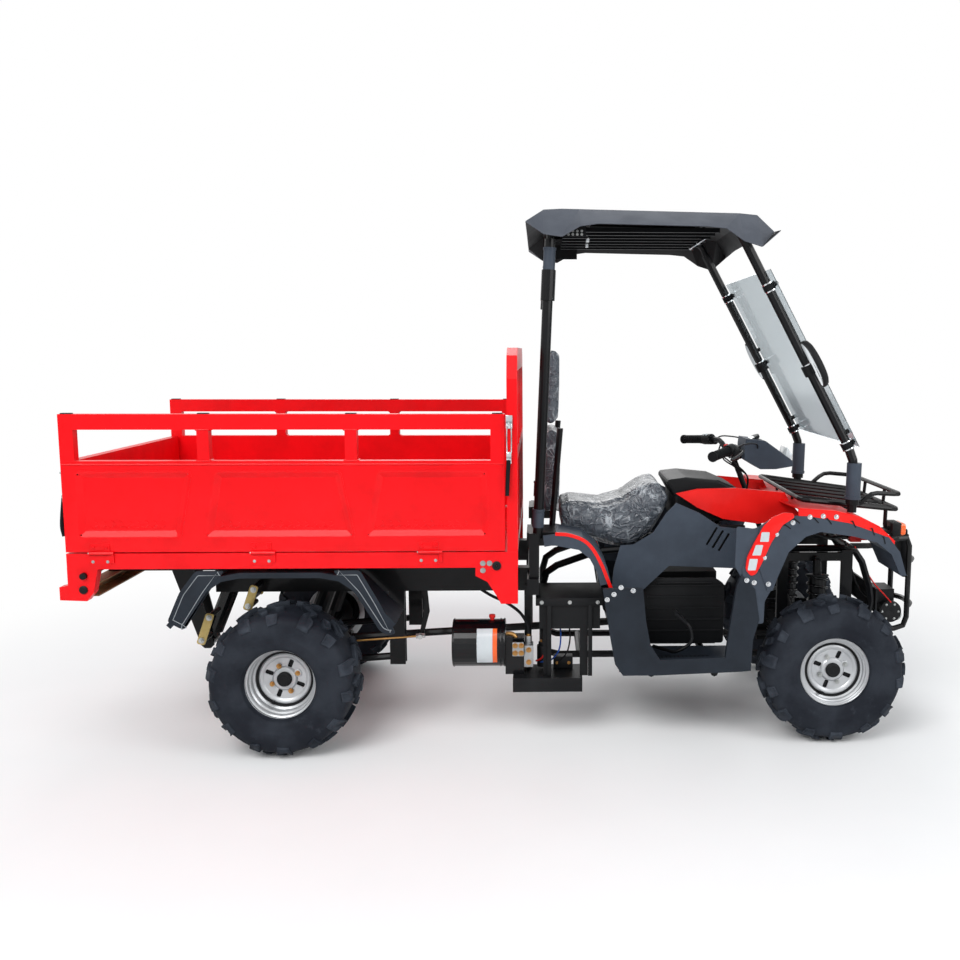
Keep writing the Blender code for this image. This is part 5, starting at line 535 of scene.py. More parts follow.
def dress(
    obj: bpy.types.Object, finish: Finish, body: str, replaces: tuple = (), angle: float = 40
) -> bpy.types.Object:
    """Give a finished piece its material, its shading, its body and the nodes that it stands for.

    Args:
        obj: the piece.
        finish: its finish.
        body: the CAD body that it rides on.
        replaces: the CAD nodes that it hides.
        angle: the sharpest corner in degrees that is still shaded smooth.

    Returns:
        The piece.
    """
    obj.data.materials.clear()
    obj.data.materials.append(material_of(finish))
    obj.data.polygons.foreach_set("material_index", [0] * len(obj.data.polygons))
    obj.data.polygons.foreach_set("use_smooth", [True] * len(obj.data.polygons))
    obj.data.set_sharp_from_angle(angle=math.radians(angle))
    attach(obj, body)
    if replaces:
        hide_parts(*replaces)
    log.info("%s: %s on %s, %d faces", obj.name, finish.name, body, len(obj.data.polygons))
    return obj


def make_piece(
    name: str,
    shape: bmesh.types.BMesh,
    finish: Finish,
    body: str,
    bevel: float = 0.0,
    replaces: tuple = (),
    merge: bool = False,
) -> bpy.types.Object:
    """Make a mesh into a dressed piece, its edges rounded if asked.

    Args:
        name: the piece's name.
        shape: its mesh.
        finish: its finish.
        body: the CAD body that it rides on.
        bevel: the width of its rounded edges.
        replaces: the CAD nodes that it hides.
        merge: whether points that meet are merged.

    Returns:
        The piece.
    """
    obj = make_object(name, shape, merge)
    if bevel:
        edge = obj.modifiers.new("edge", "BEVEL")
        edge.width = bevel
        edge.segments = 2
        edge.limit_method = "ANGLE"
        edge.angle_limit = math.radians(35)
        applied(obj)
    return dress(obj, finish, body, replaces)


class RepeatTree:
    """A Geometry Nodes tree that repeats a source object, with named inputs."""

    def __init__(self, name: str, finish: Finish) -> None:
        """Start an empty tree.

        Args:
            name: the tree's name.
            finish: the finish that its result wears.
        """
        self.tree = bpy.data.node_groups.new(name, "GeometryNodeTree")
        self.finish = finish
        self.tree.interface.new_socket("Geometry", in_out="INPUT", socket_type="NodeSocketGeometry")
        self.tree.interface.new_socket("Geometry", in_out="OUTPUT", socket_type="NodeSocketGeometry")
        self.values: dict[str, object] = {}
        self.inputs = self.tree.nodes.new("NodeGroupInput")

    def ask(self, name: str, kind: str, value: object) -> bpy.types.NodeSocket:
        """Add a named input and return the socket that gives it.

        Args:
            name: the input's name.
            kind: its socket type.
            value: what this use of the tree sets it to.

        Returns:
            The socket inside the tree.
        """
        socket = self.tree.interface.new_socket(name, in_out="INPUT", socket_type=kind)
        self.values[socket.identifier] = value
        return self.inputs.outputs[name]

    def end(self, geometry: bpy.types.NodeSocket) -> None:
        """Realize the instances, set the material and close the tree.

        Args:
            geometry: what the tree made.
        """
        real = add_node(self.tree, "GeometryNodeRealizeInstances", None, {"Geometry": geometry}).outputs[0]
        links = {"Geometry": real}
        worn = add_node(
            self.tree, "GeometryNodeSetMaterial", {"Material": material_of(self.finish)}, links
        ).outputs[0]
        add_node(self.tree, "NodeGroupOutput", None, {"Geometry": worn})

    def run(self, name: str, carrier: bpy.types.Mesh) -> bpy.types.Object:
        """Run the tree on a mesh and keep the result as a plain mesh.

        Args:
            name: the new object's name.
            carrier: the mesh that the tree reads.

        Returns:
            The object.
        """
        obj = bpy.data.objects.new(name, carrier)
        bpy.context.scene.collection.objects.link(obj)
        modifier = obj.modifiers.new("repeat", "NODES")
        modifier.node_group = self.tree
        for identifier, value in self.values.items():
            modifier[identifier] = value
        return applied(obj)


def scatter(
    name: str, source: bpy.types.Object, places: list, finish: Finish, body: str, size: float = 1.0
) -> bpy.types.Object:
    """Set a copy of a small piece at each place, its local Z along the facing given there.

    Args:
        name: the piece's name.
        source: the small piece, which is removed.
        places: pairs of a point and a facing.
        finish: the finish.
        body: the CAD body that it rides on.
        size: the scale of each copy.

    Returns:
        The piece.
    """
    carrier = bpy.data.meshes.new(name)
    carrier.from_pydata([tuple(point) for point, _ in places], [], [])
    facings = carrier.attributes.new("facing", "FLOAT_VECTOR", "POINT")
    facings.data.foreach_set("vector", [value for _, facing in places for value in facing])
    repeat = RepeatTree(f"{name}_tree", finish)
    tree = repeat.tree
    piece = repeat.ask("Source", "NodeSocketObject", source)
    scale = repeat.ask("Size", "NodeSocketFloat", size)
    shown = add_node(tree, "GeometryNodeObjectInfo", None, {"Object": piece}).outputs["Geometry"]
    facing = add_node(
        tree, "GeometryNodeInputNamedAttribute", {"data_type": "FLOAT_VECTOR", "Name": "facing"}
    ).outputs[0]
    turn = add_node(tree, "FunctionNodeAlignRotationToVector", {"axis": "Z"}, {"Vector": facing}).outputs[0]
    links = {"Points": repeat.inputs.outputs["Geometry"], "Instance": shown, "Rotation": turn, "Scale": scale}
    repeat.end(add_node(tree, "GeometryNodeInstanceOnPoints", None, links).outputs[0])
    obj = repeat.run(name, carrier)
    bpy.data.objects.remove(source)
    return dress(obj, finish, body)


def ring(
    name: str, source: bpy.types.Object, centre: Vector, count: int, finish: Finish, body: str
) -> bpy.types.Object:
    """Repeat a piece about an axis along Y.

    Args:
        name: the piece's name.
        source: the piece at its first place about the origin, which is removed.
        centre: where the axis stands.
        count: how many copies make the turn.
        finish: the finish.
        body: the CAD body that it rides on.

    Returns:
        The piece.
    """
    repeat = RepeatTree(f"{name}_tree", finish)
    tree = repeat.tree
    piece = repeat.ask("Source", "NodeSocketObject", source)
    copies = repeat.ask("Count", "NodeSocketInt", count)
    place = repeat.ask("Centre", "NodeSocketVector", tuple(centre))
    shown = add_node(tree, "GeometryNodeObjectInfo", None, {"Object": piece}).outputs["Geometry"]
    points = add_node(tree, "GeometryNodePoints", None, {"Count": copies}).outputs[0]
    number = add_node(tree, "GeometryNodeInputIndex").outputs[0]
    step = add_node(tree, "ShaderNodeMath", {"operation": "DIVIDE", 0: 2 * math.pi}, {1: copies}).outputs[0]
    angle = add_node(tree, "ShaderNodeMath", {"operation": "MULTIPLY"}, {0: number, 1: step}).outputs[0]
    turn = add_node(tree, "ShaderNodeCombineXYZ", None, {"Y": angle}).outputs[0]
    rotation = add_node(tree, "FunctionNodeEulerToRotation", None, {"Euler": turn}).outputs[0]
    links = {"Points": points, "Instance": shown, "Rotation": rotation}
    copied = add_node(tree, "GeometryNodeInstanceOnPoints", None, links).outputs[0]
    repeat.end(
        add_node(tree, "GeometryNodeTransform", None, {"Geometry": copied, "Translation": place}).outputs[0]
    )
    obj = repeat.run(name, bpy.data.meshes.new(name))
    bpy.data.objects.remove(source)
    return dress(obj, finish, body)


def row(
    name: str, source: bpy.types.Object, start: tuple, step: tuple, count: int, finish: Finish, body: str
) -> bpy.types.Object:
    """Repeat a piece along a straight line.

    Args:
        name: the piece's name.
        source: the piece, placed about the origin, which is removed.
        start: where the first copy stands.
        step: how far the next one is.
        count: how many there are.
        finish: the finish.
        body: the CAD body that it rides on.

    Returns:
        The piece.
    """
    repeat = RepeatTree(f"{name}_tree", finish)
    tree = repeat.tree
    piece = repeat.ask("Source", "NodeSocketObject", source)
    links = {
        "Count": repeat.ask("Count", "NodeSocketInt", count),
        "Start Location": repeat.ask("Start", "NodeSocketVector", start),
        "Offset": repeat.ask("Step", "NodeSocketVector", step),
    }
    shown = add_node(tree, "GeometryNodeObjectInfo", None, {"Object": piece}).outputs["Geometry"]
    line = add_node(tree, "GeometryNodeMeshLine", None, links).outputs[0]
    repeat.end(
        add_node(tree, "GeometryNodeInstanceOnPoints", None, {"Points": line, "Instance": shown}).outputs[0]
    )
    obj = repeat.run(name, bpy.data.meshes.new(name))
    bpy.data.objects.remove(source)
    return dress(obj, finish, body)


def coil(
    name: str, foot: tuple, top: tuple, radius: float, wire: float, turns: float, finish: Finish, body: str
) -> bpy.types.Object:
    """Wind a spring between two points.

    Args:
        name: the piece's name.
        foot: the middle of its lower end.
        top: the middle of its upper end.
        radius: the radius of the winding.
        wire: the wire's radius.
        turns: how many turns it has.
        finish: the finish.
        body: the CAD body that it rides on.

    Returns:
        The piece.
    """
    run = Vector(top) - Vector(foot)
    turn = run.to_track_quat("Z", "Y").to_euler()
    repeat = RepeatTree(f"{name}_tree", finish)
    tree = repeat.tree
    links = {
        "Rotations": repeat.ask("Turns", "NodeSocketFloat", turns),
        "Start Radius": repeat.ask("Radius", "NodeSocketFloat", radius),
        "Height": repeat.ask("Height", "NodeSocketFloat", run.length),
    }
    links["End Radius"] = links["Start Radius"]
    spiral = add_node(tree, "GeometryNodeCurveSpiral", {"Resolution": 20}, links).outputs[0]
    size = repeat.ask("Wire", "NodeSocketFloat", wire)
    section = add_node(
        tree, "GeometryNodeCurvePrimitiveCircle", {"Resolution": 8}, {"Radius": size}
    ).outputs[0]
    settings = {"Fill Caps": True}
    wound = add_node(
        tree, "GeometryNodeCurveToMesh", settings, {"Curve": spiral, "Profile Curve": section}
    ).outputs[0]
    links = {
        "Geometry": wound,
        "Translation": repeat.ask("Foot", "NodeSocketVector", tuple(foot)),
        "Rotation": repeat.ask("Turn", "NodeSocketRotation", tuple(turn)),
    }
    repeat.end(add_node(tree, "GeometryNodeTransform", None, links).outputs[0])
    return dress(repeat.run(name, bpy.data.meshes.new(name)), finish, body, angle=80)


def circle(radius: float, height: float, count: int) -> list:
    """The points of a circle about the Z axis at a height."""
    turns = [math.tau * step / count for step in range(count)]
    return [(radius * math.cos(turn), radius * math.sin(turn), height) for turn in turns]


def screw_head(radius: float, height: float, washer: float) -> bpy.types.Object:
    """A dome-headed screw on a washer, standing along Z at the origin.

    Args:
        radius: the head's radius.
        height: how far it stands out.
        washer: the washer's radius.

    Returns:
        The source object for a repeat.
    """
    shape = bmesh.new()
    profile = (
        (washer, 0), (washer, height * 0.25), (radius, height * 0.3), (radius * 0.8, height * 0.8),
        (radius * 0.35, height),
    )
    add_loft(shape, [circle(size, along, 12) for size, along in profile])
    return make_object("screw_source", shape)


def hex_head(radius: float, height: float) -> bpy.types.Object:
    """A hexagonal nut on its washer, standing along Z at the origin.

    Args:
        radius: the nut's radius.
        height: how far it stands out.

    Returns:
        The source object for a repeat.
    """
    shape = bmesh.new()
    for size, low, high, sides in (
        (radius * 1.35, 0, height * 0.2, 16),
        (radius, height * 0.2, height, 6),
        (radius * 0.5, height, height * 1.4, 10),
    ):
        add_loft(shape, [circle(size, along, sides) for along in (low, high)])
    return make_object("nut_source", shape)


def plate(
    shape: bmesh.types.BMesh, outline: tuple, rounding: float, steps: int, start: float, end: float
) -> None:
    """Add a plate of (x, z) points with rounded corners between two places along Y.

    Args:
        shape: the mesh to add to.
        outline: the points.
        rounding: how far before each corner its rounding starts.
        steps: how many pieces each corner gets.
        start: where it begins.
        end: where it ends.
    """
    add_prism(shape, rounded_loop([tuple(point) for point in outline], rounding, steps), start, end)


def facing_out(places: tuple, y: float, side: int) -> list:
    """Stand (x, z) places at a height along Y, facing out to a side."""
    return [((x, y, z), (0, side, 0)) for x, z in places]


# The lugs of one pitch, each as (share of the pitch, share of the way from the crown to the shoulder).
LUG_OUTLINES = (
    (
        (0.00, -0.05), (0.09, -0.05), (0.30, 0.27), (0.22, 0.56), (0.32, 0.70), (0.31, 1.0),
        (0.10, 0.97), (0.11, 0.54), (0.19, 0.29), (0.07, 0.11),
    ),
    ((0.58, 0.72), (0.76, 0.66), (0.77, 0.93), (0.61, 1.0)),
    ((0.50, 0.08), (0.60, 0.00), (0.80, 0.28), (0.70, 0.40)),
    ((0.40, 0.30), (0.50, 0.26), (0.58, 0.50), (0.50, 0.60), (0.44, 0.50)),
)


@dataclass
class Wheel:
    """A knobbly tyre on a silver steel rim.

    Args:
        name: the corner's name, as in the CAD nodes.
        body: the body that turns.
        axle_x: where its axle is.
        half_track: how far its middle is from the vehicle's.
        side: -1 for the right, 1 for the left.
        width: the tyre's width.
        rim_half: half the rim's width.
        recess: how deep the disc lies behind the flange.
        crown: the carcass's outer radius.
        bead: the radius where it meets the rim.
        lug_height: how far a lug stands out.
        pitches: how many times the tread repeats.
        nut_circle: the radius of the nuts' circle.
        ribs: the places of the section that stand out as sidewall ribs.
        lean: how far the slots are turned, in radians.
    """

    name: str
    body: str
    axle_x: float
    half_track: float
    side: int
    width: float
    rim_half: float
    recess: float
    crown: float = 0.2625
    bead: float = 0.1278
    lug_height: float = 0.0165
    pitches: int = 7
    nut_circle: float = 0.0495
    ribs: tuple = (27, 28, 36, 37, 38)
    lean: float = 0.38

    @property
    def shoulder(self) -> float:
        """How far along the section the lugs reach from the crown's middle."""
        return self.width / 2 + 0.012

    def place(self) -> Matrix:
        """Where the wheel stands, its outer face along local +Y."""
        turn = Matrix.Identity(4) if self.side > 0 else Matrix.Rotation(math.pi, 4, "Z")
        return Matrix.Translation((self.axle_x, self.side * self.half_track, AXLE_Z)) @ turn

    def section(self) -> list[Vector]:
        """The outer half of the carcass from the crown to the bead.

        Returns:
            The (radius, across) points.
        """
        half = self.width / 2
        shares = (
            (0.0, 1.005), (0.30, 1.0), (0.60, 0.975), (0.82, 0.92), (0.94, 0.80), (1.0, 0.52),
            (0.965, 0.26), (0.90, 0.10),
        )
        line = [
            Vector((self.bead + up * (self.crown - self.bead), across * half, 0))
            for across, up in shares
        ]
        line.append(Vector((self.bead + 0.004, self.rim_half - 0.005, 0)))
        line.append(Vector((self.bead, self.rim_half - 0.010, 0)))
        return smooth_line(line, 5)

    def along(self, section: list[Vector], reach: float) -> tuple[Vector, Vector]:
        """Find a point of the section by its distance from the crown's middle.

        Args:
            section: the carcass section.
            reach: the distance along it.

        Returns:
            The point and its outward direction.
        """
        left = reach
        for here, there in zip(section, section[1:]):
            step = (there - here).length
            if left <= step or there is section[-1]:
                run = (there - here).normalized()
                return here + run * left, Vector((run.y, -run.x, 0))
            left -= step
        return section[-1], Vector((0, 1, 0))

    def add_lug(self, shape: bmesh.types.BMesh, section: list[Vector], outline: tuple, mirror: int) -> None:
        """Add a lug over an outline of (share of the pitch, share of the way to the shoulder) points.

        Args:
            shape: the mesh to add to.
            section: the carcass section.
            outline: the outline.
            mirror: 1 for the outer half of the tread, -1 for the inner half.
        """
        pitch = math.tau / self.pitches
        lag = 0.0 if mirror > 0 else 0.5
        corners = []
        for (turn, share), (next_turn, next_share) in zip(outline, outline[1:] + outline[:1]):
            corners += [
                (turn + (next_turn - turn) * k / 3, share + (next_share - share) * k / 3)
                for k in range(3)
            ]
        middle = [sum(values) / len(corners) for values in zip(*corners)]
        rings = []
        for inset, lift in ((-0.05, -0.004), (0.03, 1.0), (0.17, 1.0), (0.22, 0.78)):
            made = []
            for turn, share in corners:
                turn += (middle[0] - turn) * inset
                share += (middle[1] - share) * inset
                point, normal = self.along(section, abs(share) * self.shoulder)
                fade = 1 - 0.62 * max(0.0, min(1.0, (abs(share) - 0.35) / 0.6))
                height = lift if lift < 0 else lift * self.lug_height * fade
                at = point + normal * height
                angle = (turn + lag) * pitch
                sideways = math.copysign(at.y, share) * mirror
                made.append(Vector((at.x * math.cos(angle), sideways, at.x * math.sin(angle))))
            rings.append(made)
        add_loft(shape, rings)

    def tyre(self) -> None:
        """Build the carcass with its sidewall ribs, and the ring of lugs."""
        section = self.section()
        ribs = []
        for index, point in enumerate(section):
            before, after = section[max(index - 1, 0)], section[min(index + 1, len(section) - 1)]
            run = (after - before).normalized()
            out = 0.0018 if index in self.ribs else 0.0
            ribs.append((point.x + run.y * out, point.y - run.x * out))
        outline = ribs[:0:-1] + [(radius, -across) for radius, across in ribs]
        shape = bmesh.new()
        add_turned(shape, outline, self.place(), 96)
        make_piece(f"{self.name}_tyre_carcass", shape, TYRE, self.body, replaces=(f"{self.name}_tyre",))
        shape = bmesh.new()
        for mirror in (1, -1):
            for outline in LUG_OUTLINES:
                self.add_lug(shape, section, outline, mirror)
        source = make_object("lug_source", shape)
        source.data.transform(self.place().to_3x3().to_4x4())
        middle = (self.axle_x, self.side * self.half_track, AXLE_Z)
        lugs = ring(f"{self.name}_lugs", source, middle, self.pitches, LUG, self.body)
        softened_edge(lugs, 0.0016)

    def at(self, turn: float, radius: float, along: float) -> Vector:
        """A point on the wheel by its angle, its radius and how far out it is."""
        return Vector((radius * math.cos(turn), along, radius * math.sin(turn)))

    def rim(self) -> None:
        """Build the stepped barrel and the pressed disc with its slots."""
        half, deep, disc = self.rim_half, self.recess / 0.084, self.rim_half - self.recess
        steps = (
            (0.1405, -0.006), (0.1405, -0.001), (0.1385, 0.0), (0.1350, -0.002), (0.1335, -0.007),
            (0.1285, -0.0095),
        )
        steps += (
            (0.1265, -0.013), (0.1285, -0.017), (0.1275, -0.021), (0.1225, -0.024),
            (0.1205, -0.028), (0.1200, -0.040),
        )
        steps += ((0.1150, -0.045), (0.1135, -0.049), (0.1130, -0.066), (0.1060, -0.072))
        seen = [(radius, half + along * (deep if along < -0.008 else 1)) for radius, along in steps]
        seen += [
            (0.1050, disc - 0.006), (0.1050, -half + 0.030), (0.1235, -half + 0.018),
            (0.1245, -half + 0.008),
        ]
        seen += [(0.1350, -half + 0.004), (0.1400, -half)]
        wall = [(radius + 0.0020, along - 0.0008) for radius, along in seen]
        shape = bmesh.new()
        place = self.place()
        add_turned(shape, seen + wall[::-1], place, 72)
        barrel = make_piece(
            f"{self.name}_rim_barrel", shape, SILVER_ENAMEL, self.body, replaces=(f"{self.name}_rim",)
        )
        barrel.data.set_sharp_from_angle(angle=math.radians(24))
        dish = [
            (0.1042, disc - 0.004), (0.0985, disc - 0.002), (0.0955, disc + 0.004),
            (0.0905, disc + 0.0065), (0.0820, disc + 0.0045),
        ]
        dish += [
            (0.0780, disc + 0.001), (0.0470, disc - 0.001), (0.0430, disc + 0.004),
            (0.0400, disc + 0.006), (0.0270, disc + 0.007),
        ]
        shape = bmesh.new()
        add_turned(
            shape, dish + [(radius, along - 0.004) for radius, along in dish[::-1]], Matrix.Identity(4), 72
        )
        for index in range(4):
            turn = self.lean + math.pi / 4 + index * math.pi / 2
            pad = [(0.0155, -0.003), (0.0140, 0.0035), (0.0120, 0.0045), (0.0060, 0.0045), (0.0060, -0.003)]
            add_turned(shape, pad, Matrix.Translation(self.at(turn, self.nut_circle + 0.002, disc)), 24)
        plate = make_object(f"{self.name}_rim_disc", shape)
        cutter = bmesh.new()
        for index in range(4):
            turn = self.lean + index * math.pi / 2
            out, side = self.at(turn, 1.0, 0), self.at(turn + math.pi / 2, 1.0, 0)
            corners = (
                (0.046, -0.005), (0.049, -0.008), (0.072, -0.0085), (0.076, -0.005),
                (0.076, 0.005), (0.072, 0.0085), (0.049, 0.008), (0.046, 0.005),
            )
            add_loft(
                cutter,
                [
                    [out * radius + side * across + Vector((0, y, 0)) for radius, across in corners]
                    for y in (disc - 0.03, disc + 0.03)
                ],
            )
        tool = make_object("slot_tool", cutter)
        carve = plate.modifiers.new("slots", "BOOLEAN")
        carve.object = tool
        carve.solver = "EXACT"
        applied(plate)
        bpy.data.objects.remove(tool)
        plate.data.transform(place)
        dress(plate, SILVER_ENAMEL, self.body, angle=28)
        self.fittings(place, disc)

    def fittings(self, place: Matrix, disc: float) -> None:
        """Add the hub cap, a black ring of painted shade in the gap between the disc and the barrel, the
        backing drum, the nuts and the valve.

        Args:
            place: where the wheel stands.
            disc: how far out the disc is.
        """
        turned = {
            "hub_cap": (
                BLACK_ABS,
                (
                    (0.0275, -0.002), (0.0275, 0.014), (0.0262, 0.018), (0.0240, 0.0196),
                    (0.0190, 0.0200), (0.0178, 0.0188), (0.0010, 0.0192), (0.0010, -0.002),
                ),
            ),
            # A black ring of painted shade, standing in the gap where the disc meets the barrel.
            "disc_seam": (
                BLACK_COAT,
                ((0.1046, -0.008), (0.1054, 0.0075), (0.0985, 0.0050), (0.0965, 0.0050), (0.0965, -0.008)),
            ),
            "hub_drum": (
                BLACK_CAST, ((0.0930, -0.012), (0.0930, -0.009), (0.0010, -0.009), (0.0010, -0.012))
            ),
        }
        for name, (finish, profile) in turned.items():
            shape = bmesh.new()
            add_turned(shape, [(radius, disc + along) for radius, along in profile], place, 64)
            make_piece(f"{self.name}_{name}", shape, finish, self.body)
        nuts = []
        for index in range(4):
            turn = self.lean + math.pi / 4 + index * math.pi / 2
            nuts.append((place @ self.at(turn, self.nut_circle + 0.002, disc + 0.0042), (0, self.side, 0)))
        scatter(
            f"{self.name}_lug_nuts",
            hex_head(0.0072, 0.0075),
            nuts,
            BRASS if self.axle_x < 0 else ZINC,
            self.body,
        )
        shape = bmesh.new()
        line = [
            self.at(-1.1, 0.102, disc + 0.001),
            self.at(-1.1, 0.098, disc + 0.014),
            self.at(-1.12, 0.092, disc + 0.030),
        ]
        add_tube(shape, [place @ point for point in line], 0.0066, 12, end_radius=0.0046)
        make_piece(f"{self.name}_valve", shape, SOFT_RUBBER, self.body)

    def build(self) -> None:
        """Build the whole wheel."""
        self.tyre()
        self.rim()


def softened_edge(obj: bpy.types.Object, width: float) -> None:
    """Round the sharp edges of a dressed piece.

    Args:
        obj: the piece.
        width: the width of the rounding.
    """
    edge = obj.modifiers.new("edge", "BEVEL")
    edge.width = width
    edge.segments = 1
    edge.limit_method = "ANGLE"
    edge.angle_limit = math.radians(50)
    applied(obj)
    obj.data.set_sharp_from_angle(angle=math.radians(60))
    log.info("%s: edges rounded by %.4f m", obj.name, width)


def offset_loop(points: list, distance: float) -> list:
    """Move a closed outline of (x, z) points inwards.

    Args:
        points: the outline.
        distance: how far it moves in, or out if negative.

    Returns:
        The moved outline.
    """
    area = sum(
        here[0] * there[1] - there[0] * here[1]
        for here, there in zip(points, points[1:] + points[:1])
    )
    turn = 1 if area > 0 else -1
    made = []
    for before, here, after in zip(points[-1:] + points[:-1], points, points[1:] + points[:1]):
        first = (Vector(here) - Vector(before)).normalized()
        second = (Vector(after) - Vector(here)).normalized()
        inward = Vector((-(first.y + second.y), first.x + second.x)) * turn
        reach = distance / max(0.35, inward.length_squared / 2)
        made.append(tuple(Vector(here) + inward * reach))
    return made


def rounded_loop(points: list, radius: float, steps: int = 5) -> list:
    """Round the corners of a closed outline of (x, z) points.

    Args:
        points: the outline.
        radius: how far before each corner the rounding starts.
        steps: how many pieces each corner gets.

    Returns:
        The rounded outline.
    """
    made = []
    for before, here, after in zip(points[-1:] + points[:-1], points, points[1:] + points[:1]):
        corner = Vector(here)
        start = corner + (Vector(before) - corner).normalized() * radius
        end = corner + (Vector(after) - corner).normalized() * radius
        for step in range(steps + 1):
            share = step / steps
            made.append(tuple(start.lerp(corner, share).lerp(corner.lerp(end, share), share)))
    return made


def skirt(shape: bmesh.types.BMesh, outline: list, section: tuple) -> None:
    """Run a closed section round an outline of (x, z) points.

    Args:
        shape: the mesh to add to.
        outline: the outline.
        section: (offset inwards, y) points.
    """
    loops = [[(x, y, z) for x, z in offset_loop(outline, inset)] for inset, y in section]
    add_loft(shape, loops, closed=True)


def lay_cord(
    name: str, points: list, diameter: float, finish: Finish, body: str
) -> bpy.types.Object:
    """Args:
        name: the piece's name.
        points: the line that it follows.
        diameter: its diameter.
        finish: its finish.
        body: the CAD body that it rides on.

    Returns:
        The piece.
    """
    line = smooth_line(points, 6)
    shape = bmesh.new()
    add_tube(shape, line, diameter / 2, 10)
    obj = make_piece(name, shape, finish, body)
    return obj


@dataclass
class CargoBed:
    """The tipping bed's pressed edges, checker marks, hinge bolts, latches and tail bracket."""

    recesses: tuple = ((0.03, 0.29, 0.03, 0.26), (0.345, 0.625, 0.315, 0.655), (0.71, 0.96, 0.68, 0.96))
    recess_z: tuple = (0.814, 1.052)
    side_length: float = 1.567
    posts_x: tuple = (-1.590, -1.112, -0.592, -0.072)
    hinge_x: tuple = (-1.493, -0.9204, -0.3236)
    rail_top: float = 1.256
    rail_low: float = 1.201
    panel_top: float = 1.090
    post_half: float = 0.0235
    mark_pitch: float = 0.030
    latch_y: float = 0.512
    gate_half: float = 0.470

    def recess(self, shares: tuple) -> list:
        """The outline of a recess from its shares of the side's length."""
        top_start, top_end, low_start, low_end = (BED_REAR_X + share * self.side_length for share in shares)
        low, high = self.recess_z
        return rounded_loop([(top_start, high), (top_end, high), (low_end, low), (low_start, low)], 0.016, 4)

    def pressings(self, side: int, word: str) -> None:
        """Slope the edges of the three recesses on both faces and stamp their checker strips.

        Args:
            side: -1 for the right, 1 for the left.
            word: that side's name.
        """
        shape = bmesh.new()
        marks = []
        for shares in self.recesses:
            outline = self.recess(shares)
            section = (
                (-0.005, 0.5485), (-0.005, 0.5500), (0.001, 0.5504), (0.006, 0.5485),
                (0.020, 0.5388), (0.024, 0.5373), (0.024, 0.5365), (0.002, 0.5365),
            )
            skirt(shape, outline, tuple((inset, side * y) for inset, y in section))
            start, end = (BED_REAR_X + share * self.side_length for share in shares[2:])
            start, end = start + 0.045, end - 0.045
            count = int((end - start) / self.mark_pitch)
            for line, z in enumerate((0.842, 0.862)):
                places = [(start + self.mark_pitch * (k + line / 2), z) for k in range(count)]
                marks += facing_out(places, side * 0.5369, side)
        make_piece(f"bed_pressed_edges_{word}", shape, RED_COAT, f"drop_side_{word}")
        stamp = bmesh.new()
        for place, lean in ((-0.00882, 0.62), (0.00882, -0.62)):
            turn = Matrix.Translation((0, place, 0)) @ Matrix.Rotation(lean, 4, "Z")
            ring_low = [
                turn @ Vector((x, y, -0.001))
                for x, y in ((-0.010, 0), (0, -0.0028), (0.010, 0), (0, 0.0028))
            ]
            ring_high = [
                turn @ Vector((x, y, 0.0016))
                for x, y in ((-0.008, 0), (0, -0.0018), (0.008, 0), (0, 0.0018))
            ]
            add_loft(stamp, [ring_low, ring_high])
        scatter(
            f"bed_checker_marks_{word}",
            make_object("stamp_source", stamp),
            marks,
            RED_COAT,
            f"drop_side_{word}",
        )

    def rails(self, side: int, word: str) -> None:
        """Add the posts' weld beads and dark brackets, and the hinges' leaves and bolts.

        Args:
            side: -1 for the right, 1 for the left.
            word: that side's name.
        """
        body = f"drop_side_{word}"
        inner, outer = side * (BED_SIDE_Y - 0.032), side * (BED_SIDE_Y - 0.003)
        face, half = side * (BED_SIDE_Y + 0.0002), self.post_half
        shape = bmesh.new()
        for x in self.posts_x[1:3]:
            for z in (self.panel_top, self.rail_low):
                for edge in (x - half, x + half):
                    add_tube(shape, [(edge, inner, z), (edge, outer, z)], 0.0042, 8)
                add_tube(shape, [(x - half, face, z), (x + half, face, z)], 0.0022, 8)
        low = self.panel_top - 0.012
        add_tube(
            shape,
            [(BED_REAR_X + 0.006, side * BED_SIDE_Y, low), (-0.052, side * BED_SIDE_Y, low)],
            0.0035,
            8,
        )
        make_piece(f"bed_weld_beads_{word}", shape, RED_COAT, body)
        shape = bmesh.new()
        for x in self.posts_x:
            low = (x - 0.019, side * (BED_SIDE_Y - 0.030), self.rail_top - 0.004)
            high = (x + 0.019, side * (BED_SIDE_Y - 0.008), self.rail_top + 0.0035)
            add_box(shape, low, high)
        make_piece(f"bed_rail_brackets_{word}", shape, BLACK_COAT, body, bevel=0.0015)
        leaves, bolts, pins = bmesh.new(), [], bmesh.new()
        for x in self.hinge_x:
            low, high = side * (BED_SIDE_Y - 0.002), side * (BED_SIDE_Y + 0.0032)
            add_box(leaves, (x - 0.036, low, 0.7660), (x + 0.036, high, 0.7950))
            bolts += facing_out(((x - 0.024, 0.782), (x + 0.024, 0.782)), side * (BED_SIDE_Y + 0.0030), side)
            add_tube(
                pins, [(x - 0.0395, side * 0.556, 0.7597), (x + 0.0395, side * 0.556, 0.7597)], 0.0038, 12
            )
        make_piece(f"bed_hinge_leaves_{word}", leaves, RED_COAT, body, bevel=0.0012)
        make_piece(f"bed_hinge_pins_{word}", pins, ZINC, body)
        scatter(f"bed_hinge_bolts_{word}", screw_head(0.0072, 0.0042, 0.0085), bolts, RED_COAT, body)
        places = [(x + shift, 0.728) for x in self.hinge_x for shift in (-0.026, 0.026)]
        low = facing_out(places, side * (BED_SIDE_Y + 0.0004), side)
        scatter(f"bed_rail_bolts_{word}", screw_head(0.0068, 0.0042, 0.0095), low, ZINC, "bed")

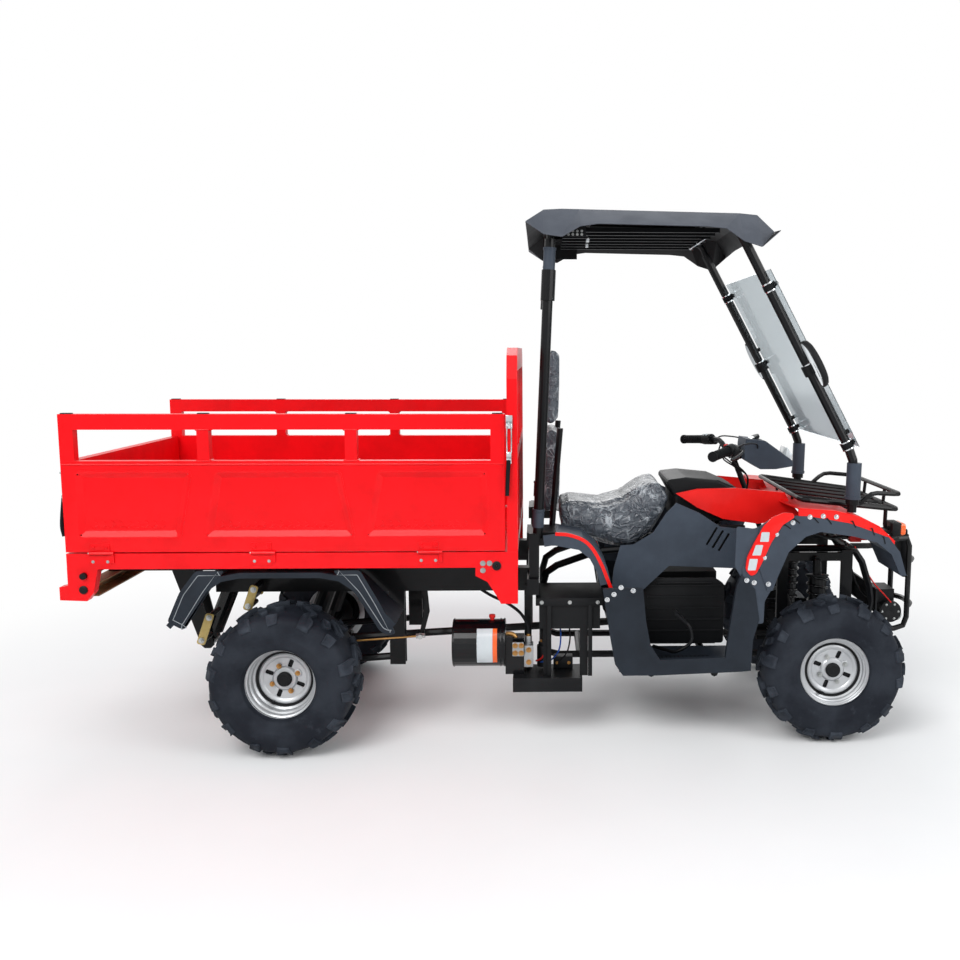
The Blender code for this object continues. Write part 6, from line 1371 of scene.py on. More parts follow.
    def latches(self, side: int, word: str) -> None:
        """Hang an over-centre latch on the headboard's edge and one on the tailgate.

        Args:
            side: -1 for the right, 1 for the left.
            word: that side's name.
        """
        y = side * (BED_SIDE_Y + 0.004)
        shape = bmesh.new()
        x, pin_z, catch_z = -0.030, 1.222, 1.118
        add_box(shape, (x - 0.012, y - 0.0045, 1.205), (x + 0.012, y + 0.0030, 1.252))
        add_tube(shape, [(x, y - 0.006, pin_z), (x, y + side * 0.014, pin_z)], 0.0042, 12)
        for across in (-0.0075, 0.0075):
            loop = [
                (x + across, y + side * 0.010, pin_z),
                (x + across * 1.1, y + side * 0.012, 1.170),
                (x + across, y + side * 0.010, catch_z),
            ]
            add_tube(shape, smooth_line(loop, 5), 0.0028, 10)
        catch = [(x + end, y + side * 0.010, catch_z) for end in (-0.009, 0.009)]
        add_tube(shape, catch, 0.0036, 10)
        add_box(shape, (x - 0.010, y - 0.0045, 1.080), (x + 0.008, y + side * 0.013, 1.122))
        make_piece(f"front_latch_{word}", shape, CHROME, "bed", bevel=0.0012)
        shape = bmesh.new()
        grip = [
            (x - 0.002, y + side * 0.010, 1.092),
            (x - 0.005, y + side * 0.013, 1.040),
            (x - 0.008, y + side * 0.012, 0.965),
        ]
        add_tube(shape, smooth_line(grip, 6), 0.0085, 12, end_radius=0.0072)
        make_piece(f"front_latch_grip_{word}", shape, SOFT_RUBBER, "bed")
        x = BED_REAR_X - 0.006
        y = side * self.latch_y
        shape = bmesh.new()
        add_box(shape, (x - 0.003, y - 0.014, 1.020), (x + 0.008, y + 0.014, 1.072))
        add_box(shape, (x - 0.008, y - 0.010, 0.940), (x + 0.004, y + 0.010, 1.050))
        add_tube(shape, [(x - 0.004, y - 0.018, 1.046), (x - 0.004, y + 0.018, 1.046)], 0.0045, 12)
        add_tube(shape, [(x - 0.004, y - 0.016, 0.958), (x - 0.004, y + 0.016, 0.958)], 0.0040, 12)
        make_piece(f"rear_latch_{word}", shape, ZINC, "tailgate", bevel=0.0012)
        shape = bmesh.new()
        grip = [(x - 0.006, y, 0.962), (x - 0.014, y, 0.900), (x - 0.018, y, 0.850), (x - 0.012, y, 0.815)]
        add_tube(shape, smooth_line(grip, 6), 0.0075, 12, end_radius=0.0085)
        make_piece(f"rear_latch_grip_{word}", shape, SOFT_RUBBER, "tailgate")

    def corner_leg(self, side: int, word: str) -> None:
        """Fasten the front leg's bolts, its bushing and its knurled knob.

        Args:
            side: -1 for the right, 1 for the left.
            word: that side's name.
        """
        face = side * (BED_SIDE_Y + 0.0004)
        bolts = facing_out(((-0.128, 0.716), (-0.104, 0.716), (-0.128, 0.690)), face, side)
        scatter(f"bed_leg_bolts_{word}", hex_head(0.0075, 0.006), bolts, ZINC, "bed")
        leg = (
            (0.0165, 0), (0.0165, 0.009), (0.0140, 0.0105), (0.0085, 0.0105), (0.0075, 0.006),
            (0.001, 0.006), (0.001, 0),
        )
        tail = ((0.0150, 0), (0.0150, 0.007), (0.0120, 0.0090), (0.001, 0.0090), (0.001, 0))
        for name, x, z, profile in (("leg", -0.078, 0.707, leg), ("tail", -1.560, 0.625, tail)):
            shape = bmesh.new()
            place = Matrix.Translation((x, side * (BED_SIDE_Y - 0.004), z))
            add_turned(shape, [(radius, side * along) for radius, along in profile], place, 32)
            make_piece(f"bed_{name}_bushing_{word}", shape, BLACK_CAST, "bed")

    def floor_plate(self) -> None:
        """Stamp a diamond pattern over the bed's floor and run stiffening beads round the tailgate's face."""
        stamp = bmesh.new()
        for lean in (0.785, -0.785):
            turn = Matrix.Translation(
                (0.0, 0.009 * math.copysign(1, lean), 0)
            ) @ Matrix.Rotation(lean, 4, "Z")
            ring_low = [
                turn @ Vector((x, y, -0.0008))
                for x, y in ((-0.011, 0), (0, -0.003), (0.011, 0), (0, 0.003))
            ]
            ring_high = [
                turn @ Vector((x, y, 0.0016))
                for x, y in ((-0.009, 0), (0, -0.002), (0.009, 0), (0, 0.002))
            ]
            add_loft(stamp, [ring_low, ring_high])
        spots = []
        for i in range(38):
            for j in range(28):
                spots.append(((-1.56 + 0.040 * i + 0.02 * (j % 2), -0.49 + 0.0355 * j, 0.7570), (0, 0, 1)))
        scatter("bed_floor_diamonds", make_object("stamp_source", stamp), spots, RED_COAT, "bed")
        shape = bmesh.new()
        x, half, low, high = BED_REAR_X - 0.0005, self.gate_half, 0.84, 1.03
        for z in (low, high):
            add_tube(shape, [(x, -half, z), (x, half, z)], 0.0045, 8)
        for y in (-half, half):
            add_tube(shape, [(x, y, low), (x, y, high)], 0.0045, 8)
        make_piece("tailgate_beads", shape, RED_COAT, "tailgate")

    def build(self) -> None:
        """Build both sides and the floor."""
        for side, word in SIDES:
            self.pressings(side, word)
            self.rails(side, word)
            self.latches(side, word)
            self.corner_leg(side, word)
        self.floor_plate()


@dataclass
class Saddle:
    """The seat and the two backrests, swelled as foam under vinyl and a packing film."""

    crease: float = 0.0045

    def swelled(self, node: str, shrink: float, cap: float, pressure: float, axis: tuple) -> None:
        """Swell a copy of a CAD pad by cloth simulation and let it stand for the node.

        Args:
            node: the CAD node.
            shrink: how far the copy starts inside the node.
            cap: how far a point may move.
            pressure: the pressure inside the cloth.
            axis: how much of the swelling each direction keeps.
        """
        low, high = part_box(node)
        shape = bmesh.new()
        shape.from_mesh(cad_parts[node].data)
        obj = make_object(f"{node}_cushion", shape, merge=True)
        middle = (low + high) / 2
        size = high - low
        scale = [max(0.4, 1 - 2 * shrink / size[axis_index]) for axis_index in range(3)]
        for vert in obj.data.vertices:
            vert.co = Vector([middle[k] + (vert.co[k] - middle[k]) * scale[k] for k in range(3)])
        remesh = obj.modifiers.new("skin", "REMESH")
        remesh.mode = "VOXEL"
        remesh.voxel_size = 0.006
        applied(obj)
        smooth = obj.modifiers.new("even", "SMOOTH")
        smooth.factor = 0.6
        smooth.iterations = 5
        applied(obj)
        rest = [vert.co.copy() for vert in obj.data.vertices]
        cloth = obj.modifiers.new("swell", "CLOTH")
        cloth.settings.use_pressure = True
        cloth.settings.uniform_pressure_force = pressure
        cloth.settings.effector_weights.gravity = 0.0
        cloth.settings.quality = 5
        cloth.settings.tension_stiffness = 12
        cloth.settings.compression_stiffness = 12
        cloth.point_cache.frame_start = 1
        cloth.point_cache.frame_end = 20
        for step in range(1, 21):
            bpy.context.scene.frame_set(step)
        applied(obj)
        bpy.context.scene.frame_set(1)
        for vert, start in zip(obj.data.vertices, rest):
            move = vert.co - start
            if move.length > cap:
                move *= cap / move.length
            vert.co = start + Vector([move[k] * axis[k] for k in range(3)])
            fold = noise(Vector((vert.co.x * 14, vert.co.y * 9, vert.co.z * 14))) + 0.5 * noise(vert.co * 37)
            vert.co += (vert.co - middle).normalized() * fold * self.crease * 0.6
            vert.co = Vector([min(max(vert.co[k], low[k] - 0.004), high[k] + 0.004) for k in range(3)])
        finer = obj.modifiers.new("finer", "SUBSURF")
        finer.levels = 1
        finer.render_levels = 1
        applied(obj)
        dress(obj, WRAPPED_VINYL, "chassis", replaces=(node,), angle=80)

    def build(self) -> None:
        """Build the seat and the two backrests."""
        self.swelled("seat", 0.006, 0.012, 4.0, (0.5, 0.6, 1.0))
        self.swelled("backrest_lower", 0.006, 0.016, 4.0, (1.0, 0.4, 0.4))
        self.swelled("backrest_upper", 0.005, 0.014, 4.0, (1.0, 0.4, 0.4))


@dataclass
class Canopy:
    """The roof cap with its rolled edge, its black ribbed lining and straps, the clamps and the mirrors."""

    roof_x: tuple = (0.030, 0.930)
    post_y: float = 0.400
    ceiling_z: float = 1.938
    mirror_half: tuple = (0.0555, 0.0935)
    glass_half: tuple = (0.0540, 0.0915)
    housing: tuple = (
        (0.90, -0.0150), (0.985, -0.0140), (1.0, -0.0100), (0.985, -0.002),
        (0.93, 0.006), (0.80, 0.0115), (0.55, 0.0145), (0.2, 0.0152),
    )
    glass: tuple = ((0.93, -0.0146), (0.93, -0.0162), (0.91, -0.0166))
    mirror_points: int = 40
    clamps_near: tuple = ((0.920, 1.711), (1.080, 1.419), (1.230, 1.130))

    def roof(self) -> None:
        """Round the roof's corners in a copy that stands for it, grey outside and black inside."""
        shape = bmesh.new()
        shape.from_mesh(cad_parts["canopy_roof"].data)
        obj = make_object("roof_cap", shape, merge=True)
        edge = obj.modifiers.new("edge", "BEVEL")
        edge.width = 0.016
        edge.segments = 4
        edge.limit_method = "ANGLE"
        edge.angle_limit = math.radians(10)
        applied(obj)
        dress(obj, ROOF_PP, "chassis", replaces=("canopy_roof",), angle=50)
        obj.data.materials.append(material_of(BLACK_ABS))
        middle = Vector((sum(self.roof_x) / 2, 0, 1.80))
        for face in obj.data.polygons:
            inwards = face.normal.dot((middle - face.center).normalized())
            face.material_index = 1 if inwards > 0.12 else 0

    def lining(self) -> None:
        """Fit the black ribs, the chrome straps and the perforated plates under the roof."""
        x0, x1 = self.roof_x
        source = bmesh.new()
        add_box(source, (x0 + 0.14, -0.006, 1.915), (x1 - 0.18, 0.006, 1.932))
        row(
            "roof_lining_ribs", make_object("rib_source", source), (0.0, -0.312, 0.0),
            (0.0, 0.104, 0.0), 7, BLACK_COAT, "chassis",
        )
        shape = bmesh.new()
        for x, y in ((0.262, -0.112), (0.268, 0.088)):
            add_box(shape, (x, y, 1.902), (x + 0.012, y + 0.024, self.ceiling_z))
        for y in (-0.10, 0.10):
            add_tube(shape, [(0.756, y, self.ceiling_z), (0.700, y, 1.896)], 0.0055, 10)
        make_piece("roof_straps", shape, CHROME, "chassis", bevel=0.001)
        plates = bmesh.new()
        for side in (-1, 1):
            add_box(plates, (x0 + 0.090, side * 0.4385, 1.884), (x0 + 0.216, side * 0.4415, 1.945))
        make_piece("roof_side_plates", plates, BLACK_ABS, "chassis")
        grid = [(x0 + 0.105 + 0.016 * i, 1.892 + 0.012 * j) for i in range(7) for j in range(2)]
        holes = [hole for side in (-1, 1) for hole in facing_out(grid, side * 0.4415, side)]
        source = bmesh.new()
        profile = ((0.0048, 0), (0.0048, 0.0012), (0.0030, 0.0012), (0.0030, 0.0004))
        add_loft(source, [circle(radius, height, 10) for radius, height in profile])
        scatter("roof_perforations", make_object("hole_source", source), holes, ZINC, "chassis")

    def posts(self) -> None:
        """Sleeve the rear posts, collar the front ones and clamp the windshield."""
        for side, word in SIDES:
            y = side * self.post_y
            shape = bmesh.new()
            foot, top = Vector((0.070, y, 0.800)), Vector((0.118, y, 1.880))
            for low, high in ((0.865, 0.965), (0.02, 0.075)):
                add_tube(shape, [foot.lerp(top, low), foot.lerp(top, high)], 0.0222, 20)
            for share in (0.862, 0.968, 0.080):
                add_tube(shape, [foot.lerp(top, share - 0.004), foot.lerp(top, share + 0.004)], 0.0240, 20)
            make_piece(f"rear_post_sleeves_{word}", shape, GREY_PP, "chassis")
            shape = bmesh.new()
            add_tube(shape, [Vector((1.2595, y, 0.925)), Vector((1.2615, y, 1.062))], 0.0272, 24)
            add_tube(shape, [Vector((1.2595, y, 0.925)), Vector((1.2597, y, 0.936))], 0.0300, 20)
            make_piece(f"front_post_collar_{word}", shape, GREY_PP, "chassis")
            shape, bands = bmesh.new(), bmesh.new()
            knobs = []
            for x, z in self.clamps_near:
                run = Vector((-0.447, 0, 0.825)).normalized()
                middle = Vector((x, y, z))
                add_tube(shape, [middle - run * 0.016, middle + run * 0.016], 0.0225, 18)
                for end in (-0.0145, 0.0145):
                    add_tube(
                        bands, [middle + run * (end - 0.0022), middle + run * (end + 0.0022)], 0.0236, 20
                    )
                out = Vector((run.z, 0, -run.x))
                add_tube(shape, [middle, middle + out * 0.032], 0.0085, 12)
                knobs.append((middle + out * 0.0315, tuple(out)))
            make_piece(f"shield_clamps_{word}", shape, SOFT_RUBBER, "chassis")
            make_piece(f"shield_clamp_bands_{word}", bands, CHROME, "chassis")
            scatter(f"shield_clamp_screws_{word}", hex_head(0.0065, 0.005), knobs, ZINC, "chassis")

    def oval(self, centre: Vector, up: Vector, out: Vector, half: tuple, share: float, depth: float) -> list:
        """The points of a mirror's oval.

        Args:
            centre: its middle.
            up: the direction of its long axis.
            out: the direction that its back faces.
            half: half its width and half its height.
            share: its size as a share of those.
            depth: how far out it lies.

        Returns:
            The points.
        """
        wide, tall = half
        made = []
        for step in range(self.mirror_points):
            turn = math.tau * step / self.mirror_points
            sideways = Vector((0, wide * share * math.cos(turn), 0))
            made.append(centre + sideways + up * (tall * share * math.sin(turn)) + out * depth)
        return made

    def mirrors(self) -> None:
        """Build each mirror as an oval housing on its arm, with silvered glass in its rear face."""
        up = Vector((-0.4764, 0, 0.8792))
        out = Vector((0.8792, 0, 0.4764))
        for side, word in SIDES:
            centre = Vector((1.078, side * 0.490, 1.437))
            shape = bmesh.new()
            add_loft(
                shape,
                [
                    self.oval(centre, up, out, self.mirror_half, share, depth)
                    for share, depth in self.housing
                ],
            )
            post = Vector((1.066, side * self.post_y, 1.437)) - up * 0.030
            arm = [post, post + Vector((0.020, side * 0.030, -0.004)), centre - up * 0.030]
            add_tube(shape, smooth_line(arm, 5), 0.0085, 12)
            add_tube(shape, [post - up * 0.020, post + up * 0.020], 0.0262, 20)
            make_piece(f"mirror_housing_{word}", shape, BLACK_ABS, "chassis", replaces=(f"mirror_{word}",))
            shape = bmesh.new()
            add_loft(
                shape,
                [self.oval(centre, up, out, self.glass_half, share, depth) for share, depth in self.glass],
            )
            make_piece(f"mirror_glass_{word}", shape, MIRROR_GLASS, "chassis")

    def build(self) -> None:
        """Build the roof's pieces."""
        self.roof()
        self.lining()
        self.posts()
        self.mirrors()


@dataclass
class RunningGear:
    """The mud flaps, the shackle plates, the springs and the brake rod."""

    flap_y: float = 0.5395
    line_half: float = 0.0012
    shackle_y: float = 0.395
    rod_y: float = -0.300
    rear_flap: tuple = (
        (-1.163, 0.690), (-1.060, 0.690), (-1.128, 0.600), (-1.206, 0.480), (-1.222, 0.474),
        (-1.273, 0.502), (-1.225, 0.610),
    )
    front_flap: tuple = (
        (-0.672, 0.690), (-0.573, 0.690), (-0.506, 0.570), (-0.448, 0.452), (-0.478, 0.448),
        (-0.506, 0.462), (-0.590, 0.600),
    )

    def flaps(self, side: int, word: str) -> None:
        """Close each mudguard's ends with its broad side lips and their raised border lines.

        Args:
            side: -1 for the right, 1 for the left.
            word: that side's name.
        """
        for name, outline in (("rear", self.rear_flap), ("front", self.front_flap)):
            loop = rounded_loop(list(outline), 0.012, 3)
            shape = bmesh.new()
            add_prism(shape, loop, side * self.flap_y, side * (self.flap_y - 0.005))
            make_piece(f"{name}_flap_lip_{word}", shape, DARK_PP, "chassis", bevel=0.0012)
            shape = bmesh.new()
            base, face, half = side * self.flap_y, side * (self.flap_y + self.line_half), self.line_half
            section = ((-half, base), (-half, face), (half, face), (half, base))
            skirt(shape, offset_loop(loop, 0.017), section)
            make_piece(f"{name}_flap_line_{word}", shape, STITCH, "chassis")

    def shackles(self, side: int, word: str) -> None:
        """Bolt the yellow zinc shackle plates and their dark hangers under the beams.

        Args:
            side: -1 for the right, 1 for the left.
            word: that side's name.
        """
        y, inner = side * self.shackle_y, side * 0.285
        plates = (
            ((-1.182, 0.496), (-1.150, 0.490), (-1.192, 0.369), (-1.224, 0.377)),
            ((-1.011, 0.605), (-0.981, 0.597), (-1.012, 0.500), (-1.045, 0.510)),
        )
        shape, bolts, hanger = bmesh.new(), [], bmesh.new()
        for outline in plates:
            add_prism(shape, rounded_loop(list(outline), 0.010, 3), y, y - side * 0.005)
            for ends in ((0, 1), (2, 3)):
                middle = [(outline[ends[0]][k] + outline[ends[1]][k]) / 2 for k in range(2)]
                inset = -0.016 if ends == (0, 1) else 0.016
                bolts.append(((middle[0] + inset * 0.3, y + side * 0.0006, middle[1] + inset), (0, side, 0)))
            for first, second, shift, rise in ((2, 3, 0.004, 0.014), (0, 1, -0.004, -0.014)):
                x = (outline[first][0] + outline[second][0]) / 2 + shift
                z = outline[first][1] + rise
                add_tube(hanger, [(x, y - side * 0.006, z), (x, inner, z)], 0.010, 14)
        make_piece(f"shackle_plates_{word}", shape, YELLOW_ZINC, "chassis", bevel=0.001)
        make_piece(f"shackle_pins_{word}", hanger, BLACK_CAST, "chassis")
        scatter(f"shackle_bolts_{word}", hex_head(0.0085, 0.008), bolts, ZINC, "chassis")

    def springs(self, side: int, word: str) -> None:
        """Wind the coil spring over a front shock.

        Args:
            side: -1 for the right, 1 for the left.
            word: that side's name.
        """
        low, high = Vector((FRONT_AXLE_X, side * 0.265, 0.223)), Vector((FRONT_AXLE_X, side * 0.205, 0.651))
        foot, top = low.lerp(high, 0.24), low.lerp(high, 0.85)
        coil(f"front_spring_{word}", foot, top, 0.0385, 0.0052, 8.0, BLACK_ENAMEL, "chassis")
        shape = bmesh.new()
        for share in (0.23, 0.855):
            add_tube(shape, [low.lerp(high, share - 0.008), low.lerp(high, share + 0.008)], 0.046, 28)
        make_piece(f"front_spring_seats_{word}", shape, BLACK_CAST, "chassis", bevel=0.002)

    def brake_rod(self) -> None:
        """Run the copper-coloured brake rod to its lever."""
        shape, y = bmesh.new(), self.rod_y
        add_tube(shape, [(-0.700, y, 0.352), (-0.391, y, 0.374)], 0.0042, 10)
        make_piece("brake_rod", shape, BRASS, "chassis")
        shape = bmesh.new()
        add_tube(shape, [(-0.405, y, 0.373), (-0.372, y, 0.3755)], 0.0105, 6)
        add_tube(shape, [(-0.388, -0.318, 0.374), (-0.388, -0.282, 0.374)], 0.0095, 14)
        make_piece("brake_rod_clevis", shape, ZINC, "chassis")
        shape = bmesh.new()
        add_prism(
            shape,
            [
                (-0.396, 0.366), (-0.380, 0.366), (-0.352, 0.470), (-0.360, 0.560),
                (-0.384, 0.560), (-0.376, 0.470),
            ],
            -0.285,
            -0.291,
        )
        make_piece("brake_lever", shape, BLACK_COAT, "chassis", bevel=0.0012)

    def build(self) -> None:
        """Build both sides and the brake rod."""
        for side, word in SIDES:
            self.flaps(side, word)
            self.shackles(side, word)
            self.springs(side, word)
        self.brake_rod()


@dataclass
class PowerPack:
    """The hydraulic unit's seams, label and fittings, its hose and leads, and the battery box's lid."""

    y: float = -0.365
    z: float = 0.367
    radius: float = 0.090
    span: tuple = (-0.254, -0.054)
    # The hose and the leads, each as (name, thickness, finish, stiffness, points).
    cords: tuple = (
        ("pump_hose", 0.012, SOFT_RUBBER, "stiff", (
            (0.034, -0.385, 0.405), (0.030, -0.382, 0.440), (0.002, -0.365, 0.482),
            (-0.050, -0.330, 0.512), (-0.110, -0.302, 0.534), (-0.150, -0.292, 0.556),
        )),
        ("pump_lead_red", 0.007, RED_PVC, "medium", (
            (0.120, -0.360, 0.428), (0.116, -0.372, 0.390), (0.104, -0.378, 0.345),
            (0.085, -0.372, 0.305), (0.062, -0.362, 0.290),
        )),
        ("pump_lead_blue", 0.006, BLUE_PVC, "medium", (
            (0.155, -0.350, 0.428), (0.158, -0.366, 0.385), (0.150, -0.374, 0.335),
            (0.120, -0.370, 0.296), (0.080, -0.352, 0.282),
        )),
        ("pump_lead_black", 0.006, BLACK_PVC, "medium", (
            (0.190, -0.345, 0.428), (0.194, -0.358, 0.380), (0.182, -0.364, 0.325),
            (0.150, -0.352, 0.280), (0.140, -0.340, 0.254),
        )),
    )

    def tank(self) -> None:
        """Roll the tank's end seams, wrap its blank label and screw in its cap."""
        shape = bmesh.new()
        for x in (self.span[0] + 0.004, self.span[1] - 0.004, self.span[1] - 0.018):
            seam = circle(self.radius - 0.001, x, 48)
            ring_points = [(along, self.y + across, self.z + up) for across, up, along in seam]
            add_tube(shape, ring_points, 0.0036, 8, closed=True)
        make_piece("tank_end_seams", shape, BLACK_ENAMEL, "chassis")
        outer, inner = self.radius + 0.0012, self.radius - 0.0006
        labels = (("tank_label", LABEL, -0.160, -0.101), ("tank_label_band", ORANGE_BAND, -0.1005, -0.084))
        for name, finish, x0, x1 in labels:
            shape = bmesh.new()
            section = ((x0, inner), (x1, inner), (x1, outer), (x0, outer))
            rings = []
            for step in range(17):
                turn = math.radians(-130 + 90 * step / 16)
                across, up = math.sin(turn), math.cos(turn)
                rings.append([(x, self.y + size * across, self.z + size * up) for x, size in section])
            add_loft(shape, rings)
            make_piece(name, shape, finish, "chassis")
        shape = bmesh.new()
        add_tube(shape, [(-0.105, self.y, 0.452), (-0.105, self.y, 0.464)], 0.0085, 16)
        add_tube(shape, [(-0.105, self.y, 0.464), (-0.105, self.y, 0.476)], 0.0125, 12)
        make_piece("tank_cap", shape, RED_PVC, "chassis", bevel=0.001)

    def fittings(self) -> None:
        """Stack the manifold's blocks, its plugs, its elbow, the pump's hose and leads, and its motor."""
        shape = bmesh.new()
        add_box(shape, (0.0172, -0.415, 0.282), (0.052, -0.355, 0.367))
        add_box(shape, (-0.0268, -0.432, 0.330), (0.0165, -0.421, 0.384))
        add_tube(shape, [(0.034, -0.385, 0.366), (0.034, -0.385, 0.398)], 0.013, 16)
        make_piece("manifold_blocks", shape, ALUMINIUM, "chassis", bevel=0.002)
        plugs = facing_out(((-0.016, 0.372), (0.007, 0.372), (-0.016, 0.343), (0.007, 0.343)), -0.4315, -1)
        plugs += facing_out(((0.035, 0.350), (0.035, 0.302)), -0.4148, -1)
        plugs += [((0.034, -0.385, 0.3975), (0, 0, 1))]
        scatter("manifold_plugs", hex_head(0.0078, 0.008), plugs, BRASS, "chassis")
        shape = bmesh.new()
        add_tube(
            shape,
            smooth_line(
                [
                    (-0.052, -0.380, 0.405), (-0.030, -0.381, 0.404), (-0.016, -0.382, 0.392),
                    (-0.012, -0.383, 0.368),
                ],
                6,
            ),
            0.0085,
            14,
        )
        make_piece("manifold_elbow", shape, BRASS, "chassis")
        for name, thickness, finish, stiffness, line in self.cords:
            lay_cord(name, list(line), thickness, finish, "chassis")
        shape = bmesh.new()
        add_tube(shape, [(0.092, -0.330, 0.262), (0.092, -0.330, 0.345)], 0.026, 24)
        add_tube(shape, [(0.092, -0.330, 0.345), (0.092, -0.330, 0.358)], 0.020, 24)
        add_box(shape, (0.130, -0.345, 0.252), (0.205, -0.300, 0.300))
        make_piece("pump_motor", shape, BLACK_CAST, "chassis", bevel=0.002)
        terminals = [((0.092 + shift, -0.330, 0.3575), (0, 0, 1)) for shift in (-0.010, 0.010)]
        terminals += facing_out(((0.145, 0.276), (0.190, 0.276)), -0.345, -1)
        scatter("pump_terminals", hex_head(0.0050, 0.006), terminals, BRASS, "chassis")

    def battery(self) -> None:
        """Give the battery box its lid, its strap and its screws."""
        low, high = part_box("battery_box")
        shape = bmesh.new()
        add_box(
            shape,
            (low.x - 0.003, low.y - 0.003, high.z - 0.026),
            (high.x + 0.003, high.y + 0.001, high.z + 0.003),
        )
        for x in (low.x + 0.040, high.x - 0.056):
            add_box(shape, (x, low.y - 0.0045, low.z + 0.002), (x + 0.016, low.y + 0.001, high.z - 0.024))
        make_piece("battery_lid", shape, BLACK_ABS, "chassis", bevel=0.002)
        places = [(x, high.z - 0.013) for x in (low.x + 0.020, (low.x + high.x) / 2, high.x - 0.020)]
        screws = facing_out(places, low.y - 0.0030, -1)
        scatter("battery_screws", screw_head(0.0055, 0.0035, 0.0075), screws, ZINC, "chassis")

    def build(self) -> None:
        """Build the unit."""
        self.tank()
        self.fittings()
        self.battery()


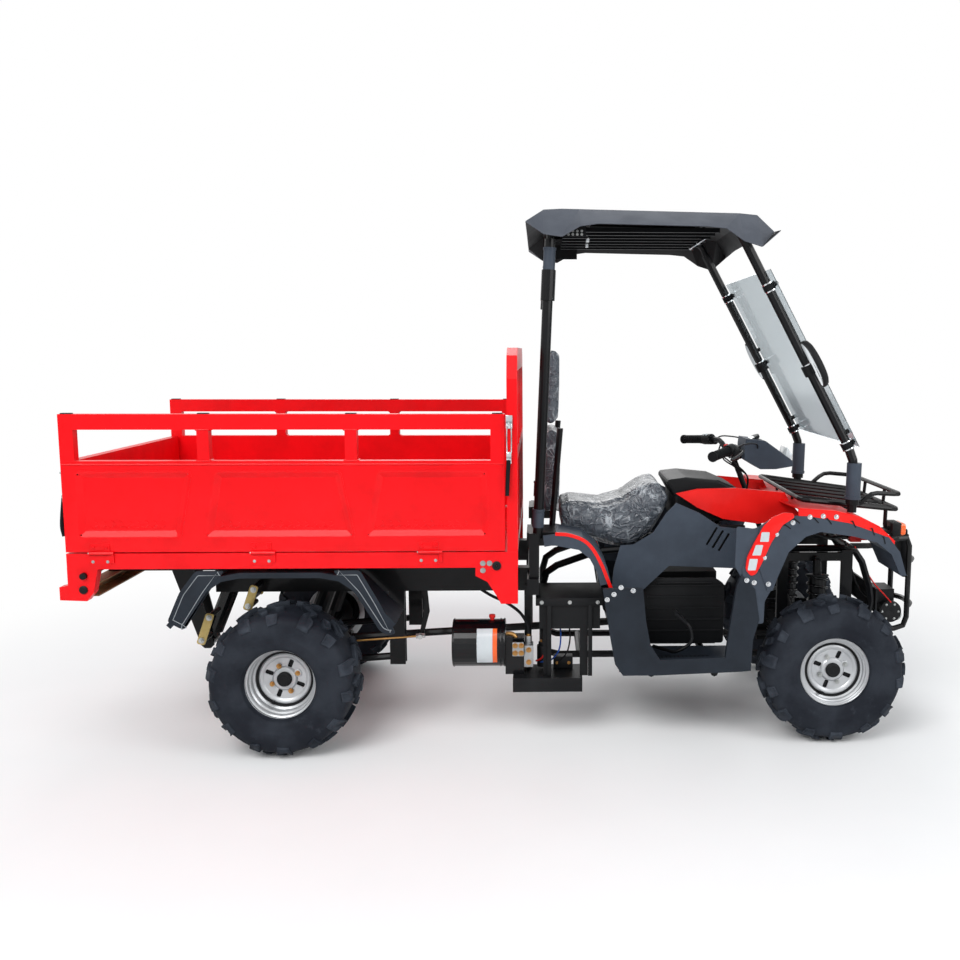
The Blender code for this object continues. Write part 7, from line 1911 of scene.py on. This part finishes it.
@dataclass
class Body:
    """The fenders' bolts, stripes and teeth, the side covers' vents, the footboards' pads and the pedal."""

    fender_y: float = 0.500
    fender_bolts: tuple = (
        (0.950, 0.810), (0.907, 0.722), (0.925, 0.622), (1.010, 0.853), (1.072, 0.874),
        (1.121, 0.877), (1.170, 0.874),
    )
    foot_bolts: tuple = (
        (0.378, 0.612), (0.423, 0.600), (0.327, 0.566), (0.352, 0.586), (0.844, 0.637), (0.872, 0.628)
    )
    teeth: tuple = (
        (0.989, 0.857), (1.023, 0.878), (1.093, 0.881), (1.142, 0.877), (1.234, 0.866),
        (1.306, 0.838), (1.349, 0.806),
    )
    tooth: tuple = ((-0.015, 0.012), (-0.004, 0.015), (0.013, -0.008), (0.009, -0.010), (-0.006, 0.009))
    leg: tuple = (
        (0.826, 0.690), (0.900, 0.700), (0.958, 0.643), (0.936, 0.595), (0.914, 0.555),
        (0.912, 0.470), (0.858, 0.470), (0.838, 0.560),
    )
    gusset: tuple = (
        (0.803, 0.838), (0.869, 0.829), (0.947, 0.866), (0.960, 0.780), (0.925, 0.680),
        (0.914, 0.634), (0.831, 0.634), (0.800, 0.688),
    )
    band: tuple = (
        (0.972, 0.890), (0.932, 0.872), (0.900, 0.840), (0.868, 0.778), (0.843, 0.724),
        (0.838, 0.677), (0.858, 0.653), (0.878, 0.660), (0.903, 0.710), (0.931, 0.777),
        (0.972, 0.844), (1.015, 0.872), (1.010, 0.888),
    )
    stickers: tuple = (
        ((0.894, 0.818), (0.924, 0.818), (0.921, 0.782), (0.889, 0.782)),
        ((0.874, 0.770), (0.901, 0.770), (0.893, 0.731), (0.861, 0.731)),
        ((0.852, 0.718), (0.883, 0.718), (0.876, 0.675), (0.846, 0.675)),
    )
    vent: tuple = ((0.645, 0.640), (0.830, 0.640), (0.890, 0.800), (0.700, 0.800))
    panel: tuple = (
        (0.492, 0.322), (0.812, 0.318), (0.812, 0.560), (0.775, 0.585), (0.500, 0.585), (0.485, 0.560)
    )
    rear_stripe: tuple = (
        (0.136, 0.802), (0.186, 0.798), (0.239, 0.779), (0.275, 0.747), (0.307, 0.692),
        (0.330, 0.637), (0.350, 0.585),
    )

    def build(self) -> None:
        """Build both sides."""
        for side, word in SIDES:
            self.stripes(side, word)
            self.boards(side, word)
            self.arch(side, word)
        self.pedal()
        self.vents()

    def arch(self, side: int, word: str) -> None:
        """Close the arch down to the footboard and lay the red band with its three blank stickers.

        Args:
            side: -1 for the right, 1 for the left.
            word: that side's name.
        """
        face = side * self.fender_y
        shape = bmesh.new()
        plate(shape, self.gusset, 0.010, 3, face - side * 0.006, face - side * 0.010)
        plate(shape, self.leg, 0.010, 3, face - side * 0.003, face - side * 0.0075)
        make_piece(f"fender_gusset_{word}", shape, GREY_PP, "chassis", bevel=0.0012)
        shape = bmesh.new()
        plate(shape, self.band, 0.008, 3, face + side * 0.0030, face - side * 0.0062)
        make_piece(f"fender_band_{word}", shape, RED_ABS, "chassis", bevel=0.0012)
        shape = bmesh.new()
        for sticker in self.stickers:
            plate(shape, sticker, 0.003, 2, face + side * 0.0036, face + side * 0.0026)
        make_piece(f"fender_stickers_{word}", shape, LABEL, "chassis")
        shape = bmesh.new()
        for x, z in self.teeth:
            lean = (x - 1.15) * 1.9
            turn = Matrix.Translation((x, face, z - 0.022)) @ Matrix.Rotation(lean, 4, "Y")
            mark = [turn @ Vector((across, 0, up)) for across, up in self.tooth]
            add_prism(
                shape, [(point.x, point.z) for point in mark], face + side * 0.0010, face - side * 0.0006
            )
        make_piece(f"fender_teeth_{word}", shape, BLACK_ABS, "chassis")

    def stripes(self, side: int, word: str) -> None:
        """Lay the red stripe on the rear fender's edge and set the fenders' and the footboard's bolts.

        Args:
            side: -1 for the right, 1 for the left.
            word: that side's name.
        """
        low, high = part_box(f"rear_fender_{word}")
        edge = low.y if side < 0 else high.y
        line = smooth_line([(x, edge, z) for x, z in self.rear_stripe], 5)
        upper, lower = [], []
        for index, point in enumerate(line):
            run = (line[min(index + 1, len(line) - 1)] - line[max(index - 1, 0)]).normalized()
            normal = Vector((-run.z, 0, run.x))
            upper.append((point.x + normal.x * 0.005, point.z + normal.z * 0.005))
            lower.append((point.x - normal.x * 0.008, point.z - normal.z * 0.008))
        shape = bmesh.new()
        inner, face = edge - side * 0.004, edge + side * 0.0015
        rings = []
        for (x0, z0), (x1, z1) in zip(upper, lower):
            rings.append([(x0, inner, z0), (x0, face, z0), (x1, face, z1), (x1, inner, z1)])
        add_loft(shape, rings)
        make_piece(f"rear_fender_stripe_{word}", shape, RED_ABS, "chassis")
        face = side * (self.fender_y + 0.0006)
        bolts = facing_out(self.fender_bolts, face, side)
        scatter(f"front_fender_bolts_{word}", screw_head(0.0062, 0.0045, 0.0095), bolts, CHROME, "chassis")
        low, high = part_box(f"footboard_{word}")
        outer = low.y if side < 0 else high.y
        bolts = facing_out(self.foot_bolts, outer + side * 0.0006, side)
        scatter(f"footboard_bolts_{word}", screw_head(0.0062, 0.0045, 0.0095), bolts, CHROME, "chassis")

    def boards(self, side: int, word: str) -> None:
        """Set the grid heel pad on a footboard.

        Args:
            side: -1 for the right, 1 for the left.
            word: that side's name.
        """
        source = bmesh.new()
        add_box(source, (-0.0016, -0.060, 0), (0.0016, 0.060, 0.004))
        start = (0.455, side * 0.405, 0.2995)
        row(
            f"heel_pad_ribs_{word}", make_object("rib_source", source), start, (0.016, 0, 0), 18,
            SOFT_RUBBER, "chassis",
        )
        source = bmesh.new()
        add_box(source, (-0.145, -0.0016, 0), (0.145, 0.0016, 0.004))
        start = (0.591, side * 0.405 - 0.056, 0.2995)
        row(
            f"heel_pad_bars_{word}", make_object("bar_source", source), start, (0, 0.016, 0), 8,
            SOFT_RUBBER, "chassis",
        )
        shape = bmesh.new()
        add_box(shape, (0.445, side * 0.335, 0.2945), (0.742, side * 0.472, 0.3000))
        make_piece(f"heel_pad_{word}", shape, SOFT_RUBBER, "chassis", bevel=0.002)

    def pedal(self) -> None:
        """Bend the brake pedal's arm and fit its ribbed pad."""
        shape = bmesh.new()
        arm = [
            (0.520, -0.330, 0.336), (0.560, -0.385, 0.338), (0.593, -0.430, 0.344),
            (0.640, -0.445, 0.375), (0.652, -0.447, 0.400), (0.646, -0.448, 0.437),
            (0.625, -0.448, 0.468), (0.612, -0.448, 0.480),
        ]
        add_tube(shape, smooth_line(arm, 6), 0.0065, 12)
        make_piece("brake_pedal_arm", shape, BLACK_COAT, "chassis")
        shape = bmesh.new()
        turn = Matrix.Translation((0.606, -0.448, 0.486)) @ Matrix.Rotation(0.75, 4, "Y")
        corners = ((-0.030, -0.004), (0.030, -0.004), (0.030, 0.004), (-0.030, 0.004))
        add_loft(shape, [[turn @ Vector((x, y, z)) for x, z in corners] for y in (-0.030, 0.030)])
        for k in range(7):
            ridge = (
                (-0.027 + 0.009 * k - 0.0022, 0.0035),
                (-0.027 + 0.009 * k + 0.0022, 0.0035),
                (-0.027 + 0.009 * k, 0.0070),
            )
            add_loft(shape, [[turn @ Vector((x, y, z)) for x, z in ridge] for y in (-0.028, 0.028)])
        make_piece("brake_pedal_pad", shape, SOFT_RUBBER, "chassis", bevel=0.0008)

    def vents(self) -> None:
        """Set a black plate of painted shade behind the side covers' vents and close the footwells behind
        with a ribbed black panel.
        """
        for side, word in SIDES:
            # A black plate behind the vents: painted shade that makes their openings dark.
            shape = bmesh.new()
            plate(shape, self.vent, 0.012, 3, side * 0.2485, side * 0.2455)
            make_piece(f"vent_backing_{word}", shape, BLACK_ABS, "chassis")
            shape = bmesh.new()
            plate(shape, self.panel, 0.014, 4, side * 0.236, side * 0.226)
            make_piece(f"engine_side_panel_{word}", shape, BLACK_ABS, "chassis", bevel=0.003)
            source = bmesh.new()
            low, high = sorted((side * 0.2355, side * 0.2405))
            add_box(source, (0.505, low, -0.0035), (0.800, high, 0.0035))
            row(
                f"engine_panel_ribs_{word}", make_object("rib_source", source), (0, 0, 0.372),
                (0, 0, 0.046), 5, BLACK_ABS, "chassis",
            )
            shape = bmesh.new()
            add_tube(shape, [(0.540, side * 0.2405, 0.566), (0.760, side * 0.2405, 0.566)], 0.0045, 10)
            make_piece(f"engine_panel_bead_{word}", shape, BLACK_ABS, "chassis")


@dataclass
class FrontEnd:
    """The nose: the bumper's pad, the winch's details, the lamps and the wires."""

    winch_x: float = 1.535
    winch_z: float = 0.405
    pad: tuple = ((1.580, 0.748), (1.606, 0.748), (1.616, 0.543), (1.588, 0.543))

    def bumper_pad(self) -> None:
        """Set the upright rubber pad on the bumper."""
        shape = bmesh.new()
        plate(shape, self.pad, 0.010, 3, -0.060, 0.060)
        make_piece("bumper_pad", shape, SOFT_RUBBER, "chassis", bevel=0.003)
        source = bmesh.new()
        add_box(source, (1.606, -0.052, -0.003), (1.621, 0.052, 0.003))
        row(
            "bumper_pad_ribs", make_object("rib_source", source), (0.0, 0, 0.575),
            (-0.0008, 0, 0.018), 9, SOFT_RUBBER, "chassis",
        )

    def winch(self) -> None:
        """Cap the winch's drum and hang its hook."""
        shape = bmesh.new()
        for y in (-0.0905, 0.0905):
            place = Matrix.Translation((self.winch_x, y, self.winch_z))
            add_turned(shape, [(0.046, -0.004), (0.046, 0.004), (0.001, 0.004), (0.001, -0.004)], place, 32)
        make_piece("winch_end_caps", shape, BLACK_CAST, "chassis", bevel=0.001)
        spots = [(self.winch_x + across, self.winch_z + up) for across, up, _ in circle(0.034, 0.0, 6)]
        bolts = [
            bolt
            for spot in spots
            for side in (-1, 1)
            for bolt in facing_out((spot,), side * 0.0943, side)
        ]
        scatter("winch_screws", screw_head(0.0042, 0.003, 0.005), bolts, ZINC, "chassis")
        shape = bmesh.new()
        hook = [
            (1.582, 0.0, 0.398), (1.596, 0.0, 0.392), (1.610, 0.0, 0.378), (1.612, 0.0, 0.358),
            (1.598, 0.0, 0.346), (1.586, 0.0, 0.356),
        ]
        add_tube(shape, smooth_line(hook, 6), 0.0062, 12, end_radius=0.0040)
        make_piece("winch_hook", shape, ZINC, "chassis")

    def lamps(self) -> None:
        """Flute and house the turn signals and glaze the headlamp."""
        for side, word in SIDES:
            shape = bmesh.new()
            low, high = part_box(f"turn_signal_{word}")
            face = low.y if side < 0 else high.y
            for k in range(5):
                z = low.z + 0.010 + 0.0075 * k
                corner = (low.x + 0.010, face - 0.0012, z - 0.0016)
                add_box(shape, corner, (high.x - 0.008, face + 0.0012, z + 0.0016))
            make_piece(f"signal_flutes_{word}", shape, AMBER, "chassis")
            shape = bmesh.new()
            wall = Vector((0.0015, 0.0015, 0.0015))
            end = low.x + (high.x - low.x) * 0.62
            add_box(shape, low - wall, (end, high.y + wall.y, high.z + wall.z))
            make_piece(f"signal_housing_{word}", shape, BLACK_ABS, "chassis", bevel=0.004)
        shape = bmesh.new()
        add_prism(shape, [(1.078, 1.018), (1.112, 1.034), (1.116, 1.058), (1.092, 1.088)], -0.055, 0.055)
        make_piece("headlamp_lens", shape, WHITE_LENS, "steering", bevel=0.004)

    def wires(self) -> None:
        """Hang the loom and the winch leads under the right fender."""
        lay_cord(
            "nose_lead_black",
            [
                (1.319, -0.140, 0.713), (1.338, -0.135, 0.644), (1.374, -0.125, 0.540),
                (1.410, -0.115, 0.488), (1.452, -0.105, 0.462),
            ],
            0.008,
            BLACK_PVC,
            "chassis",
        )
        lay_cord(
            "nose_lead_red",
            [
                (1.360, -0.140, 0.691), (1.405, -0.132, 0.602), (1.453, -0.120, 0.531),
                (1.500, -0.110, 0.482), (1.532, -0.104, 0.447),
            ],
            0.006,
            RED_PVC,
            "chassis",
        )
        lay_cord(
            "fender_loom",
            [
                (1.120, -0.300, 0.800), (1.160, -0.290, 0.770), (1.220, -0.270, 0.752),
                (1.290, -0.240, 0.752), (1.350, -0.210, 0.735),
            ],
            0.012,
            BLACK_PVC,
            "chassis",
        )
        shape = bmesh.new()
        add_box(shape, (1.302, -0.262, 0.732), (1.346, -0.222, 0.768))
        add_box(shape, (1.346, -0.256, 0.738), (1.372, -0.228, 0.762))
        make_piece("loom_connector", shape, RED_PVC, "chassis", bevel=0.002)

    def build(self) -> None:
        """Build the nose."""
        self.bumper_pad()
        self.winch()
        self.lamps()
        self.wires()


@dataclass
class Controls:
    """The bar's ribbed grips, its switch pods, levers, clamps and cables, and the instrument."""

    top_z: float = 1.045
    foot_z: float = 0.28
    rake: float = math.radians(21.9)
    cable_z: float = 0.885

    def column_x(self, z: float) -> float:
        """Where the steering column's axis is at a height."""
        return FRONT_AXLE_X - (z - self.foot_z) * math.tan(self.rake)

    def build(self) -> None:
        """Build both ends of the bar, its clamps and the instrument."""
        top = Vector((self.column_x(self.top_z), 0, self.top_z))
        along = Vector((-math.sin(self.rake), 0, math.cos(self.rake)))
        for side, word in SIDES:
            end = top + Vector((-0.130, side * 0.370, 0)) + along * 0.042
            bend = top + Vector((0, side * 0.185, 0)) + along * 0.060
            run = (bend - end).normalized()
            shape = bmesh.new()
            for k in range(11):
                middle = end + run * (0.010 + 0.0105 * k)
                add_tube(shape, [middle - run * 0.0030, middle, middle + run * 0.0030], 0.0186, 18)
            add_tube(shape, [end - run * 0.012, end - run * 0.002], 0.0200, 18)
            add_tube(shape, [end + run * 0.124, end + run * 0.130], 0.0225, 18)
            make_piece(f"grip_ribs_{word}", shape, SOFT_RUBBER, "steering")
            shape = bmesh.new()
            pod = end + run * 0.152
            add_tube(
                shape,
                [pod - run * 0.022, pod - run * 0.018, pod + run * 0.018, pod + run * 0.022],
                0.0235,
                18,
            )
            front = pod + Vector((0.022, 0, -0.006))
            add_tube(shape, [front - run * 0.016, front + run * 0.016], 0.017, 14)
            make_piece(f"switch_pod_{word}", shape, BLACK_ABS, "steering", bevel=0.002)
            shape = bmesh.new()
            lever = [
                pod + Vector((0.026, 0, 0.002)),
                pod + Vector((0.050, side * 0.012, -0.004)),
                end + run * 0.090 + Vector((0.060, side * 0.004, -0.012)),
                end + run * 0.020 + Vector((0.058, side * 0.006, -0.016)),
            ]
            add_tube(shape, smooth_line(lever, 6), 0.0058, 12, end_radius=0.0050)
            make_piece(f"brake_lever_{word}", shape, SATIN_BLACK, "steering")
            buttons = [
                (pod + Vector((-0.014, 0, 0.0185)) + run * shift, (-0.5, 0, 0.85))
                for shift in (-0.009, 0.007)
            ]
            scatter(
                f"switch_buttons_{word}", screw_head(0.0052, 0.006, 0.0062), buttons,
                RED_PVC if side < 0 else LABEL, "steering",
            )
            path = [
                pod + Vector((0.030, -side * 0.010, 0.004)),
                pod + Vector((0.062, -side * 0.040, 0.018)),
                top + Vector((0.070, side * 0.110, 0.062)),
                top + Vector((0.088, side * 0.062, 0.030)),
                top + Vector((0.085, side * 0.040, -0.010)),
            ]
            lay_cord(f"bar_cable_{word}", path, 0.006, BLACK_PVC, "steering")
            for number, (reach, rise) in enumerate(((0.165, 0.047), (0.130, 0.024))):
                start = top + Vector((0, side * reach, 0)) + along * rise + Vector((-0.006, 0, -0.010))
                low = Vector(
                    (self.column_x(self.cable_z) - 0.012, side * (0.020 + 0.006 * number), self.cable_z)
                )
                drop = [
                    start,
                    start + Vector((-0.004, -side * 0.030, -0.036)),
                    low + Vector((-0.004, side * 0.040, 0.085)),
                    low,
                ]
                lay_cord(f"column_cable_{word}_{number + 1}", drop, 0.0065, BLACK_PVC, "steering")
        shape = bmesh.new()
        for y in (-0.036, 0.036):
            middle = top + along * 0.012 + Vector((0, y, 0))
            add_tube(shape, [middle - along * 0.020, middle + along * 0.030], 0.0135, 14)
        add_box(shape, (top.x - 0.022, -0.050, top.z + 0.030), (top.x + 0.022, 0.050, top.z + 0.046))
        make_piece("bar_clamps", shape, BLACK_CAST, "steering", bevel=0.002)
        shape = bmesh.new()
        add_tube(shape, [(0.955, 0, 1.108), (0.948, 0, 1.121)], 0.040, 32)
        make_piece("instrument", shape, BLACK_ABS, "steering", bevel=0.003)
        shape = bmesh.new()
        add_tube(shape, [(0.9484, 0, 1.1202), (0.9478, 0, 1.1214)], 0.034, 32)
        make_piece("instrument_glass", shape, WHITE_LENS, "steering")


# Which finish each CAD node keeps when its own mesh is shown.
NODE_FINISHES = {
    BLACK_COAT: (
        "chassis_frame", "front_cradle", "rear_axle", "front_suspension_left",
        "front_suspension_right", "canopy_frame", "front_rack",
    ),
    BLACK_CAST: (
        "knuckle_left", "knuckle_right", "tie_rod_left", "tie_rod_right", "power_pack_tray",
        "handlebar", "winch",
    ),
    SATIN_BLACK: ("front_bumper",),
    PRIMED: ("rear_crossmember",),
    ENGINE_COAT: ("engine_block",),
    RED_ABS: ("front_fairing",),
    BLACK_ABS: ("tank_cover", "battery_box"),
    GREY_PP: (
        "side_cover_left", "side_cover_right", "front_fender_left", "front_fender_right",
        "rear_fender_left", "rear_fender_right", "headlamp_pod",
    ),
    DARK_PP: (
        "footboard_left", "footboard_right", "rear_mudguard_left", "rear_mudguard_right",
        "mirror_left", "mirror_right",
    ),
    ROOF_PP: ("canopy_roof",),
    AMBER: ("turn_signal_left", "turn_signal_right"),
    BLACK_ENAMEL: ("hydraulic_power_pack", "cylinder_barrel"),
    CHROME: ("cylinder_rod",),
    RED_COAT: ("bed_frame", "bed_floor", "headboard", "drop_side_left", "drop_side_right", "tailgate"),
    WRAPPED_VINYL: ("seat", "backrest_lower", "backrest_upper"),
    POLYCARBONATE: ("windshield",),
}


@dataclass
class Studio:
    """The pale room, its soft light and the camera at the photograph's place.

    Args:
        place: where the camera stands.
        lens: its focal length on a 36 mm sensor.
        shift: how far its middle is moved sideways.
        yaw: its turn from the vehicle's side towards the front.
        pitch: how far it looks down.
        roll: how far it leans.
    """

    place: tuple = (0.081, -4.0587, 1.4776)
    lens: float = 37.02
    shift: float = -0.0906
    yaw: float = 0.0271
    pitch: float = 0.1298
    roll: float = 0.0013

    def light(self, name: str, place: tuple, aim: tuple, size: float, power: float) -> None:
        """Hang a soft square light.

        Args:
            name: the light's name.
            place: where it hangs.
            aim: the point that it faces.
            size: its width.
            power: its power in watts.
        """
        lamp = bpy.data.lights.new(name, "AREA")
        lamp.shape = "SQUARE"
        lamp.size = size
        lamp.energy = power
        obj = bpy.data.objects.new(name, lamp)
        obj.location = place
        obj.rotation_euler = (Vector(aim) - Vector(place)).to_track_quat("-Z", "Y").to_euler()
        bpy.context.scene.collection.objects.link(obj)

    def world(self) -> None:
        """Light the room evenly and show a white background to the camera and to reflections."""
        world = bpy.data.worlds.new("studio")
        bpy.context.scene.world = world
        world.use_nodes = True
        tree = world.node_tree
        tree.nodes.clear()
        soft = add_node(
            tree, "ShaderNodeBackground", {"Color": linear("#DDE3E8"), "Strength": 0.5}
        ).outputs[0]
        white = add_node(
            tree, "ShaderNodeBackground", {"Color": (1.0, 1.0, 1.0, 1.0), "Strength": 1.0}
        ).outputs[0]
        rays = add_node(tree, "ShaderNodeLightPath")
        seen = add_node(
            tree,
            "ShaderNodeMath",
            {"operation": "MAXIMUM"},
            {0: rays.outputs["Is Camera Ray"], 1: rays.outputs["Is Transmission Ray"]},
        )
        either = add_node(
            tree,
            "ShaderNodeMath",
            {"operation": "MAXIMUM"},
            {0: seen.outputs[0], 1: rays.outputs["Is Glossy Ray"]},
        )
        mixed = add_node(
            tree, "ShaderNodeMixShader", None, {0: either.outputs[0], 1: soft, 2: white}
        ).outputs[0]
        add_node(tree, "ShaderNodeOutputWorld", None, {"Surface": mixed})

    def floor(self) -> None:
        """Lay a plain pale floor with a fine mottled grain."""
        shape = bmesh.new()
        add_box(shape, (-30.0, -30.0, -0.02), (30.0, 30.0, 0.0))
        obj = make_object("floor", shape)
        material = bpy.data.materials.new("painted_floor")
        material.use_nodes = True
        tree = material.node_tree
        shader = tree.nodes["Principled BSDF"]
        place = add_node(tree, "ShaderNodeTexCoord").outputs["Object"]
        mottle = add_node(
            tree, "ShaderNodeTexNoise", {"Scale": 3.0, "Detail": 6.0}, {"Vector": place}
        ).outputs[0]
        tones = {"data_type": "RGBA", 6: linear("#F4F4F4"), 7: linear("#F8F8F8")}
        colour = add_node(tree, "ShaderNodeMix", tones, {0: mottle}).outputs[2]
        tree.links.new(colour, shader.inputs["Base Color"])
        shader.inputs["Roughness"].default_value = 0.7
        away = add_node(tree, "ShaderNodeVectorMath", {"operation": "LENGTH"}, {0: place}).outputs["Value"]
        fade = add_ramp(tree, away, 1.6, 3.4)
        seen = add_node(tree, "ShaderNodeLightPath").outputs["Is Camera Ray"]
        share = add_node(tree, "ShaderNodeMath", {"operation": "MULTIPLY"}, {0: fade, 1: seen}).outputs[0]
        white = add_node(
            tree, "ShaderNodeEmission", {"Color": (1.0, 1.0, 1.0, 1.0), "Strength": 1.0}
        ).outputs[0]
        mixed = add_node(
            tree, "ShaderNodeMixShader", None, {0: share, 1: shader.outputs[0], 2: white}
        ).outputs[0]
        tree.links.new(mixed, tree.nodes["Material Output"].inputs["Surface"])
        obj.data.materials.append(material)

    def camera(self) -> None:
        """Stand the camera where the photograph was taken from."""
        ahead = Vector(
            (
                math.sin(self.yaw) * math.cos(self.pitch),
                math.cos(self.yaw) * math.cos(self.pitch),
                -math.sin(self.pitch),
            )
        )
        right = ahead.cross(Vector((0, 0, 1))).normalized()
        up = right.cross(ahead)
        across = right * math.cos(self.roll) + up * math.sin(self.roll)
        above = up * math.cos(self.roll) - right * math.sin(self.roll)
        data = bpy.data.cameras.new("photo_camera")
        data.lens = self.lens
        data.sensor_width = 36.0
        data.shift_x = self.shift
        obj = bpy.data.objects.new("photo_camera", data)
        obj.matrix_world = Matrix.Translation(self.place) @ Matrix(
            (across, above, -ahead)
        ).transposed().to_4x4()
        bpy.context.scene.collection.objects.link(obj)
        bpy.context.scene.camera = obj

    def build(self) -> None:
        """Set up the room."""
        self.world()
        self.floor()
        self.light("key", (-2.5, -5.0, 5.0), (0.0, 0.0, 0.8), 4.0, 340.0)
        self.light("side", (4.5, -3.5, 3.0), (0.3, 0.0, 0.8), 3.0, 150.0)
        self.light("back", (0.0, 4.5, 4.0), (0.0, 0.0, 0.9), 4.0, 140.0)
        self.camera()
        bpy.context.scene.view_settings.view_transform = "Standard"


def dress_nodes() -> None:
    """Put each CAD node's finish in its material slots."""
    for finish, names in NODE_FINISHES.items():
        for name in names:
            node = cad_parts[name]
            for slot in node.material_slots:
                slot.material = material_of(finish)


def main() -> None:
    """Build every sub-assembly, then the room."""
    logging.basicConfig(level=logging.INFO, format="%(message)s")
    dress_nodes()
    for side, word in SIDES:
        Wheel(f"front_{word}", f"front_wheel_{word}", FRONT_AXLE_X, 0.4257, side, 0.178, 0.074, 0.043).build()
        Wheel(f"rear_{word}", f"rear_wheel_{word}", REAR_AXLE_X, 0.4945, side, 0.254, 0.104, 0.084).build()
    CargoBed().build()
    Saddle().build()
    Canopy().build()
    RunningGear().build()
    PowerPack().build()
    Body().build()
    FrontEnd().build()
    Controls().build()
    Studio().build()


if __name__ == "__main__":
    main()
